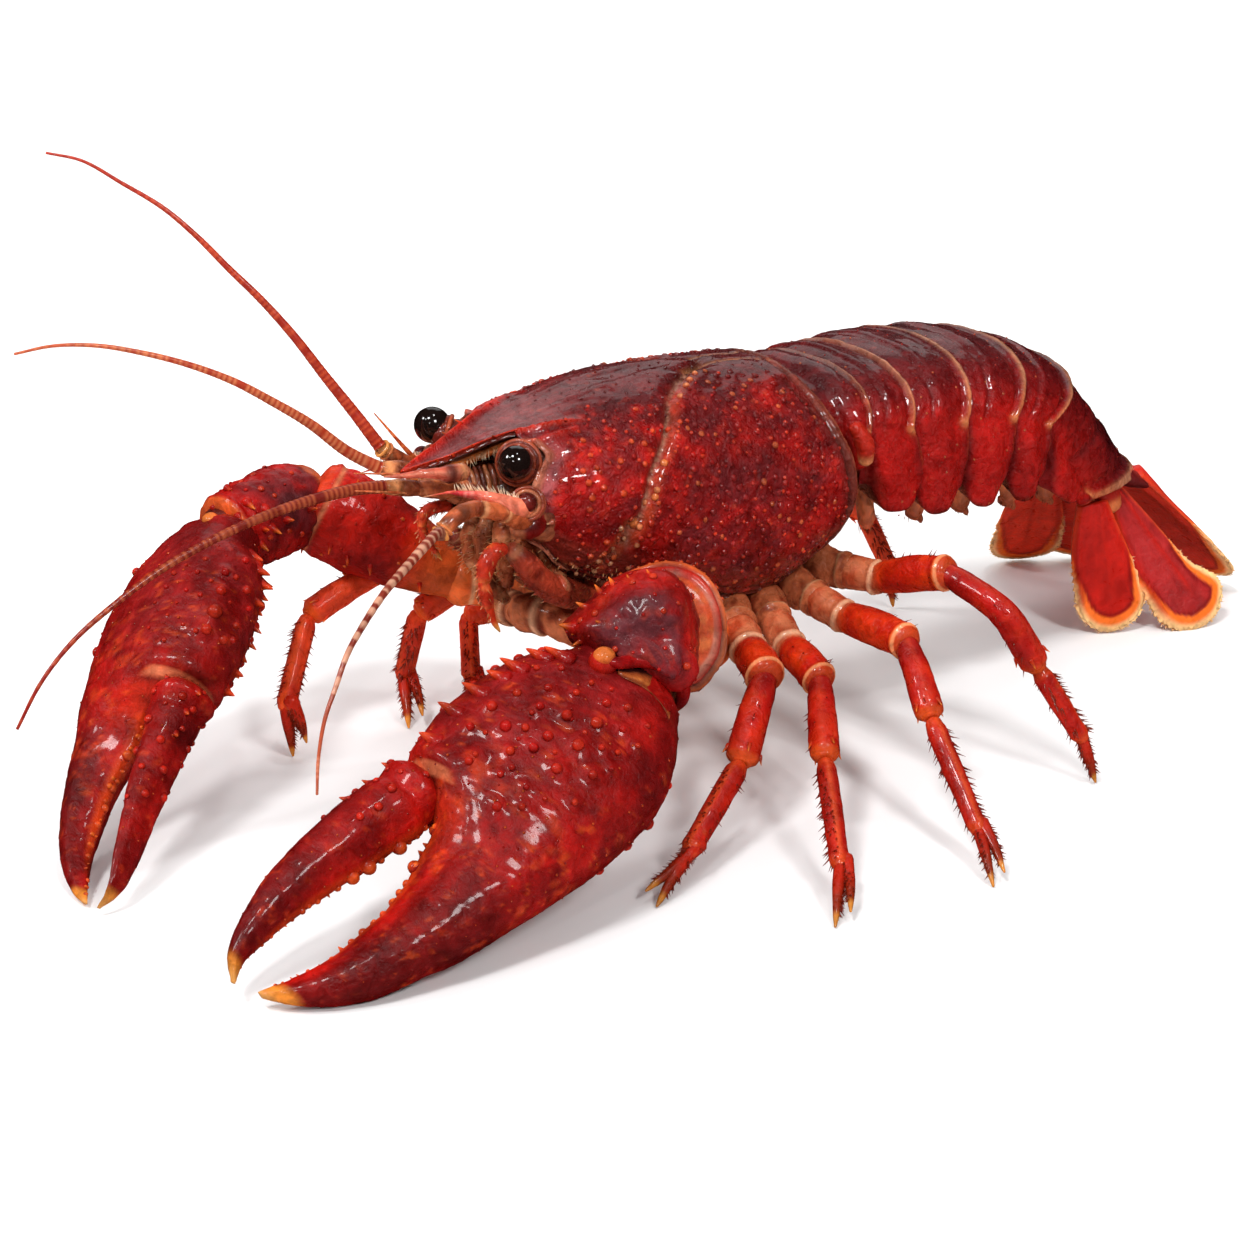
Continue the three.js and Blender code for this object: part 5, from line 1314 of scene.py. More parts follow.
NEAR_SPINES = [(968, 352), (895, 385), (842, 412), (780, 458), (705, 515), (640, 600), (1030, 352)]
FAR_SPINES = [(718, 375), (745, 465), (735, 570), (705, 660), (625, 805), (660, 745), (735, 420), (725, 520)]


def claw_colour(P, s, ang, seed, tipness, side):
    n1, n2, n3 = fbm(P, 0.20, seed), fbm(P, 0.7, seed + 1), fbm(P, 1.9, seed + 2)
    col = mixc(np.broadcast_to(lin(132, 8, 7), P.shape[:2] + (4,)), np.broadcast_to(lin(176, 16, 8), P.shape[:2] + (4,)), smooth(-0.25, 0.45, n1 + 0.3 * n2))
    col = mixc(col, lin(96, 8, 9), smooth(0.0, 0.55, -n1 + 0.35 * n3) * 0.7)
    return col, n1, n2, n3


def palm(side):
    near = side == "left"
    R, C = (250, 220) if near else (220, 180)
    P, s, ang, (w, d, e, n, k) = claw_grid(side, P_OUT, P_IN, P_H, R, C, -3.2, 46.3, False)
    N = normals(P, True)
    deg = np.degrees(ang)
    pc = Piece(f"claw_{side}_hand_shell")
    seed = 300 if near else 330
    top = np.clip(np.sin(ang), 0, 1)
    inn = np.clip(np.cos(ang), 0, 1)
    h = 0.16 * fbm(P, 0.22, seed) + 0.07 * fbm(P, 0.7, seed + 4) * smooth(46, 30, s)
    h += 0.022 * fbm(P * 1.0, 2.4, seed + 5)
    # lengthwise grooves on the fixed finger
    fing = smooth(25, 30, s) * smooth(46, 42, s)
    for a0, dep in ((62, 0.06), (118, 0.05), (245, 0.06), (300, 0.06)):
        h += -dep * bell((deg - a0), 9.0) * fing
    h += 0.035 * fbm(P * np.array([1, 1, 1.0]), 1.5, seed + 6) + 0.03 * noise(P, 3.1, seed + 8)
    # collar at the wrist and hollow rim where the finger is hinged
    h += 0.25 * bell(s - 0.6, 0.5) - 0.35 * bell(s + 0.9, 0.5)
    sock = bell(s - 22.0 + 0.0 * s, 0.9) * smooth(0.35, 0.75, np.cos(ang))
    h += 0.35 * bell(s - 20.6, 0.8) * smooth(0.2, 0.7, np.cos(ang))
    tree0 = bvh_of(P, True)
    # knobs on the shown side, where the photo has them
    px0, py0, sc = (220, 540, 3.015) if near else (30, 440, 3.2)
    ks = NEAR_KNOBS if near else FAR_KNOBS
    kc, kn = many_on_surface(tree0, [(px0 + a / sc, py0 + b / sc) for a, b, _ in ks])
    kr = np.array([r for _, _, r in ks]) / sc / 10.0 * 0.98
    P, mound = swell(P, N, kc, kr * 2.6, kr * 0.95)
    # more knobs of the same kind on the sides that the photo doesn't show
    wt = smooth(1.0, 3.0, s) * smooth(27, 18, s) * smooth(0.15, 0.6, inn + 0.25)
    away = smooth(0.15, -0.15, (N @ BACK))
    pts, nor, rnd = scatter(P, N, wt * away, 2.1, seed + 7, 500)
    keep = (nor @ BACK) < 0.1
    pts, nor, rnd = pts[keep], nor[keep], rnd[keep]
    P = P + N * h[..., None]
    N2 = normals(P, True)
    col, n1, n2, n3 = claw_colour(P, s, ang, seed + 10, None, side)
    # darker back of the fingers, mauve upper palm, orange by the hinge and the cutting edge
    cosr, sinr = np.cos(ang), np.sin(ang)
    fz = smooth(24, 30, s)
    col = mixc(col, lin(88, 5, 6), fz * smooth(-0.6, 0.3, sinr) * smooth(0.75, 0.2, cosr) * (0.70 + 0.25 * n2))
    upper = smooth(23, 14, s) * smooth(-1, 3, s) * smooth(-0.2, 0.5, cosr * 0.8 + sinr * 0.4)
    col = mixc(col, lin(124, 22, 24), upper * smooth(-0.35, 0.35, n1 + 0.5 * n2 + 0.15) * 0.85)
    col = mixc(col, lin(170, 12, 6), smooth(6, 14, s) * smooth(32, 22, s) * smooth(0.3, -0.5, cosr) * 0.55 * smooth(-0.4, 0.3, n2 + 0.2))
    col = mixc(col, lin(196, 44, 20), bell(s - 24.4, 2.6) * smooth(0.1, 0.8, cosr) * 0.7 * smooth(-0.5, 0.3, n2 + 0.25))
    col = mixc(col, lin(212, 66, 20), smooth(24, 27, s) * smooth(44, 38, s) * smooth(0.80, 0.98, cosr) * 0.75)
    col = mixc(col, lin(218, 116, 78), smooth(0.5, 0.25, np.abs(s - 21.75)) * smooth(0.45, 0.65, cosr) * 0.95)
    col = mixc(col, lin(120, 30, 18), bell(s - 22.4, 0.22) * smooth(0.45, 0.65, cosr) * 0.8)
    col = mixc(col, lin(214, 62, 18), smooth(0.15, 0.55, fbm(P, 0.8, seed + 31)) * smooth(12, 20, s) * smooth(38, 28, s) * 0.55)
    col = mixc(col, lin(214, 74, 24), smooth(0.30, 0.55, fbm(P, 1.6, seed + 32)) * smooth(2, 10, s) * smooth(44, 38, s) * 0.5)
    col = mixc(col, AMBER, smooth(44.3, 45.2, s))
    col = mixc(col, lin(238, 176, 104), smooth(45.5, 46.3, s) * 0.6)
    col = mixc(col, lin(196, 92, 48), smooth(0.2, -1.0, s) * 0.8)
    col = mixc(col, lin(176, 20, 12), mound * 0.35)
    add_tube(pc, P, col)
    tree = bvh_of(P, True)
    if len(kc):
        kc2, kn2 = many_on_surface(tree, [(px0 + a / sc, py0 + b / sc) for a, b, _ in ks])
        hot = np.array([(i * 7) % 5 for i in range(len(kc2))]) / 5.0
        tipc = mixc(np.broadcast_to(lin(172, 16, 10), (len(kc2), 4)), np.broadcast_to(lin(206, 56, 22), (len(kc2), 4)), hot * 0.6)
        add_domes(pc, kc2 - kn2 * (kr * 0.22)[:, None], kn2, kr * 0.92, kr * 0.86, lin(140, 12, 9), tipc, seg=10, rings=3)
    if len(pts):
        rr = 0.35 + 0.3 * rnd
        add_domes(pc, pts, nor, rr, rr * 0.8, lin(128, 12, 9), lin(190, 34, 14), seg=10, rings=3)
    # fine points all over
    wf = smooth(-1.0, 1.0, s) * smooth(45, 42, s) * (0.35 + 0.65 * smooth(30, 22, s))
    pts, nor, rnd = scatter(P, N2, wf, 1.15 if near else 1.3, seed + 8, 2400)
    rr = 0.06 + 0.10 * rnd * smooth(30, 20, ((pts - w) @ d) / k)
    tipc = mixc(np.broadcast_to(lin(150, 20, 10), (len(pts), 4)), np.broadcast_to(lin(214, 90, 36), (len(pts), 4)), (rnd > 0.7) * 0.8)
    add_domes(pc, pts, nor, rr, rr * 0.8, lin(130, 12, 8), tipc, seg=7, rings=2, lean=d * 0.05)
    # spines along the inner margin
    sp = NEAR_SPINES if near else FAR_SPINES
    for m, (a, b) in enumerate(sp):
        c, nn = on_surface(tree, px0 + a / sc, py0 + b / sc)
        E_, S_ = float((c - w) @ e), float((c - w) @ d)
        out = unit(1.0 * e + 0.30 * n * np.sign((c - w) @ n + 1e-6) + 0.22 * d)
        L = (2.0 if near else 1.7) * (1.0 + 0.15 * math.sin(m * 2.3))
        add_horns(pc, (c - out * 0.45)[None], out[None], 0.95 if near else 0.75, L, lin(150, 12, 9), lin(212, 64, 22), seg=14, rings=7, bend=d * 0.30, start=0.12)
    ss = np.linspace(3.5, 19.5, 9)
    for m, s_ in enumerate(ss):           # second row on the far side of that margin
        i = int(np.argmin(np.abs(s[:, 0] - s_)))
        j = int(C * (0.93 if near else 0.90)) % C
        c, nn = P[i, j], N2[i, j]
        add_horns(pc, (c - nn * 0.2)[None], unit(nn + 0.5 * d)[None], 0.5, 1.0 + 0.3 * math.sin(m * 1.7), lin(160, 16, 10), ORANGE, seg=8, rings=4, start=0.2)
    # teeth along the cutting edge
    rng = np.random.default_rng(seed + 20)
    s_ = 24.8
    while s_ < 45.2:
        big = 1.0
        if near and abs(s_ - 28.6) < 0.5:
            big = 1.9
        if not near and abs(s_ - 29.0) < 0.5:
            big = 1.9
        r_ = (0.26 + 0.16 * rng.random()) * big * (1 - 0.45 * smooth(36, 45, s_))
        i = int(np.argmin(np.abs(s[:, 0] - s_)))
        c = P[i, 0] + n * rng.uniform(-0.25, 0.25)
        way = unit(e + d * rng.uniform(-0.2, 0.25) + n * rng.uniform(-0.2, 0.3))[None]
        if big > 1 or rng.random() < 0.62:
            add_domes(pc, (c - e * 0.16)[None], way, r_ * 1.12, r_ * 1.30, lin(150, 18, 9), lin(208, 74, 26), seg=14, rings=6)
        else:
            add_horns(pc, (c - e * 0.25)[None], way, r_ * 1.15, r_ * 1.3 + 0.20, lin(170, 26, 12), lin(216, 88, 30), seg=9, rings=4, start=0.1)
        if rng.random() < 0.5:
            c2 = P[i, 8 if near else 6]
            add_domes(pc, c2[None], N2[i, 8 if near else 6][None], r_ * 0.8, r_ * 0.7, lin(190, 40, 14), lin(226, 96, 30), seg=9, rings=3)
        s_ += r_ * 2.3 + 0.14 + 0.5 * rng.random()
    return pc.make([f"claw_{side}_hand"], "claw_shell", M_CLAW)


def finger(side):
    near = side == "left"
    R, C = (170, 120) if near else (150, 100)
    # the right claw stands a little further open
    d_in = D_IN if near else [[q, v + 1.3 * float(smooth(25.0, 30.0, q)) * float(smooth(47.1, 43.5, q))] for q, v in D_IN]
    P, s, ang, (w, d, e, n, k) = claw_grid(side, D_OUT, d_in, D_H, R, C, 21.4, 47.1, True)
    N = normals(P, True)
    deg = np.degrees(ang)
    pc = Piece(f"claw_{side}_finger_shell")
    seed = 360 if near else 380
    fing = smooth(26, 30, s) * smooth(46.5, 43, s)
    h = 0.12 * fbm(P, 0.3, seed) + 0.05 * fbm(P, 0.9, seed + 1) + 0.02 * fbm(P, 2.4, seed + 2)
    for a0, dep in ((60, 0.06), (120, 0.06), (240, 0.06), (300, 0.06)):
        h += -dep * bell(deg - a0, 9.0) * fing
    h += 0.035 * fbm(P, 1.5, seed + 6) + 0.03 * noise(P, 3.1, seed + 8)
    h += 0.42 * bell(s - 23.2, 0.7) - 0.22 * bell(s - 24.9, 0.5)
    P = P + N * h[..., None]
    N2 = normals(P, True)
    col, n1, n2, n3 = claw_colour(P, s, ang, seed + 5, None, side)
    cosr, sinr = np.cos(ang), np.sin(ang)
    col = mixc(col, lin(92, 6, 8), smooth(-0.7, 0.2, sinr) * smooth(0.75, 0.2, cosr) * (0.55 + 0.3 * n2) * smooth(24, 29, s))
    col = mixc(col, lin(170, 14, 8), bell(s - 23.2, 0.9) * 0.7)
    col = mixc(col, lin(208, 60, 20), smooth(0.80, 0.97, cosr) * smooth(24, 27, s) * smooth(45, 40, s) * 0.75)
    col = mixc(col, lin(196, 92, 52), smooth(22.4, 21.6, s) * 0.9)
    col = mixc(col, lin(206, 60, 18), smooth(0.25, 0.55, fbm(P, 1.3, seed + 32)) * 0.4)
    col = mixc(col, AMBER, smooth(45.2, 46.1, s))
    col = mixc(col, lin(240, 176, 100), smooth(46.0, 47.0, s) * 0.6)
    add_tube(pc, P, col)
    # teeth
    rng = np.random.default_rng(seed + 9)
    j = 0
    s_ = 25.0
    while s_ < 46.0:
        big = 1.0
        if near and (abs(s_ - 33.0) < 0.6 or abs(s_ - 28.2) < 0.6 or abs(s_ - 30.8) < 0.6):
            big = 2.0
        r_ = (0.22 + 0.14 * rng.random()) * big * (1 - 0.45 * smooth(37, 46, s_))
        i = int(np.argmin(np.abs(s[:, 0] - s_)))
        c = P[i, j] + n * rng.uniform(-0.2, 0.2)
        way = unit(-e + d * rng.uniform(-0.2, 0.25) + n * rng.uniform(-0.2, 0.3))[None]
        if big > 1 or rng.random() < 0.62:
            add_domes(pc, (c + e * 0.16)[None], way, r_ * 1.10, r_ * 1.25, lin(150, 18, 9), lin(208, 74, 26), seg=14, rings=6)
        else:
            add_horns(pc, (c + e * 0.22)[None], way, r_ * 1.15, r_ * 1.3 + 0.18, lin(170, 26, 12), lin(216, 88, 30), seg=9, rings=4, start=0.1)
        s_ += r_ * 2.3 + 0.14 + 0.5 * rng.random()
    # knobs near the hinge and along the back
    wk = smooth(22.4, 23.2, s) * smooth(34 if near else 38, 26, s) * smooth(0.5, -0.1, cosr)
    pts, nor, rnd = scatter(P, N2, wk, 1.6, seed + 11, 120)
    rr = 0.22 + 0.26 * rnd
    add_domes(pc, pts, nor, rr, rr * 0.8, lin(124, 10, 8), lin(186, 30, 12), seg=10, rings=3)
    wf = smooth(23, 24, s) * smooth(46, 44, s)
    pts, nor, rnd = scatter(P, N2, wf, 1.2, seed + 12, 500)
    rr = 0.05 + 0.07 * rnd
    add_domes(pc, pts, nor, rr, rr * 0.8, lin(120, 10, 8), mixc(np.broadcast_to(lin(150, 20, 10), (len(pts), 4)), np.broadcast_to(lin(214, 90, 36), (len(pts), 4)), (rnd > 0.75) * 0.8), seg=7, rings=2)
    # small spines on the back near the hinge
    for s_ in (23.3, 25.6, 28.2):
        i = int(np.argmin(np.abs(s[:, 0] - s_)))
        c, nn = P[i, C // 2 - 3], N2[i, C // 2 - 3]
        add_horns(pc, (c - nn * 0.15)[None], unit(nn + 0.6 * d)[None], 0.42, 0.8, lin(160, 16, 10), lin(212, 76, 24), seg=8, rings=4, start=0.2)
    return pc.make([f"claw_{side}_finger"], "claw_shell", M_CLAW)


def lerp3(a, b, t):
    return (np.array(a, float) * (1 - t) + np.array(b, float) * t).tolist()


def arm(side):
    J = CLAW[side]["J"]
    near = side == "left"
    w, d, e, n, k = claw_axes(side)
    out = []
    # first short joints, tan and orange
    pc = Piece(f"claw_{side}_base_shell")
    cuff = lambda F, A, G: mixc(mixc(mixc(np.broadcast_to(lin(216, 112, 62), F.shape + (4,)), np.broadcast_to(lin(176, 72, 38), F.shape + (4,)), smooth(0.0, 0.5, fbm(G, 0.8, 77))), np.broadcast_to(lin(236, 168, 122), F.shape + (4,)), np.maximum(bell(F - 0.40, 0.025), bell(F - 0.94, 0.02))), np.broadcast_to(lin(226, 92, 32), F.shape + (4,)), smooth(0.5, 0.8, F) * (1 - bell(F - 0.94, 0.02)) * 0.7)
    a, b = np.array(J[0], float), np.array(J[1], float)
    add_limb(pc, [lerp3(a, b, -0.35 if near else -0.1), a.tolist(), lerp3(a, b, 0.5), b.tolist()],
             [[0, 2.3, 2.2], [0.3, 2.7, 2.5], [0.40, 2.4, 2.3], [0.48, 2.8, 2.6], [0.75, 3.0, 2.8], [0.92, 2.7, 2.6], [1, 2.9, 2.8]], cuff, n=60, cols=40, rough=0.12, seed=71)
    if near:
        chin = lambda F, A, G: mixc(mixc(mixc(np.broadcast_to(lin(200, 108, 68), F.shape + (4,)), np.broadcast_to(lin(140, 54, 28), F.shape + (4,)), smooth(-0.1, 0.4, fbm(G, 0.7, 78))), np.broadcast_to(lin(234, 170, 130), F.shape + (4,)), np.maximum(bell(F - 0.36, 0.02), bell(F - 0.68, 0.02))), np.broadcast_to(lin(100, 34, 20), F.shape + (4,)), np.maximum(bell(F - 0.40, 0.02), bell(F - 0.72, 0.02)) * 0.8)
        add_limb(pc, [at_pixel(a_, b_, d_).tolist() for a_, b_, d_ in ((486, 596, 7.5), (508, 607, 11.0), (532, 613, 14.0), (556, 618, 16.0), (590, 630, 16.0))], [[0, 1.0, 1.0], [0.2, 1.7, 1.6], [0.36, 1.9, 1.8], [0.40, 1.65, 1.6], [0.5, 2.0, 1.9], [0.68, 2.1, 2.0], [0.72, 1.85, 1.8], [0.85, 2.2, 2.1], [1, 2.2, 2.1]], chin, n=100, cols=50, rough=0.20, seed=79)
    pc.c = [kk * np.array([1.30, 1.30, 1.30, 1.0]) for kk in pc.c]
    out.append(pc.make([f"claw_{side}_base"], "claw_shell", M_CLAW))
    # upper arm
    pc = Piece(f"claw_{side}_upper_arm_shell")
    p0, p1, p2 = lerp3(J[1], J[2], 0.02), lerp3(J[1], J[2], 0.5), lerp3(J[1], J[2], 0.93)
    if near:
        p1, p2 = (np.array(p1) - RIGHT * 1.4).tolist(), (np.array(p2) - RIGHT * 2.4).tolist()

    def armcol(F, A, G):
        n1, n2 = fbm(G, 0.25, 401), fbm(G, 0.9, 402)
        c = mixc(np.broadcast_to(lin(160, 14, 8), F.shape + (4,)), np.broadcast_to(lin(110, 10, 10), F.shape + (4,)), smooth(-0.1, 0.5, n1))
        c = mixc(c, lin(178, 26, 10), smooth(0.1, 0.5, n2) * 0.5)
        if not near:
            c = mixc(np.broadcast_to(lin(190, 22, 9), F.shape + (4,)), np.broadcast_to(lin(150, 14, 9), F.shape + (4,)), smooth(-0.1, 0.5, n1))
        c = mixc(c, lin(224, 92, 36), smooth(0.46, 0.08, F) * 0.92)
        c = mixc(c, lin(216, 124, 84), bell(F - 0.935, 0.016) * 0.85)
        c = mixc(c, lin(200, 60, 24), smooth(0.95, 0.99, F) * 0.7)
        if near:
            c = mixc(c, lin(196, 96, 68), smooth(0.45, 0.8, F) * 0.75)
        return c
    G, N, F, A, fr = add_limb(pc, [p0, p1, p2], [[0, 2.3, 2.3], [0.12, 2.5, 2.5], [0.5, 3.1, 3.1], [0.80, 3.5, 3.4], [1.0, 3.0, 3.0]] if near else
                              [[0, 2.5, 2.4], [0.12, 2.9, 3.0], [0.4, 3.9, 4.2], [0.7, 4.5, 5.0], [0.88, 4.55, 4.9], [0.93, 4.4, 4.75], [0.96, 4.5, 4.85], [1.0, 4.2, 4.5]], armcol, n=120, cols=100, rough=0.22, seed=72, caps=(0.7, 0.25))
    tree = bvh_of(G, True)
    if near:
        outline = [(604, 600), (612, 582), (625, 573), (645, 565), (668, 561), (690, 565), (706, 575), (718, 591), (725, 612), (727, 635), (724, 658), (714, 676), (699, 691), (680, 692), (650, 676), (622, 650), (606, 622)]
        Gc, PHc, Ac = lump_grid(667, 630, 25.6, outline, 3.4, 5.0, [(0, 0.42), (120, 0.36), (200, 0.7), (300, 0.5)], R=150, C=230)
        Nc = normals(Gc, True)
        m1 = fbm(Gc, 0.5, 441)
        up_ = smooth(20, 75, Ac) * smooth(200, 140, Ac)
        hc = 0.30 * bell(PHc - 46, 5) - 0.26 * bell(PHc - 37, 4) + 0.24 * bell(PHc - 28, 5) - 0.20 * bell(PHc - 18, 4) + 0.10 * m1
        hc += 0.05 * np.sin(np.radians(Ac) * 55 + 2.5 * noise(Gc, 0.6, 442)) * smooth(30, 10, PHc) * (1 - up_)
        Gc = Gc + Nc * hc[..., None]
        cc = mixc(np.broadcast_to(lin(210, 136, 112), Gc.shape[:2] + (4,)), np.broadcast_to(lin(172, 76, 58), Gc.shape[:2] + (4,)), smooth(-0.2, 0.5, m1))
        cc = mixc(cc, lin(160, 20, 10), up_ * 0.9)
        cc = mixc(cc, lin(150, 22, 14), smooth(4, -22, PHc) * 0.88)
        cc = mixc(cc, lin(214, 96, 36), bell(PHc - 29, 4) * 0.85)
        cc = mixc(cc, lin(178, 26, 12), bell(PHc - 46, 6) * 0.9)
        cc = mixc(cc, lin(120, 34, 20), bell(PHc - 37, 3.5) * 0.8)
        cc = mixc(cc, lin(176, 96, 80), smooth(49, 52, PHc) * smooth(-0.3, 0.4, fbm(Gc, 0.7, 445)) * 0.8)
        cc = mixc(cc, lin(206, 70, 24), smooth(56, 61, PHc) * 0.85)
        cc = mixc(cc, lin(232, 140, 76), smooth(57, 62, PHc) * smooth(0.0, 0.4, fbm(Gc, 0.9, 444)) * 0.4)
        add_tube(pc, Gc, cc)
        ptsc, norc, rndc = scatter(Gc, normals(Gc, True), up_ * smooth(25, 15, PHc) * smooth(-40, -20, PHc), 1.1, 443, 80)
        add_domes(pc, ptsc, norc, 0.14 + 0.14 * rndc, 0.12 + 0.1 * rndc, lin(140, 14, 9), lin(210, 80, 30), seg=8, rings=3)
    seed = 410 if near else 420
    pts, nor, rnd = scatter(G, N, smooth(0.25, 0.4, F) * smooth(0.88, 0.80, F), 1.35, seed, 260)
    rr = 0.08 + 0.16 * rnd
    add_domes(pc, pts, nor, rr, rr * 0.8, lin(140, 14, 9), mixc(np.broadcast_to(lin(176, 30, 12), (len(pts), 4)), np.broadcast_to(lin(220, 96, 36), (len(pts), 4)), (rnd > 0.7) * 0.8), seg=8, rings=3)
    # on the right arm only: spines along the lower inner edge and at the far end
    if near:
        spots = []
    else:
        spots = [(286, 534), (321, 562), (345, 575), (367, 584), (392, 600), (421, 606), (303, 545), (395, 478), (362, 470)]
    for m, (px, py) in enumerate(spots):
        c, nn = on_surface(tree, px, py)
        dn = unit(-UP * 0.8 + nn * 0.6) if not near and py > 500 else unit(nn + UP * 0.5)
        add_horns(pc, (c - dn * 0.3)[None], dn[None], 0.42, 1.25 if not near else 0.9, lin(166, 18, 10), ORANGE, seg=8, rings=4, start=0.3)
    # the same on the side turned away
    for f_ in np.linspace(0.35, 0.85, 5):
        i = int(np.argmin(np.abs(F[:, 0] - f_)))
        jj = int(np.argmin(N[i] @ unit(BACK * 0.9 + UP * 0.6)))
        add_horns(pc, (G[i, jj] - N[i, jj] * 0.2)[None], N[i, jj][None], 0.4, 1.0, lin(166, 18, 10), ORANGE, seg=8, rings=4)
    out.append(pc.make([f"claw_{side}_upper_arm"], "claw_shell", M_CLAW))
    # wrist piece
    pc = Piece(f"claw_{side}_wrist_shell")

    def wristcol(F, A, G):
        n1, n2 = fbm(G, 0.28, 431), fbm(G, 0.9, 432)
        c = mixc(np.broadcast_to(lin(168, 14, 10), F.shape + (4,)), np.broadcast_to(lin(118, 14, 16), F.shape + (4,)), smooth(-0.2, 0.35, n1 + 0.3 * n2))
        # the part of the wrist turned towards the view is painted mauve: a painted sheen
        face = bell(F - 0.45, 0.30) * smooth(0.35, 0.8, unit(G - G.mean(axis=1, keepdims=True)) @ BACK)
        c = mixc(c, lin(96, 44, 48), face * 0.75 * smooth(-0.4, 0.3, n2 + 0.3))
        c = mixc(c, lin(176, 16, 10), smooth(0.78, 0.95, F) * 0.7)
        c = mixc(c, lin(214, 92, 34), smooth(0.985, 1.0, F) * 0.7)
        c = mixc(c, lin(206, 96, 50), smooth(0.10, 0.0, F) * 0.8)
        return c
    if near:
        outline = [(563, 627), (578, 611), (592, 600), (609, 583), (630, 573), (650, 569), (674, 575), (689, 590), (698, 618), (700, 645), (697, 668), (689, 686), (677, 691),
                   (661, 680), (646, 671), (630, 667), (615, 665), (600, 660), (584, 650), (571, 637)]
        flat = [(0, 0.55), (160, 0.75), (205, 0.55), (235, 0.22), (300, 0.18), (325, 0.30), (345, 0.5)]
        G, PH, A = lump_grid(640, 632, 29.8, outline, 6.9, 5.0, flat, R=150, C=230)
        N = normals(G, True)
        face = smooth(38, 75, PH)
        rimz = smooth(215, 240, A) * smooth(345, 325, A)
        n1, n2 = fbm(G, 0.35, 431), fbm(G, 1.1, 432)
        h = 0.42 * fbm(G, 0.42, 433) * smooth(-40, 0, PH) + 0.16 * n2 + 0.05 * noise(G, 2.6, 434)
        h += 0.60 * bell(PH - 46, 9) * rimz - 0.45 * bell(PH - 63, 6) * rimz
        h += 0.30 * bell(PH - 30, 8) * (1 - rimz) * smooth(10, 60, A) * smooth(170, 120, A)
        G = G + N * h[..., None]
        N = normals(G, True)
        col = mixc(np.broadcast_to(lin(150, 12, 9), G.shape[:2] + (4,)), np.broadcast_to(lin(116, 12, 14), G.shape[:2] + (4,)), smooth(-0.2, 0.35, n1 + 0.3 * n2))
        # mauve on the front face, the part turned towards the view: a painted sheen
        col = mixc(col, lin(100, 44, 50), face * 0.85 * smooth(-0.5, 0.2, n1 * 0.8 + n2 + 0.2))
        col = mixc(col, lin(176, 18, 10), bell(PH - 40, 16) * 0.6)
        col = mixc(col, lin(198, 50, 16), smooth(0.15, 0.6, n2) * 0.35)
        col = mixc(col, lin(160, 8, 8), rimz * bell(PH - 44, 12) * 0.8)
        col = mixc(col, lin(206, 74, 26), rimz * bell(PH - 27, 7) * 0.85)
        col = mixc(col, lin(96, 40, 26), rimz * smooth(20, 5, PH) * 0.9)
        add_tube(pc, G, col)
        F = np.where(PH > 0, 0.5, 0.0)
        wk = smooth(5, 20, PH) * smooth(88, 80, PH) * (1 - 0.8 * rimz * smooth(70, 50, PH))
    else:
        q = [lerp3(J[2], J[3], -0.02), lerp3(J[2], J[3], 0.50), lerp3(J[2], J[3], 0.98)]
        prof = [[0, 3.4, 3.5], [0.10, 3.9, 4.0], [0.4, 4.5, 4.5], [0.7, 4.4, 4.4], [0.88, 4.1, 4.1], [0.94, 3.95, 3.95], [0.97, 4.15, 4.15], [1.0, 3.9, 3.9]]
        G, N, F, A, fr = add_limb(pc, q, prof, wristcol, n=110, cols=110, rough=0.34, seed=74, caps=(0.5, 0.16))
        wk = smooth(0.12, 0.25, F) * smooth(0.90, 0.82, F)
    tree = bvh_of(G, True)
    pts, nor, rnd = scatter(G, N, wk, 1.45, seed + 3, 260)
    rr = 0.12 + 0.30 * rnd ** 1.6
    add_domes(pc, pts, nor, rr, rr * 0.7, lin(132, 12, 9), mixc(np.broadcast_to(lin(170, 20, 12), (len(pts), 4)), np.broadcast_to(lin(206, 66, 26), (len(pts), 4)), (rnd > 0.6) * 0.45), seg=12, rings=4)
    if near:
        spots = [(570, 627, 1.5, 0.75), (585, 607, 1.4, 0.55), (600, 592, 1.3, 0.5), (580, 642, 1.2, 0.5), (613, 584, 1.2, 0.5), (648, 572, 0.7, 0.32), (680, 580, 0.6, 0.3), (628, 577, 0.7, 0.3),
                 (598, 622, 0.7, 0.4), (575, 633, 0.8, 0.4)]
    else:
        spots = [(268, 512, 1.5, 0.62), (250, 505, 1.3, 0.55), (262, 545, 1.4, 0.55), (275, 530, 1.3, 0.55), (240, 520, 1.0, 0.45), (215, 512, 0.8, 0.4), (230, 490, 0.8, 0.4)]
    for px, py, L, r_ in spots:
        c, nn = on_surface(tree, px, py)
        left_img = unit(-RIGHT * 0.8 + nn * 0.35 + UP * (0.25 if py < 630 else -0.35)) if near else unit(RIGHT * 0.6 - UP * 0.6 + nn * 0.5)
        if near and py < 595:
            left_img = unit(-RIGHT * 0.45 + UP * 0.8 + nn * 0.2)
        add_horns(pc, (c - left_img * 0.4)[None], left_img[None], r_, L, lin(174, 20, 10), lin(228, 110, 34), seg=10, rings=5, start=0.25)
    if not near:
        for f_ in (0.3, 0.6, 0.85):
            i = int(np.argmin(np.abs(F[:, 0] - f_)))
            jj = int(np.argmax(N[i] @ unit(-BACK * 0.5 + e * 0.8)))
            add_horns(pc, (G[i, jj] - N[i, jj] * 0.2)[None], N[i, jj][None], 0.5, 1.3, lin(166, 18, 10), ORANGE, seg=8, rings=4)
    # hinge knob between wrist and hand
    if near:
        Pp = claw_grid("left", P_OUT, P_IN, P_H, 130, 130, -3.2, 46.3, False)[0]
        ptree = bvh_of(Pp, True)

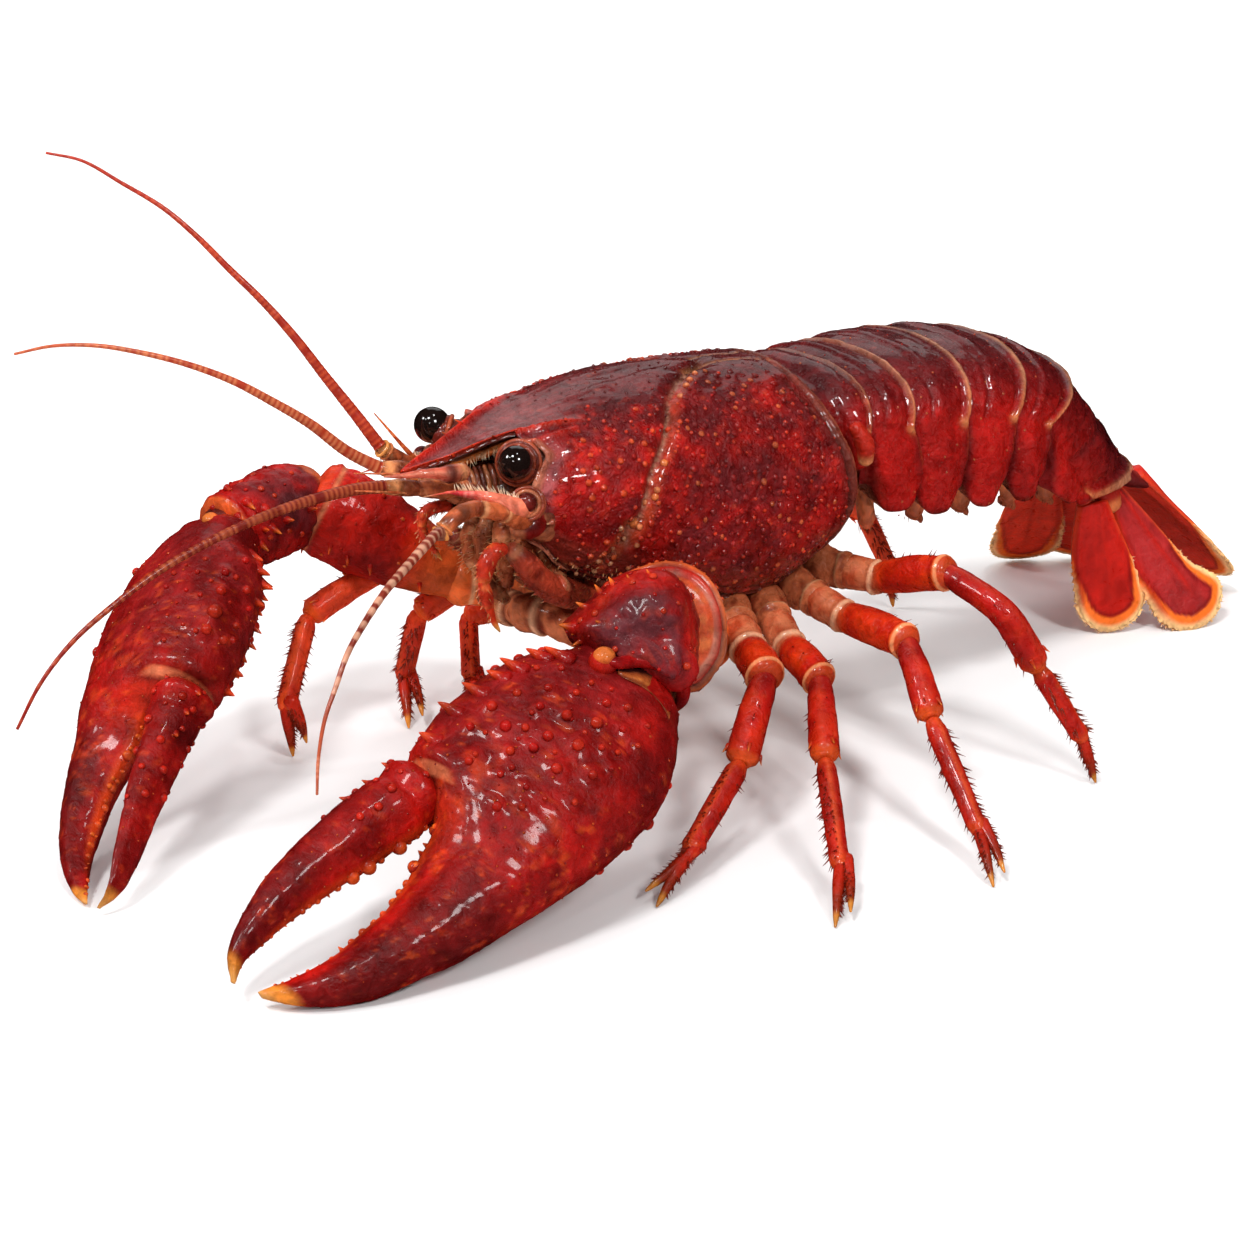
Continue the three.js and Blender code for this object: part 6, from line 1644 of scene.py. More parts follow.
        def hand_depth(a_, b_):
            c_, _ = on_surface(ptree, a_, b_)
            dep = float(c_ @ BACK)
            return dep if 24.0 < dep < 42.0 else 32.0
        dk = max(36.0, hand_depth(603, 668) + 0.9)
        c = at_pixel(603, 664, dk - 0.45)
        add_domes(pc, (c - BACK * 0.9)[None], unit(BACK * 0.8 + UP * 0.3 - RIGHT * 0.2)[None], 1.38, 1.5, lin(140, 10, 8), lin(176, 24, 13), seg=30, rings=12)
        # a smaller orange-yellow dome on the knob's top: a painted highlight
        c = at_pixel(604, 657.5, dk - 0.15)
        add_domes(pc, (c - BACK * 0.62)[None], unit(BACK * 0.8 + UP * 0.9)[None], 1.06, 0.92, lin(196, 60, 22), lin(222, 112, 46), seg=24, rings=10)
    else:
        c = w + d * 0.6 + n * 3.0 + e * 0.8
        add_domes(pc, (c - n * 0.4)[None], unit(n + 0.5 * BACK)[None], 0.95, 0.95, lin(190, 40, 14), lin(230, 120, 50), seg=16, rings=6)
    if near:                      # lip over the hand and the skin below it; the skin's dark upper band is painted shade for the hollow under the lip
        def on_hand(rows, lift):
            return [at_pixel(a_, b_, hand_depth(a_, b_) + lift).tolist() for a_, b_ in rows]
        lipc = lambda F, A, G: mixc(mixc(np.broadcast_to(lin(158, 8, 9), F.shape + (4,)), np.broadcast_to(lin(120, 8, 12), F.shape + (4,)), smooth(0.0, 0.4, fbm(G, 0.6, 454))), np.broadcast_to(lin(206, 66, 24), F.shape + (4,)), smooth(0.90, 1.0, F) * 0.6)
        upper_edge = [(618, 667), (626, 668), (639, 666), (654, 668), (667, 674), (675, 684), (678, 696), (671, 711)]
        lower_edge = [(618, 674), (626, 679), (639, 685), (652, 694), (661, 704), (666, 712), (668, 717), (669, 720)]
        up_ = Line(on_hand(upper_edge, 0.50))
        lo_ = Line(on_hand(lower_edge, 0.14))
        Rm, Cm = 90, 22
        fa = np.linspace(0, 1, Rm)
        U_, L_ = up_.at(fa * up_.length), lo_.at(fa * lo_.length)
        tt = np.linspace(0, 1, Cm)
        front_ = U_[:, None] * (1 - tt[None, :, None]) + L_[:, None] * tt[None, :, None]
        sag = -0.16 * np.sin(np.pi * tt)[None] - 0.22 * bell(tt - 0.72, 0.12)[None] * np.sin(np.pi * fa)[:, None]
        front_ = front_ - BACK * sag[..., None]
        ring_ = np.concatenate([front_, front_[:, ::-1] - BACK * 0.55], 1)
        tt2 = np.broadcast_to(np.concatenate([tt, tt[::-1]])[None], ring_.shape[:2])
        m_ = fbm(ring_, 0.9, 452)
        # dark towards the lip: painted shade of the hollow
        mc = mixc(np.broadcast_to(lin(48, 12, 12), ring_.shape[:2] + (4,)), np.broadcast_to(lin(170, 78, 36), ring_.shape[:2] + (4,)), smooth(0.38, 0.66, tt2 + 0.12 * m_))
        mc = mixc(mc, lin(216, 122, 56), bell(tt2 - 0.76, 0.10) * smooth(-0.3, 0.3, m_) * 0.8)
        mc = mixc(mc, lin(96, 30, 22), bell(tt2 - 0.92, 0.06) * 0.8)
        add_tube(pc, ring_, mc)
        lip = [at_pixel(a_, b_, max(d_, hand_depth(a_, b_ + 5) + 0.85) if b_ < 680 else d_).tolist() for a_, b_, d_ in ((606, 661, 34.6), (618, 663, 35.0), (632, 661, 35.6), (648, 661, 35.8), (663, 665, 35.6), (675, 674, 35.0), (683, 687, 33.8), (682, 699, 32.4), (677, 709, 31.0))]
        Gl, Nl, Fl, Al, frl = add_limb(pc, lip, [[0, 0.45, 0.45], [0.15, 0.62, 0.62], [0.5, 0.70, 0.70], [0.8, 0.66, 0.66], [0.92, 0.50, 0.50], [1, 0.25, 0.25]], lipc, n=90, cols=40, rough=0.08, seed=457)
    # soft joint skin inside the rim
    skin = lambda F, A, G: mixc(np.broadcast_to(lin(150, 62, 40), F.shape + (4,)), np.broadcast_to(lin(96, 30, 22), F.shape + (4,)), smooth(0.3, 0.8, F))
    add_limb(pc, [lerp3(J[2], J[3], 0.70), lerp3(J[2], J[3], 0.9), (w + d * 0.4).tolist()], [[0, 3.4, 3.6], [0.6, 3.4, 3.6], [1, 2.9, 2.7]] if near else [[0, 3.4, 3.4], [0.6, 3.3, 3.2], [1, 2.9, 2.8]], skin, n=30, cols=44, rough=0.25, seed=75)
    out.append(pc.make([f"claw_{side}_wrist"], "claw_shell", M_CLAW))
    return out


# ================================================================== walking legs
LEGS = {
    "leg_left_1": [[9.6, 5.2, 15.6], [16.4, 2.3, 14.1], [21.1, 0.3, 13.6], [25.6, -6.4, 8.0], [29.4, -15.6, 3.1], [31.9, -21.5, 0.25]],
    "leg_left_2": [[9.8, 9.6, 15.6], [17.3, 6.7, 13.7], [23.4, 5.2, 12.7], [31.0, -0.7, 8.8], [40.2, -6.8, 3.1], [44.8, -11.4, 0.25]],
    "leg_left_3": [[9.4, 14.0, 16.0], [16.6, 14.5, 14.8], [26.4, 13.6, 15.5], [33.2, 10.7, 10.7], [42.9, 8.0, 3.3], [47.8, 5.3, 0.25]],
    "leg_left_4": [[8.6, 18.6, 16.9], [14.9, 20.4, 17.0], [23.7, 21.3, 20.0], [30.7, 22.2, 17.8], [33.0, 25.2, 11.9], [36.7, 28.0, 5.0], [37.8, 29.2, 0.25]],
    "leg_right_1": [[-9.6, 4.6, 15.6], [-15.1, -4.8, 15.9], [-20.5, -14.0, 16.3], [-21.5, -24.3, 12.5], [-15.5, -31.0, 6.3], [-16.4, -29.9, 0.25]],
    "leg_right_2": [[-9.8, 8.8, 15.6], [-12.6, 2.0, 14.2], [-14.6, -6.6, 15.0], [-17.4, -13.6, 11.5], [-19.3, -14.4, 4.0], [-15.0, -16.8, 0.25]],
    "leg_right_3": [[-9.4, 13.6, 16.0], [-13.2, 6.6, 13.0], [-15.8, -1.4, 9.6], [-20.6, -5.2, 8.2], [-17.4, -7.2, 2.6], [-15.0, -9.0, 0.25]],
    "leg_right_4": [[-8.6, 18.6, 16.9], [-10.4, 25.2, 18.2], [-11.4, 33.8, 17.6], [-9.4, 40.6, 12.8], [-8.2, 43.4, 6.4], [-9.3, 45.6, 0.25]],
}


def bristles(pc, G, N, F, D, count, seed, f0, f1, L=0.55, r=0.07, spread=0.9, colour=None):
    rng = np.random.default_rng(seed)
    R, C = F.shape
    rows = np.nonzero((F[:, 0] > f0) & (F[:, 0] < f1))[0]
    if not len(rows):
        return
    # in a few lengthwise rows
    lanes = rng.choice(C, size=4, replace=False)
    i = rng.choice(rows, size=count)
    j = lanes[rng.integers(0, 4, count)] + rng.integers(-1, 2, count)
    c, nn = G[i, j % C], N[i, j % C]
    dd = unit(nn * spread + D[i] * 0.8 + rng.normal(0, 0.12, (count, 3)))
    col = lin(120, 30, 14) if colour is None else colour
    add_horns(pc, c, dd, r, L * rng.uniform(0.7, 1.4, count), col, lin(96, 26, 12), seg=5, rings=3, sink=0.15)


def leg(name):
    pts = np.array(LEGS[name], float)
    n = len(pts)
    k = int(name[-1])
    left = "left" in name
    fat = 1.12 if name == "leg_left_1" else 1.0
    if not left:
        fat = 0.98
    base = [1.7, 1.62, 1.62, 1.42, 1.0, 0.24] if n == 6 else [1.7, 1.62, 1.62, 1.42, 1.3, 0.95, 0.24]
    r = [b * fat for b in base]
    cut = [2, 3] if n == 6 else [2, 4]
    seed = 500 + 20 * k + (0 if left else 7)
    hip = pts[0]
    inner = hip + unit(np.array([-hip[0] * 0.9, 0, 3.0])) * 2.4
    # ---------- thigh piece: three short tan joints, then the long one
    pc = Piece(f"{name}_thigh_shell")
    knee, p1 = pts[2], pts[1]
    a, b = hip, p1
    q0, q1, q2 = a, a * 0.45 + b * 0.55, b
    tan1 = lambda F, A, G: mixc(mixc(np.broadcast_to(lin(190, 100, 62), F.shape + (4,)), np.broadcast_to(lin(128, 48, 26), F.shape + (4,)), smooth(-0.1, 0.5, fbm(G, 0.9, seed))), np.broadcast_to(lin(224, 160, 116), F.shape + (4,)), bell(F - 0.90, 0.03) * 0.8)
    add_limb(pc, [inner.tolist(), (a * 0.97 + b * 0.03).tolist(), (a * 0.55 + b * 0.45).tolist()], [[0, 1.9 * fat, 2.0 * fat], [0.5, 2.05 * fat, 2.15 * fat], [0.85, 1.7 * fat, 1.8 * fat], [0.93, 1.9 * fat, 2.0 * fat], [1, 1.75 * fat, 1.85 * fat]], tan1, n=44, cols=34, rough=0.22, seed=seed)

    def isch(F, A, G):
        c = mixc(np.broadcast_to(lin(206, 112, 74), F.shape + (4,)), np.broadcast_to(lin(180, 70, 38), F.shape + (4,)), smooth(-0.3, 0.4, fbm(G, 0.8, seed + 2)))
        c = mixc(c, lin(238, 176, 136), bell(F - 0.97, 0.05) * 0.9)
        return mixc(c, lin(214, 140, 104), bell(F - 0.04, 0.05) * 0.7)
    add_limb(pc, [(a * 0.58 + b * 0.42).tolist(), (a * 0.28 + b * 0.72).tolist(), (a * 0.0 + b * 1.0).tolist()], [[0, 1.55 * fat, 1.62 * fat], [0.25, 1.72 * fat, 1.8 * fat], [0.8, 1.62 * fat, 1.7 * fat], [0.92, 1.78 * fat, 1.86 * fat], [1, 1.62 * fat, 1.7 * fat]], isch, n=46, cols=34, rough=0.14, seed=seed + 1)

    def mer(F, A, G):
        n1 = fbm(G, 0.6, seed + 4)
        c = mixc(np.broadcast_to(lin(206, 50, 12) if left else lin(222, 88, 40), F.shape + (4,)), np.broadcast_to(lin(184, 26, 8) if left else lin(206, 62, 24), F.shape + (4,)), smooth(-0.3, 0.4, n1))
        c = mixc(c, lin(206, 96, 52), smooth(0.16, 0.0, F) * 0.85)
        c = mixc(c, lin(214, 84, 28), smooth(0.935, 0.955, F) * 0.8)
        c = mixc(c, lin(232, 160, 110), bell(F - 0.992, 0.012) * 0.75)
        c = mixc(c, lin(176, 54, 22), smooth(1.0, 1.02, F) * 0.9)
        return mixc(c, lin(150, 18, 8), bell(F - 0.92, 0.02) * 0.5)
    m0, m1 = p1 * 1.0 + 0 * knee, knee
    G, N, F, A, fr = add_limb(pc, [(m0 * 0.97 + m1 * 0.03).tolist(), (m0 * 0.5 + m1 * 0.5 + np.array([0, 0, 0.15])).tolist(), m1.tolist()],
                              [[0, 1.42 * fat, 1.5 * fat], [0.15, 1.62 * fat, 1.72 * fat], [0.55, 1.72 * fat, 1.85 * fat], [0.86, 1.70 * fat, 1.80 * fat], [0.925, 1.68 * fat, 1.78 * fat], [0.95, 1.80 * fat, 1.88 * fat], [0.985, 1.78 * fat, 1.86 * fat], [1, 1.60 * fat, 1.68 * fat]],
                              mer, n=80, cols=40, rough=0.11, seed=seed + 3, caps=(0.7, 0.5))
    bristles(pc, G, N, F, fr["D"], 10, seed + 5, 0.3, 0.98, L=0.6, r=0.08)
    # the right legs lie in shade on the far side: their colours are raised 1.5 times, painted light lifting that shade
    if not left:
        pc.c = [kk * np.array([1.50, 1.45, 1.35, 1.0]) for kk in pc.c]
    pc.make([f"{name}_thigh"], "leg_shell", M_LEG)
    # ---------- shin piece
    pc = Piece(f"{name}_shin_shell")

    def shin(F, A, G):
        n1 = fbm(G, 0.6, seed + 6)
        c = mixc(np.broadcast_to(lin(172, 16, 8) if left else lin(206, 66, 34), F.shape + (4,)), np.broadcast_to(lin(192, 36, 12) if left else lin(190, 44, 20), F.shape + (4,)), smooth(-0.2, 0.4, n1))
        c = mixc(c, lin(112, 12, 12), smooth(0.40, 0.05, F) * (0.6 if left else 0.1))
        # darker at the two sides and a lighter line along the top: painted shade and a painted highlight
        c = mixc(c, lin(128, 12, 9), bell(np.sin(A), 0.35) * 0.35)
        c = mixc(c, lin(210, 78, 24), smooth(0.90, 0.98, F) * 0.8)
        return mixc(c, lin(198, 60, 36), bell(A - 1.4, 0.25) * 0.4)
    sp = pts[cut[0]:cut[1] + 1]
    st = [(sp[0] * 0.93 + sp[1] * 0.07).tolist()] + [p.tolist() for p in sp[1:-1]] + [sp[-1].tolist()]
    if len(st) == 2:
        st = [st[0], (np.array(st[0]) * 0.5 + np.array(st[1]) * 0.5 + np.array([0, 0, 0.25])).tolist(), st[1]]
    G, N, F, A, fr = add_limb(pc, st, [[0, 1.12 * fat, 1.16 * fat], [0.08, 1.22 * fat, 1.26 * fat], [0.35, 1.34 * fat, 1.38 * fat], [0.72, 1.44 * fat, 1.48 * fat], [0.90, 1.46 * fat, 1.48 * fat], [0.955, 1.40 * fat, 1.40 * fat], [0.975, 1.12 * fat, 1.12 * fat], [1, 0.92 * fat, 0.92 * fat]],
                              shin, n=80, cols=40, rough=0.09, seed=seed + 7, caps=(0.8, 0.35))
    # small spines round the far rim
    for j in range(0, 40, 10):
        i = int(np.argmin(np.abs(F[:, 0] - 0.955)))
        add_horns(pc, G[i - 6, (j + 3) % 40][None], unit(N[i, (j + 3) % 40] * 0.6 + fr["D"][i])[None], 0.24, 0.85, lin(180, 40, 14), AMBER, seg=6, rings=3)
    bristles(pc, G, N, F, fr["D"], 8, seed + 8, 0.3, 0.95, L=0.55, r=0.08)
    # right legs: colours raised 1.5 times, painted light lifting their shade
    if not left:
        pc.c = [kk * np.array([1.50, 1.45, 1.35, 1.0]) for kk in pc.c]
    pc.make([f"{name}_shin"], "leg_shell", M_LEG)
    # ---------- foot piece: long hand part and its small fingers
    pc = Piece(f"{name}_foot_shell")
    fp = pts[cut[1]:]
    a, b, t = fp[0], fp[1], fp[2]
    chela = k != 4

    def hand(F, A, G):
        n1 = fbm(G, 0.7, seed + 9)
        c = mixc(np.broadcast_to(lin(182, 28, 10) if left else lin(200, 62, 30), F.shape + (4,)), np.broadcast_to(lin(158, 16, 8) if left else lin(180, 40, 20), F.shape + (4,)), smooth(-0.2, 0.4, n1))
        # a pale line along the top is a painted highlight, with painted shade in the two lanes beside it
        c = mixc(c, lin(214, 84, 40), bell(A - 1.5, 0.16) * 0.7)
        c = mixc(c, lin(116, 12, 9), (bell(A - 0.7, 0.25) + bell(A - 2.3, 0.25)) * 0.4)
        c = mixc(c, lin(204, 66, 24), smooth(0.10, 0.0, F) * 0.6)
        return mixc(c, lin(206, 70, 24), smooth(0.9, 1.0, F) * 0.6)

    def toe(F, A, G):
        c = mixc(np.broadcast_to(lin(170, 30, 10), F.shape + (4,)), np.broadcast_to(lin(134, 36, 12), F.shape + (4,)), smooth(0.3, 0.7, F))
        return mixc(c, lin(196, 122, 44), smooth(0.76, 0.88, F))
    ra, rb = (0.98 if left else 1.05) * fat, (0.84 if left else 0.95) * fat
    G, N, F, A, fr = add_limb(pc, [(a * 0.94 + b * 0.06).tolist(), (a * 0.5 + b * 0.5).tolist(), b.tolist()], [[0, ra * 0.8, ra * 0.85], [0.08, ra, ra * 1.05], [0.4, ra * 1.0, ra * 1.05], [0.8, rb * 1.1, rb * 1.12], [0.95, rb * 1.12, rb * 1.12], [1, rb * 0.9, rb * 0.9]],
                              hand, n=90, cols=36, rough=0.06, seed=seed + 10)
    bristles(pc, G, N, F, fr["D"], 70, seed + 11, 0.08, 0.97, L=0.68, r=0.095)
    dl = unit(t - b)
    G2, N2, F2, A2, fr2 = add_limb(pc, [(b - dl * 0.2).tolist(), (b * 0.5 + t * 0.5 + np.array([0, 0, 0.2])).tolist(), t.tolist()], [[0, rb * 0.72, rb * 0.75], [0.3, rb * 0.70, rb * 0.72], [0.7, rb * 0.46, rb * 0.5], [0.9, rb * 0.28, rb * 0.28], [1, 0.12, 0.12]],
                                   toe, n=50, cols=22, rough=0.03, seed=seed + 12)
    bristles(pc, G2, N2, F2, fr2["D"], 90, seed + 13, 0.05, 0.82, L=0.46, r=0.075, spread=0.8)
    if chela:
        dx = np.array([0.9 if left else 1.4, 0.9, 0.0])
        c_end = b * 0.20 + t * 0.80 + dx
        c_end[2] = b[2] * 0.28 + t[2] * 0.72 + 0.15
        if name == "leg_left_1":
            c_end = t + np.array([-1.25, -0.25, 1.15])
        st0 = b + 0.4 * dx - dl * 0.8
        G3, N3, F3, A3, fr3 = add_limb(pc, [st0.tolist(), (st0 * 0.5 + c_end * 0.5 + 0.12 * dx).tolist(), c_end.tolist()], [[0, rb * 0.8, rb * 0.85], [0.3, rb * 0.66, rb * 0.68], [0.7, rb * 0.44, rb * 0.44], [0.9, rb * 0.26, rb * 0.26], [1, 0.12, 0.12]],
                                       toe, n=44, cols=20, rough=0.03, seed=seed + 14)
        bristles(pc, G3, N3, F3, fr3["D"], 70, seed + 15, 0.1, 0.82, L=0.44, r=0.075, spread=0.8)
    # right legs: colours raised 1.5 times, painted light lifting their shade
    if not left:
        pc.c = [kk * np.array([1.50, 1.45, 1.35, 1.0]) for kk in pc.c]
    pc.make([f"{name}_foot"], "leg_shell", M_LEG)


# ================================================================== feelers, eyes, mouth
FEELERS = {
    "feeler_right_upper": [(-7.0, -24.4, 34.4), (-8.5, -26.1, 37.6), (-10.3, -28.1, 41.2), (-12.2, -30.2, 45.1), (-14.2, -32.4, 48.6), (-16.2, -34.5, 51.5), (-18.1, -36.7, 54.6), (-20.1, -38.9, 57.2), (-22.6, -41.7, 59.5), (-25.1, -44.3, 61.5), (-27.3, -46.8, 62.2)],
    "feeler_right_lower": [(-4.7, -25.9, 33.1), (-5.9, -28.8, 35.1), (-7.3, -31.9, 38.1), (-8.6, -35, 40.5), (-10, -38.3, 42.8), (-11.6, -42, 44.7), (-13.2, -45.7, 46.1), (-14.8, -49.4, 47.1), (-16.3, -53.1, 47.4), (-17.7, -56.3, 46.9)],
    "feeler_left_upper": [(2.2, -30.1, 34.1), (2.2, -33.2, 34.5), (2.2, -38, 34.5), (2.2, -43.2, 34), (2.2, -48.3, 33), (2.2, -53.4, 31.5), (2.2, -58, 29.5), (2.2, -62.6, 26.9), (2.2, -65.9, 23.9), (2.2, -68.5, 20.2)],
    "feeler_left_lower": [(8.8, -28.4, 30.9), (11.1, -30.3, 32.2), (13.6, -35.2, 31.0), (15.6, -39.1, 29.9), (17.2, -42.5, 28.1), (18.5, -45, 26.5), (19.5, -46.9, 24.3), (20.4, -48.7, 22), (20.9, -49.8, 18.8), (21.1, -50.2, 15.7)],
}


def ringed(pc, points, r0, r1, colour_a, colour_b, ring=0.42, cols=12, tipcol=None, power=0.75):
    ln = Line(points)
    n = int(ln.length / 0.10)
    f = np.linspace(0, 1, n)
    rr = r0 + (r1 - r0) * f ** power
    # ring spacing shrinks towards the tip
    phase = np.cumsum(np.r_[0, np.diff(f * ln.length) / (ring * (1 - 0.45 * f[1:]))])
    wave = 0.5 + 0.5 * np.cos(2 * np.pi * phase)
    rad = rr * (1 + 0.07 * (wave - 0.5))
    P, D = ln.at(f * ln.length), ln.dirs(f * ln.length)
    S = np.empty_like(D)
    s = np.cross(D[0], np.array([0.1, 0.2, 1.0]))
    for i in range(n):
        s = s - (s @ D[i]) * D[i]
        s = s / np.linalg.norm(s)
        S[i] = s
    U = np.cross(S, D)
    ang = np.linspace(0, 2 * np.pi, cols, endpoint=False)
    G = P[:, None] + rad[:, None, None] * (np.cos(ang)[None, :, None] * S[:, None] + np.sin(ang)[None, :, None] * U[:, None])
    m = np.clip((wave - 0.45) * 3.0, 0, 1)[:, None] + 0 * ang[None]
    col = mixc(np.broadcast_to(colour_a, (n, cols, 4)), np.broadcast_to(colour_b, (n, cols, 4)), m * 0.58)
    tc = lin(200, 96, 60) if tipcol is None else tipcol
    col = mixc(col, tc, (smooth(0.55, 1.0, f) * 0.6)[:, None] + 0 * ang[None])
    add_tube(pc, G, col)
    return P, D


def feelers():
    for name, pts in FEELERS.items():
        pc = Piece(name + "_whip")
        if name == "feeler_left_lower":
            ringed(pc, pts, 0.58, 0.12, lin(120, 40, 26), lin(226, 172, 140), ring=0.42, cols=14)
        elif name == "feeler_left_upper":
            ringed(pc, pts, 0.66, 0.14, lin(110, 22, 12), lin(186, 92, 52), ring=0.55, cols=14, tipcol=lin(150, 26, 14))
        elif name == "feeler_right_lower":
            ringed(pc, pts, 0.70, 0.13, lin(160, 48, 22), lin(224, 138, 88), ring=0.62, cols=14)
        else:
            ringed(pc, pts, 0.70, 0.13, lin(150, 34, 16), lin(206, 84, 46), ring=0.62, cols=14, tipcol=lin(176, 50, 36))
        pc.make([name], "feeler", M_FEEL)


def eyes():
    for nm, sx in (("left", 1), ("right", -1)):
        c = np.array([6.6 * sx, -18.3, 35.1])
        inner = np.array([3.7 * sx, -16.7, 33.2])
        d = unit(c - inner)
        pc = Piece(f"eye_{nm}_ball")
        R, C = 40, 56
        ref = np.array([0, 0, 1.0])
        a = unit(np.cross(d, ref))
        b = np.cross(a, d)
        ph = np.linspace(0.02, math.pi - 0.02, R)
        ang = np.linspace(0, 2 * np.pi, C, endpoint=False)
        r = 1.66 if nm == "left" else 1.78
        if nm == "right":
            c = c + np.array([-0.3, -0.1, 0.25])
        G = c + r * (np.cos(ph)[:, None, None] * d + np.sin(ph)[:, None, None] * (np.cos(ang)[None, :, None] * a + np.sin(ang)[None, :, None] * b))
        add_tube(pc, G, lin(22, 13, 11))
        pc.make([f"eye_{nm}"], "eye", M_EYE)
        # stalk behind the ball; the ringed socket skin round it is built in head()
        pc = Piece(f"eye_{nm}_stalk")
        G, N, F, A, fr = add_limb(pc, [(inner - d * 1.0).tolist(), inner.tolist(), (c - d * 0.7).tolist()], [[0, 1.2, 1.1], [0.5, 1.25, 1.2], [0.9, 1.5, 1.45], [1, 1.3, 1.3]], lin(92, 24, 16), n=30, cols=30, rough=0.08)
        pc.make([], "mouthparts", M_MOUTH)


def torus(pc, c, nrm, R0, r0, col, seg=40, ring=9, squash=1.0, tilt=None):
    nrm = unit(np.array(nrm, float))
    X, Y = side_frames(nrm[None])
    X, Y = X[0], Y[0]
    t = np.linspace(0, 2 * np.pi, seg, endpoint=False)
    a = np.linspace(0, 2 * np.pi, ring, endpoint=False)
    dirv = np.cos(t)[:, None] * X + squash * np.sin(t)[:, None] * Y
    P = c + (R0 + r0 * np.cos(a))[None, :, None] * dirv[:, None] + (r0 * np.sin(a))[None, :, None] * nrm
    i = np.arange(seg * ring).reshape(seg, ring)
    j, k_, l = np.roll(i, -1, 0), np.roll(np.roll(i, -1, 0), -1, 1), np.roll(i, -1, 1)
    q = np.stack([i, j, k_, l], -1).reshape(-1, 4)
    V = P.reshape(-1, 3)
    A_, B_, C_ = V[q[:, 0]], V[q[:, 1]], V[q[:, 2]]
    ctr = (c + R0 * dirv)[:, None].repeat(ring, 1).reshape(-1, 3)[q[:, 0]]
    if np.sum(np.cross(B_ - A_, C_ - A_) * (A_ - ctr)) < 0:
        q = q[:, ::-1]
    pc.add(V, q, [], col)


def pix(*rows):
    """Points given by their place in the picture and their distance along BACK."""
    return [at_pixel(*r).tolist() for r in rows]


def mirror(path):
    return [[-q[0], q[1], q[2]] for q in path]


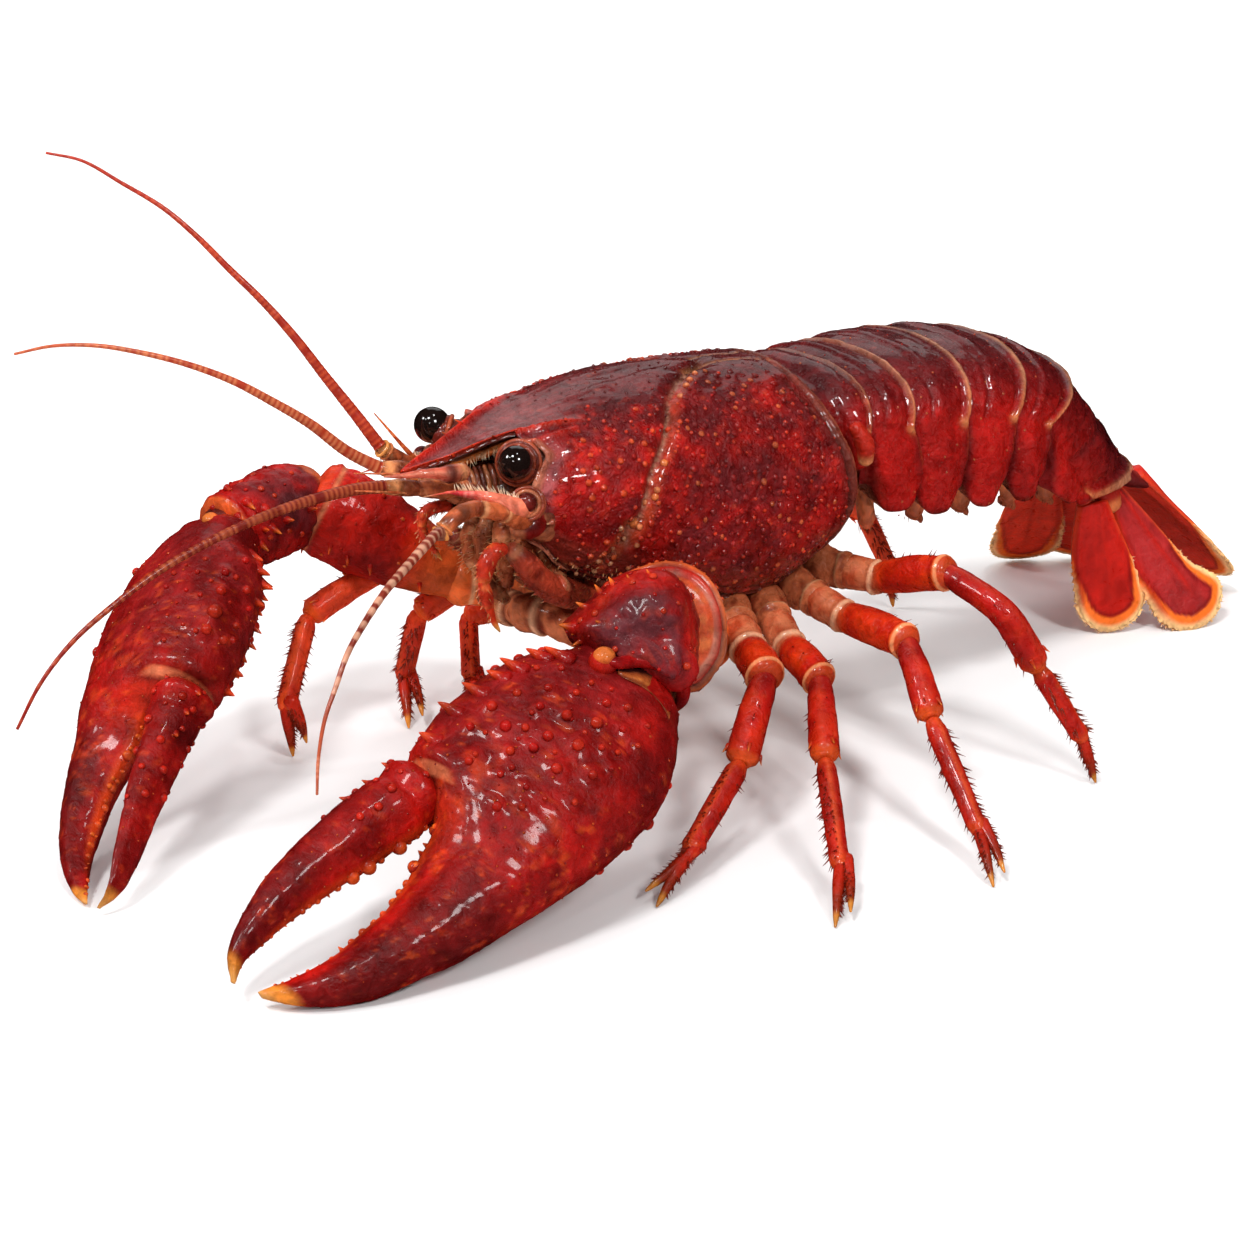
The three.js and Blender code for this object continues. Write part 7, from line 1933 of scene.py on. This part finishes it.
def head():
    # the face between the cheeks: sockets, feeler roots, mouth
    pc = Piece("face")
    # flesh colour: its dark noise patches are painted shade for hollows
    flesh = lambda F, A, G: mixc(mixc(mixc(np.broadcast_to(lin(150, 76, 44), F.shape + (4,)), np.broadcast_to(lin(58, 22, 14), F.shape + (4,)), smooth(-0.2, 0.35, fbm(G, 0.8, 611))), np.broadcast_to(lin(196, 112, 66), F.shape + (4,)), smooth(0.25, 0.6, fbm(G, 1.3, 612)) * 0.7), np.broadcast_to(lin(214, 150, 108), F.shape + (4,)), smooth(0.35, 0.7, fbm(G, 2.2, 618)) * 0.5)
    # block under the beak
    add_limb(pc, [[0, -13.0, 30.2], [0, -17.0, 30.9], [0, -20.5, 31.7]], [[0, 6.8, 3.8], [0.5, 5.4, 2.9], [0.85, 3.2, 1.7], [1, 1.8, 1.0]], flesh, n=90, cols=100, rough=0.8, seed=613, side0=(1, 0, 0))
    # pad colour: its pale patches are painted highlights and its dark patches painted shade in the folds, placed by
    # noise
    pad = lambda F, A, G: mixc(mixc(np.broadcast_to(lin(178, 98, 64), F.shape + (4,)), np.broadcast_to(lin(96, 36, 24), F.shape + (4,)), smooth(-0.1, 0.45, fbm(G, 0.9, 651))), np.broadcast_to(lin(218, 148, 112), F.shape + (4,)), smooth(0.2, 0.6, fbm(G, 1.4, 652)) * 0.7)
    rngf = np.random.default_rng(605)
    for sx in (1, -1):
        c = np.array([6.6 * sx, -18.3, 35.1])
        view = np.array([0.62 * sx, -0.72, 0.30])
        # three skin rings behind the ball
        big = 0.93 if sx > 0 else 0.72
        torus(pc, c - view * 0.60, view, 1.78 * big, 0.19, lin(128, 48, 26))
        torus(pc, c - view * 0.92, view, 1.98 * big, 0.20, lin(92, 28, 16))
        torus(pc, c - view * 1.25, view, 2.20 * big, 0.24, lin(150, 62, 34))
        add_limb(pc, [(c - view * 1.2).tolist(), (c - view * 2.2).tolist(), (c - view * 3.6 + np.array([0, 0, -0.6])).tolist()], [[0, 1.8 * big, 1.8 * big], [0.5, 2.2 * big, 2.2 * big], [1, 2.2 * big, 2.3 * big]], lin(92, 30, 18), n=24, cols=40, rough=0.2, seed=615)
        # skin that fills the hollow between the eye and the cheek
        back_wall = pix((540, 450, 24.6), (545, 474, 24.6), (544, 500, 24.8), (541, 528, 24.6))
        add_limb(pc, back_wall if sx > 0 else mirror(back_wall), [[0, 1.2, 1.2], [0.3, 2.0, 2.0], [0.7, 2.4, 2.2], [1, 1.8, 1.8]], pad, n=60, cols=50, rough=0.45, seed=616)
        # folded skin between socket and beak
        for m in range(9):
            y0 = -16.8 - 0.50 * m
            dz = rngf.uniform(-0.3, 0.3)
            add_limb(pc, [[sx * (2.8 - 0.14 * m), y0, 33.7], [sx * (3.9 - 0.14 * m), y0 - 0.2 + dz, 32.9], [sx * (4.7 - 0.18 * m), y0 - 0.4 + dz, 31.7 + dz]], [[0, 0.20, 0.2], [0.5, 0.26, 0.24], [1, 0.16, 0.16]],
                     [lin(120, 52, 30), lin(176, 100, 60), lin(90, 34, 20)][m % 3], n=14, cols=12, rough=0.12, seed=616 + m)
        # pale hairs below the edge of the beak
        ys = rngf.uniform(-25.2, -17.6, 60)
        bxx = pchip([b[1] for b in BEAK], [b[0] for b in BEAK], ys)
        add_horns(pc, np.stack([sx * (bxx * 0.97), ys, table(TOPZ, 1, ys) - 0.85 - 0.25 * np.minimum(bxx / 2.6, 1)], 1), np.array([0.55 * sx, -0.35, -0.75]) + rngf.normal(0, 0.2, (60, 3)), 0.05, rngf.uniform(0.35, 0.9, 60), lin(190, 120, 76), lin(240, 210, 170), seg=4, rings=2)
    pc.make([], "mouthparts", M_MOUTH)

    def seg(F, A, G, c0=lin(172, 88, 50), c1=lin(112, 48, 26)):
        n1 = fbm(G, 1.0, 620)
        c = mixc(np.broadcast_to(c0, F.shape + (4,)), np.broadcast_to(c1, F.shape + (4,)), smooth(-0.15, 0.35, n1))
        c = mixc(c, lin(226, 150, 92), bell(F - 0.96, 0.05) * 0.8)
        c = mixc(c, lin(214, 140, 92), smooth(0.3, 0.6, fbm(G, 1.9, 626)) * 0.5)
        return mixc(c, lin(84, 34, 20), bell(F - 0.80, 0.05) * 0.6)

    def rootcol(F, A, G):
        c = mixc(np.broadcast_to(lin(186, 88, 48), F.shape + (4,)), np.broadcast_to(lin(122, 52, 28), F.shape + (4,)), smooth(-0.2, 0.35, fbm(G, 1.0, 627)))
        c = mixc(c, lin(92, 42, 22), bell(F - 0.80, 0.10) * smooth(-0.2, 0.4, fbm(G, 0.9, 628) + 0.25) * 0.85)
        c = mixc(c, lin(214, 146, 98), np.maximum(bell(F - 0.385, 0.014), bell(F - 0.605, 0.014)) * 0.9)
        c = mixc(c, lin(92, 36, 20), np.maximum(bell(F - 0.415, 0.012), bell(F - 0.635, 0.012)) * 0.7)
        c = mixc(c, lin(220, 170, 120), smooth(0.35, 0.65, fbm(G * np.array([1, 0.5, 1]), 2.4, 629)) * 0.6)
        return mixc(c, lin(230, 160, 96), smooth(0.93, 0.99, F) * 0.8)

    for nm, sx in (("left", 1), ("right", -1)):
        # outer feeler root with its blade
        pc = Piece(f"feeler_root_{nm}_shell")
        if nm == "left":
            stem = pix((531, 523, 25.5), (520, 519, 27.5), (506, 514, 29.5), (492, 511, 31.0), (474, 509, 32.4), (460, 514, 33.4), (449, 523, 34.0), (442, 532, 34.2))
            blade = pix((532, 508, 27.4), (522, 508, 28.9), (512, 505.5, 29.8), (497, 499.5, 30.5), (480, 496, 31.0), (462, 493.5, 31.4), (446, 492, 31.8))
            spike = pix((448, 492.6, 31.8), (420, 497.5, 32.2))
            socket, ring_at = at_pixel(526.5, 502.5, 29.2), at_pixel(526.5, 503.5, 28.8)
            plate = pix((538, 513, 25.9), (531, 524, 26.4), (517, 530, 27.0))
            big = 1.0
        else:
            stem = [[-6.2, -16.6, 29.8], [-6.4, -19.6, 31.0], [-6.7, -22.0, 32.4], [-6.95, -24.0, 34.0]]
            blade = [[-7.8, -17.4, 31.0], [-8.2, -20.0, 31.4], [-8.3, -22.4, 31.7], [-7.9, -24.9, 31.9]]
            spike = [[-7.95, -24.7, 31.9], [-7.4, -27.0, 32.0]]
            socket, ring_at = at_pixel(526.5, 502.5, 29.2) * np.array([-1, 1, 1]), at_pixel(526.5, 503.5, 28.8) * np.array([-1, 1, 1])
            plate = mirror(pix((538, 513, 25.9), (531, 524, 26.4), (517, 530, 27.0)))
            big = 1.0
        prof = [[0, 1.30, 1.30], [0.2, 1.12, 1.10], [0.35, 0.98, 0.96], [0.385, 0.93, 0.91], [0.415, 0.84, 0.82], [0.45, 0.90, 0.88], [0.58, 0.87, 0.85], [0.605, 0.84, 0.82], [0.635, 0.76, 0.74], [0.67, 0.84, 0.82], [0.82, 0.84, 0.82], [0.95, 0.78, 0.76], [1, 0.68, 0.66]]
        add_limb(pc, stem, prof, rootcol, n=130, cols=48, rough=0.10, seed=621)
        sd_ = unit(np.array(stem[-1]) - np.array(stem[-2]))
        torus(pc, np.array(stem[-1]) + sd_ * 0.20, sd_, 0.74, 0.20, lin(232, 150, 78))
        torus(pc, np.array(stem[-1]) - sd_ * 0.35, sd_, 0.80, 0.14, lin(214, 120, 66))

        def bladecol(F, A, G):
            c = mixc(np.broadcast_to(lin(222, 112, 84), F.shape + (4,)), np.broadcast_to(lin(186, 36, 44), F.shape + (4,)), smooth(0.45, 0.9, F))
            c = mixc(c, lin(224, 126, 84), smooth(0.30, 0.05, F) * 0.7)
            c = mixc(c, lin(236, 170, 150), bell(np.sin(F * 62 + 1.5 * fbm(G, 1.2, 624)), 0.35) * smooth(0.25, 0.4, F) * 0.40)
            return mixc(c, lin(190, 60, 40), smooth(0.2, 0.6, fbm(G, 1.6, 625)) * 0.4)
        add_limb(pc, blade, [[0, 0.50, 0.55], [0.11, 0.74, 0.80], [0.22, 0.82, 0.88], [0.42, 0.64, 0.70], [0.6, 0.50, 0.54], [0.8, 0.34, 0.34], [0.96, 0.15, 0.13], [1, 0.06, 0.06]], bladecol, n=90, cols=32, rough=0.06, seed=622)
        a_, b_ = np.array(spike[0]), np.array(spike[1])
        add_horns(pc, a_[None], (b_ - a_)[None], 0.13, float(np.linalg.norm(b_ - a_)), lin(196, 70, 56), lin(214, 150, 110), seg=7, rings=5)
        # socket of the blade: a dark round bead in a skin ring
        facing = unit(np.array([0.70 * sx, -0.62, 0.34]))
        add_domes(pc, (ring_at - facing * 1.3)[None], facing[None], 1.75, 1.35, lin(140, 62, 38), lin(176, 96, 62), seg=30, rings=8)
        torus(pc, ring_at - facing * 0.25, facing, 1.14, 0.20, lin(176, 98, 66))
        torus(pc, ring_at - facing * 0.60, facing, 1.48, 0.20, lin(140, 60, 40))
        add_domes(pc, (socket - facing * 0.35)[None], facing[None], 0.96, 0.85, lin(62, 12, 10), lin(92, 20, 14), seg=26, rings=8)
        # hair along the blade's upper edge
        rng = np.random.default_rng(630)
        lnb = Line(blade)
        f = rng.uniform(0.22, 0.92, 60)
        P, D = lnb.at(f * lnb.length), lnb.dirs(f * lnb.length)
        hw = 0.80 * (1 - f) + 0.18
        upv = UP if nm == "left" else np.array([0, 0, 1.0])
        add_horns(pc, P + upv * (hw * 0.75)[:, None], unit(D * 0.45 + upv * 0.85 + rng.normal(0, 0.15, (60, 3))), 0.07, rng.uniform(0.5, 1.05, 60), lin(216, 150, 110), lin(244, 222, 190), seg=4, rings=2)
        # plate under the blade
        add_limb(pc, plate, [[0, 1.1, 1.1], [0.5, 1.45, 1.3], [1, 0.9, 0.8]], lambda F, A, G: mixc(mixc(np.broadcast_to(lin(132, 18, 13), F.shape + (4,)), np.broadcast_to(lin(110, 20, 16), F.shape + (4,)), smooth(0.0, 0.4, fbm(G, 0.8, 630))), np.broadcast_to(lin(190, 104, 68), F.shape + (4,)), np.maximum(smooth(0.8, 1.0, F), smooth(0.12, 0.0, F))), n=50, cols=44, rough=0.22, seed=623)
        pc.make([f"feeler_root_{nm}"], "mouthparts", M_MOUTH)
        # middle feeler root, small whips, the short spear with its bead
        pc = Piece(f"small_feelers_{nm}_shell")

        def spear(F, A, G):
            c = mixc(np.broadcast_to(lin(196, 84, 62), F.shape + (4,)), np.broadcast_to(lin(214, 140, 110), F.shape + (4,)), bell(np.sin(A * 2 + 0.6), 0.35) * 0.8)
            c = mixc(c, lin(66, 20, 14), bell(F - 0.22, 0.09) * 0.95)
            return mixc(c, lin(200, 130, 84), bell(F - 0.04, 0.07) * 0.9)
        if nm == "left":
            add_limb(pc, [[2.4, -17.4, 31.6], [2.5, -21.4, 32.1], [2.4, -25.6, 33.0], [2.25, -29.8, 34.0]], [[0, 1.2, 1.1], [0.3, 1.05, 0.98], [0.36, 0.9, 0.86], [0.42, 1.0, 0.94], [0.68, 0.86, 0.84], [0.72, 0.74, 0.72], [0.80, 0.84, 0.82], [0.97, 0.76, 0.74], [1, 0.68, 0.66]], seg, n=110, cols=40, rough=0.10, seed=631)
            ringed(pc, [[2.6, -25.0, 32.6], [2.9, -28.6, 33.4], [2.8, -33.6, 34.6]], 0.26, 0.07, lin(196, 92, 50), lin(226, 150, 100), ring=0.4, cols=8)
            add_limb(pc, pix((462, 472, 29.0), (447, 474, 30.3), (436, 473.5, 31.0), (420, 474, 31.6), (402, 476, 32.0), (384, 477, 32.2)), [[0, 0.85, 0.85], [0.20, 0.95, 0.9], [0.34, 0.62, 0.6], [0.6, 0.42, 0.40], [0.85, 0.22, 0.2], [1, 0.06, 0.06]], spear, n=70, cols=30, rough=0.04, seed=632)
        else:
            add_limb(pc, [[-2.4, -17.4, 31.2], [-3.2, -20.0, 31.9], [-4.0, -23.2, 32.6], [-4.6, -25.6, 33.05]], [[0, 1.2, 1.1], [0.3, 1.1, 1.0], [0.36, 0.96, 0.9], [0.42, 1.05, 1.0], [0.68, 0.92, 0.88], [0.72, 0.82, 0.8], [0.80, 0.92, 0.88], [1, 0.76, 0.72]], seg, n=100, cols=38, rough=0.08, seed=633)
            ringed(pc, [[-3.5, -21.8, 32.6], [-3.4, -24.2, 35.4], [-4.4, -26.6, 38.8]], 0.38, 0.06, lin(190, 70, 26), lin(226, 130, 70), ring=0.6, cols=10, tipcol=lin(220, 110, 50))
            ringed(pc, [[-1.6, -21.0, 32.4], [-1.9, -25.4, 33.2], [-2.6, -30.2, 34.1]], 0.26, 0.06, lin(200, 96, 50), lin(230, 150, 100), ring=0.5, cols=8)
        pc.make([f"small_feelers_{nm}"], "mouthparts", M_MOUTH)
        # large jaw leg in front of the mouth
        pc = Piece(f"jaw_leg_{nm}_shell")
        redc = lambda F, A, G: mixc(mixc(np.broadcast_to(lin(164, 56, 34), F.shape + (4,)), np.broadcast_to(lin(110, 30, 20), F.shape + (4,)), smooth(-0.15, 0.35, fbm(G, 0.9, 641))), np.broadcast_to(lin(206, 128, 90), F.shape + (4,)), np.maximum(bell(F - 0.97, 0.05) * 0.8, smooth(0.35, 0.7, fbm(G, 1.8, 646)) * 0.4))
        redd = lambda F, A, G: mixc(mixc(np.broadcast_to(lin(196, 50, 26), F.shape + (4,)), np.broadcast_to(lin(216, 96, 46), F.shape + (4,)), np.maximum(smooth(0.8, 1.0, F), smooth(0.2, 0.6, fbm(G, 1.2, 647)))), np.broadcast_to(lin(150, 24, 14), F.shape + (4,)), smooth(0.1, 0.5, fbm(G, 0.9, 648)) * 0.7)
        toec = lambda F, A, G: mixc(np.broadcast_to(lin(196, 48, 18), F.shape + (4,)), np.broadcast_to(lin(240, 160, 76), F.shape + (4,)), smooth(0.45, 0.9, F))
        if nm == "left":
            k_ = 1.0
            parts = [([[5.4, -9.0, 20.2], [7.0, -12.4, 20.8], [8.0, -15.0, 22.4]], [[0, 1.5, 1.4], [0.5, 1.6, 1.5], [1, 1.4, 1.3]], redc, 26),
                     (pix((562, 596, 22.0), (541, 581, 24.0), (524, 562, 25.8), (511, 549, 26.8)), [[0, 1.15, 1.1], [0.15, 1.45, 1.3], [0.55, 1.45, 1.3], [0.85, 1.15, 1.1], [1, 0.85, 0.8]], redc, 40),
                     (pix((503, 549, 27.6), (493, 553, 28.0), (486, 565, 28.0), (484, 581, 27.4)), [[0, 0.62, 0.62], [0.2, 0.86, 0.84], [0.6, 0.92, 0.9], [0.9, 0.74, 0.72], [1, 0.62, 0.6]], redd, 26),
                     (pix((484, 583, 27.4), (486, 595, 27.0), (489, 607, 26.6)), [[0, 0.58, 0.56], [0.4, 0.72, 0.68], [0.85, 0.58, 0.56], [1, 0.5, 0.48]], redd, 18),
                     (pix((489, 608, 26.6), (493, 620, 26.2), (500, 632, 25.8)), [[0, 0.46, 0.44], [0.5, 0.40, 0.36], [0.85, 0.2, 0.2], [1, 0.06, 0.06]], toec, 10)]
        else:
            parts = [([[-4.8, -9.0, 20.2], [-5.4, -11.6, 20.6], [-5.6, -13.6, 21.6]], [[0, 1.4, 1.3], [0.5, 1.5, 1.4], [1, 1.3, 1.2]], redc, 26),
                     ([[-5.6, -13.4, 21.6], [-5.4, -15.6, 23.0], [-5.2, -17.4, 24.4]], [[0, 1.1, 1.0], [0.4, 1.25, 1.1], [1, 0.9, 0.8]], redc, 30),
                     (pix((448, 506, 14.6), (432, 508, 15.0), (423, 516, 15.2), (422, 526, 15.0)), [[0, 0.6, 0.6], [0.4, 0.64, 0.62], [0.8, 0.56, 0.54], [1, 0.48, 0.46]], redd, 20),
                     (pix((422, 527, 15.0), (424, 535, 14.8), (428, 542, 14.8)), [[0, 0.46, 0.46], [0.5, 0.54, 0.52], [1, 0.42, 0.40]], redd, 14),
                     (pix((429, 543, 14.8), (434, 551, 14.6), (442, 560, 14.4)), [[0, 0.40, 0.38], [0.5, 0.34, 0.32], [1, 0.06, 0.06]], toec, 8)]
        for q_, (path, pr_, cf, cnt) in enumerate(parts):
            gg = add_limb(pc, path, pr_, cf, n=60, cols=40, rough=0.13, seed=642 + q_, caps=(0.8, 0.5))
            bristles(pc, gg[0], gg[1], gg[2], gg[4]["D"], cnt, 650 + q_, 0.1, 0.9, L=0.65, r=0.05, colour=lin(196, 120, 70))
            # small spines on the outer edge
            if q_ in (1, 2, 3):
                for f_ in np.linspace(0.15, 0.85, 5 if q_ == 1 else 4):
                    i = int(np.argmin(np.abs(gg[2][:, 0] - f_)))
                    jj = int(np.argmax(gg[1][i] @ unit(-RIGHT * 0.8 - UP * 0.35 + BACK * 0.35)))
                    add_horns(pc, (gg[0][i, jj] - gg[1][i, jj] * 0.08)[None], unit(gg[1][i, jj] + gg[4]["D"][i] * 0.6)[None], 0.17, 0.55, lin(200, 70, 40), lin(236, 190, 140), seg=6, rings=3)
        pc.make([f"jaw_leg_{nm}"], "mouthparts", M_MOUTH)
    # inner mouthparts and hair
    pc = Piece("mouth_hair")
    rng = np.random.default_rng(660)
    # fold colour: the pale patches are painted highlights and the dark ones painted crevice shade, placed by noise
    br = lambda F, A, G: mixc(mixc(np.broadcast_to(lin(158, 74, 40), F.shape + (4,)), np.broadcast_to(lin(204, 126, 84), F.shape + (4,)), smooth(-0.1, 0.35, fbm(G, 0.8, 661))), np.broadcast_to(lin(84, 28, 18), F.shape + (4,)), smooth(0.2, 0.5, fbm(G, 0.6, 664)) * 0.8)
    folds = (pix((474, 520, 19.5), (470, 545, 19.8), (478, 570, 19.4)), pix((487, 522, 22.0), (483, 548, 22.0), (487, 576, 21.2)), pix((501, 526, 23.2), (504, 552, 23.2), (508, 584, 22.2)),
             pix((518, 534, 23.4), (530, 562, 22.6), (543, 590, 21.2)), pix((478, 552, 18.2), (488, 580, 18.0), (506, 600, 18.0)), pix((536, 540, 22.6), (550, 565, 21.6), (566, 586, 20.0)))
    for m, path in enumerate(folds):
        r_ = (0.95, 1.0, 1.05, 1.15, 1.0, 1.1)[m]
        for sx in (1, -1):
            g = add_limb(pc, path if sx > 0 else [[-q[0] * 0.45, q[1] + 1.8, q[2]] for q in path], [[0, r_ * 0.8, r_ * 0.8], [0.3, r_ * 1.05, r_ * 0.9], [0.5, r_ * 0.8, r_ * 0.75], [0.7, r_, r_ * 0.85], [1, r_ * 0.55, r_ * 0.5]], br, n=50, cols=34, rough=0.30, seed=662 + m)
            cnt = 55
            i = rng.integers(6, 54, cnt)
            j = rng.integers(0, 34, cnt)
            left_ = -RIGHT * 0.8 if sx > 0 else np.array([-0.3, -0.7, 0.0])
            add_horns(pc, g[0][i, j], unit(g[1][i, j] + left_ + np.array([0, -0.2, -0.5]) + rng.normal(0, 0.25, (cnt, 3))), 0.05, rng.uniform(0.4, 1.1, cnt), lin(150, 80, 44), lin(226, 170, 120), seg=4, rings=2)
    pc.make([], "mouthparts", M_MOUTH)


# ================================================================== build
car, car_tree = carapace()
core()
for k in range(6):
    tail_ring(k)
tail_core()
tail_fan()
for side in ("left", "right"):
    palm(side)
    finger(side)
    arm(side)
for name in LEGS:
    leg(name)
feelers()
eyes()
head()

# ------------------------------------------------------------------ floor, light and camera
me = bpy.data.meshes.new("floor")
S = 3.0
me.from_pydata([(-S, -S, 0), (S, -S, 0), (S, S, 0), (-S, S, 0)], [], [(0, 1, 2, 3)])
floor = bpy.data.objects.new("floor", me)
bpy.context.scene.collection.objects.link(floor)
fm = bpy.data.materials.new("floor_pale")
fm.use_nodes = True
fb = fm.node_tree.nodes["Principled BSDF"]
fb.inputs["Base Color"].default_value = (0.86, 0.86, 0.86, 1)
fb.inputs["Roughness"].default_value = 0.75
fb.inputs["Specular IOR Level"].default_value = 0.15
me.materials.append(fm)
floor.visible_glossy = False

world = bpy.data.worlds.new("soft_studio")
bpy.context.scene.world = world
world.use_nodes = True
nt = world.node_tree
bg = nt.nodes["Background"]
bg.inputs["Color"].default_value = (1.0, 0.995, 0.99, 1.0)
tc = nt.nodes.new("ShaderNodeTexCoord")
sep = nt.nodes.new("ShaderNodeVectorMath")          # brightest above and behind the animal's right side
sep.operation = "DOT_PRODUCT"
sep.inputs[1].default_value = (-0.560, 0.438, 0.703)
nt.links.new(tc.outputs["Generated"], sep.inputs[0])
mr = nt.nodes.new("ShaderNodeMapRange")
mr.interpolation_type = "SMOOTHSTEP"
mr.inputs[1].default_value = -0.10
mr.inputs[2].default_value = 0.95
mr.inputs[3].default_value = 0.06
mr.inputs[4].default_value = 1.00
nt.links.new(sep.outputs["Value"], mr.inputs[0])
nt.links.new(mr.outputs[0], bg.inputs["Strength"])
world.cycles_visibility.glossy = False              # the lamps alone make the reflections


def area(name, loc, aim, size, power, size_y=None):
    li = bpy.data.lights.new(name, "AREA")
    li.shape = "RECTANGLE"
    li.size, li.size_y = size, size_y or size
    li.energy = power
    o = bpy.data.objects.new(name, li)
    o.location = loc
    o.rotation_euler = (Vector(aim) - Vector(loc)).to_track_quat("-Z", "Y").to_euler()
    bpy.context.scene.collection.objects.link(o)
    return o


area("key_front", (0.30, -0.95, 1.75), (0.0, -0.01, 0.02), 0.34, 19.5)
area("key_left", (-0.75, -1.35, 1.30), (0.0, -0.01, 0.02), 0.34, 13.0)
area("key_right", (1.45, -0.15, 1.30), (0.0, -0.01, 0.02), 0.34, 16.0)
area("spark_low", (0.95, -1.35, 0.95), (0.0, -0.01, 0.02), 0.13, 3.2)
area("spark_front", (-0.10, -1.50, 1.60), (0.0, -0.01, 0.02), 0.13, 3.2)
area("spark_top", (0.35, 0.10, 1.90), (0.0, -0.01, 0.02), 0.13, 3.6)
area("back_soft", (-1.20, 0.95, 1.00), (0.0, 0.02, 0.03), 1.10, 3.0)

cam = bpy.data.cameras.new("view")
cam.sensor_width = 36.0
cam.lens = 36.0 * FOCAL / FRAME
cam.clip_start, cam.clip_end = 0.01, 10.0
co = bpy.data.objects.new("view", cam)
co.location = Vector((EYE_POINT + SHIFT) * 0.001)
co.rotation_euler = Vector(-BACK).to_track_quat("-Z", "Y").to_euler()
bpy.context.scene.collection.objects.link(co)
bpy.context.scene.camera = co
bpy.context.scene.view_settings.view_transform = "Standard"
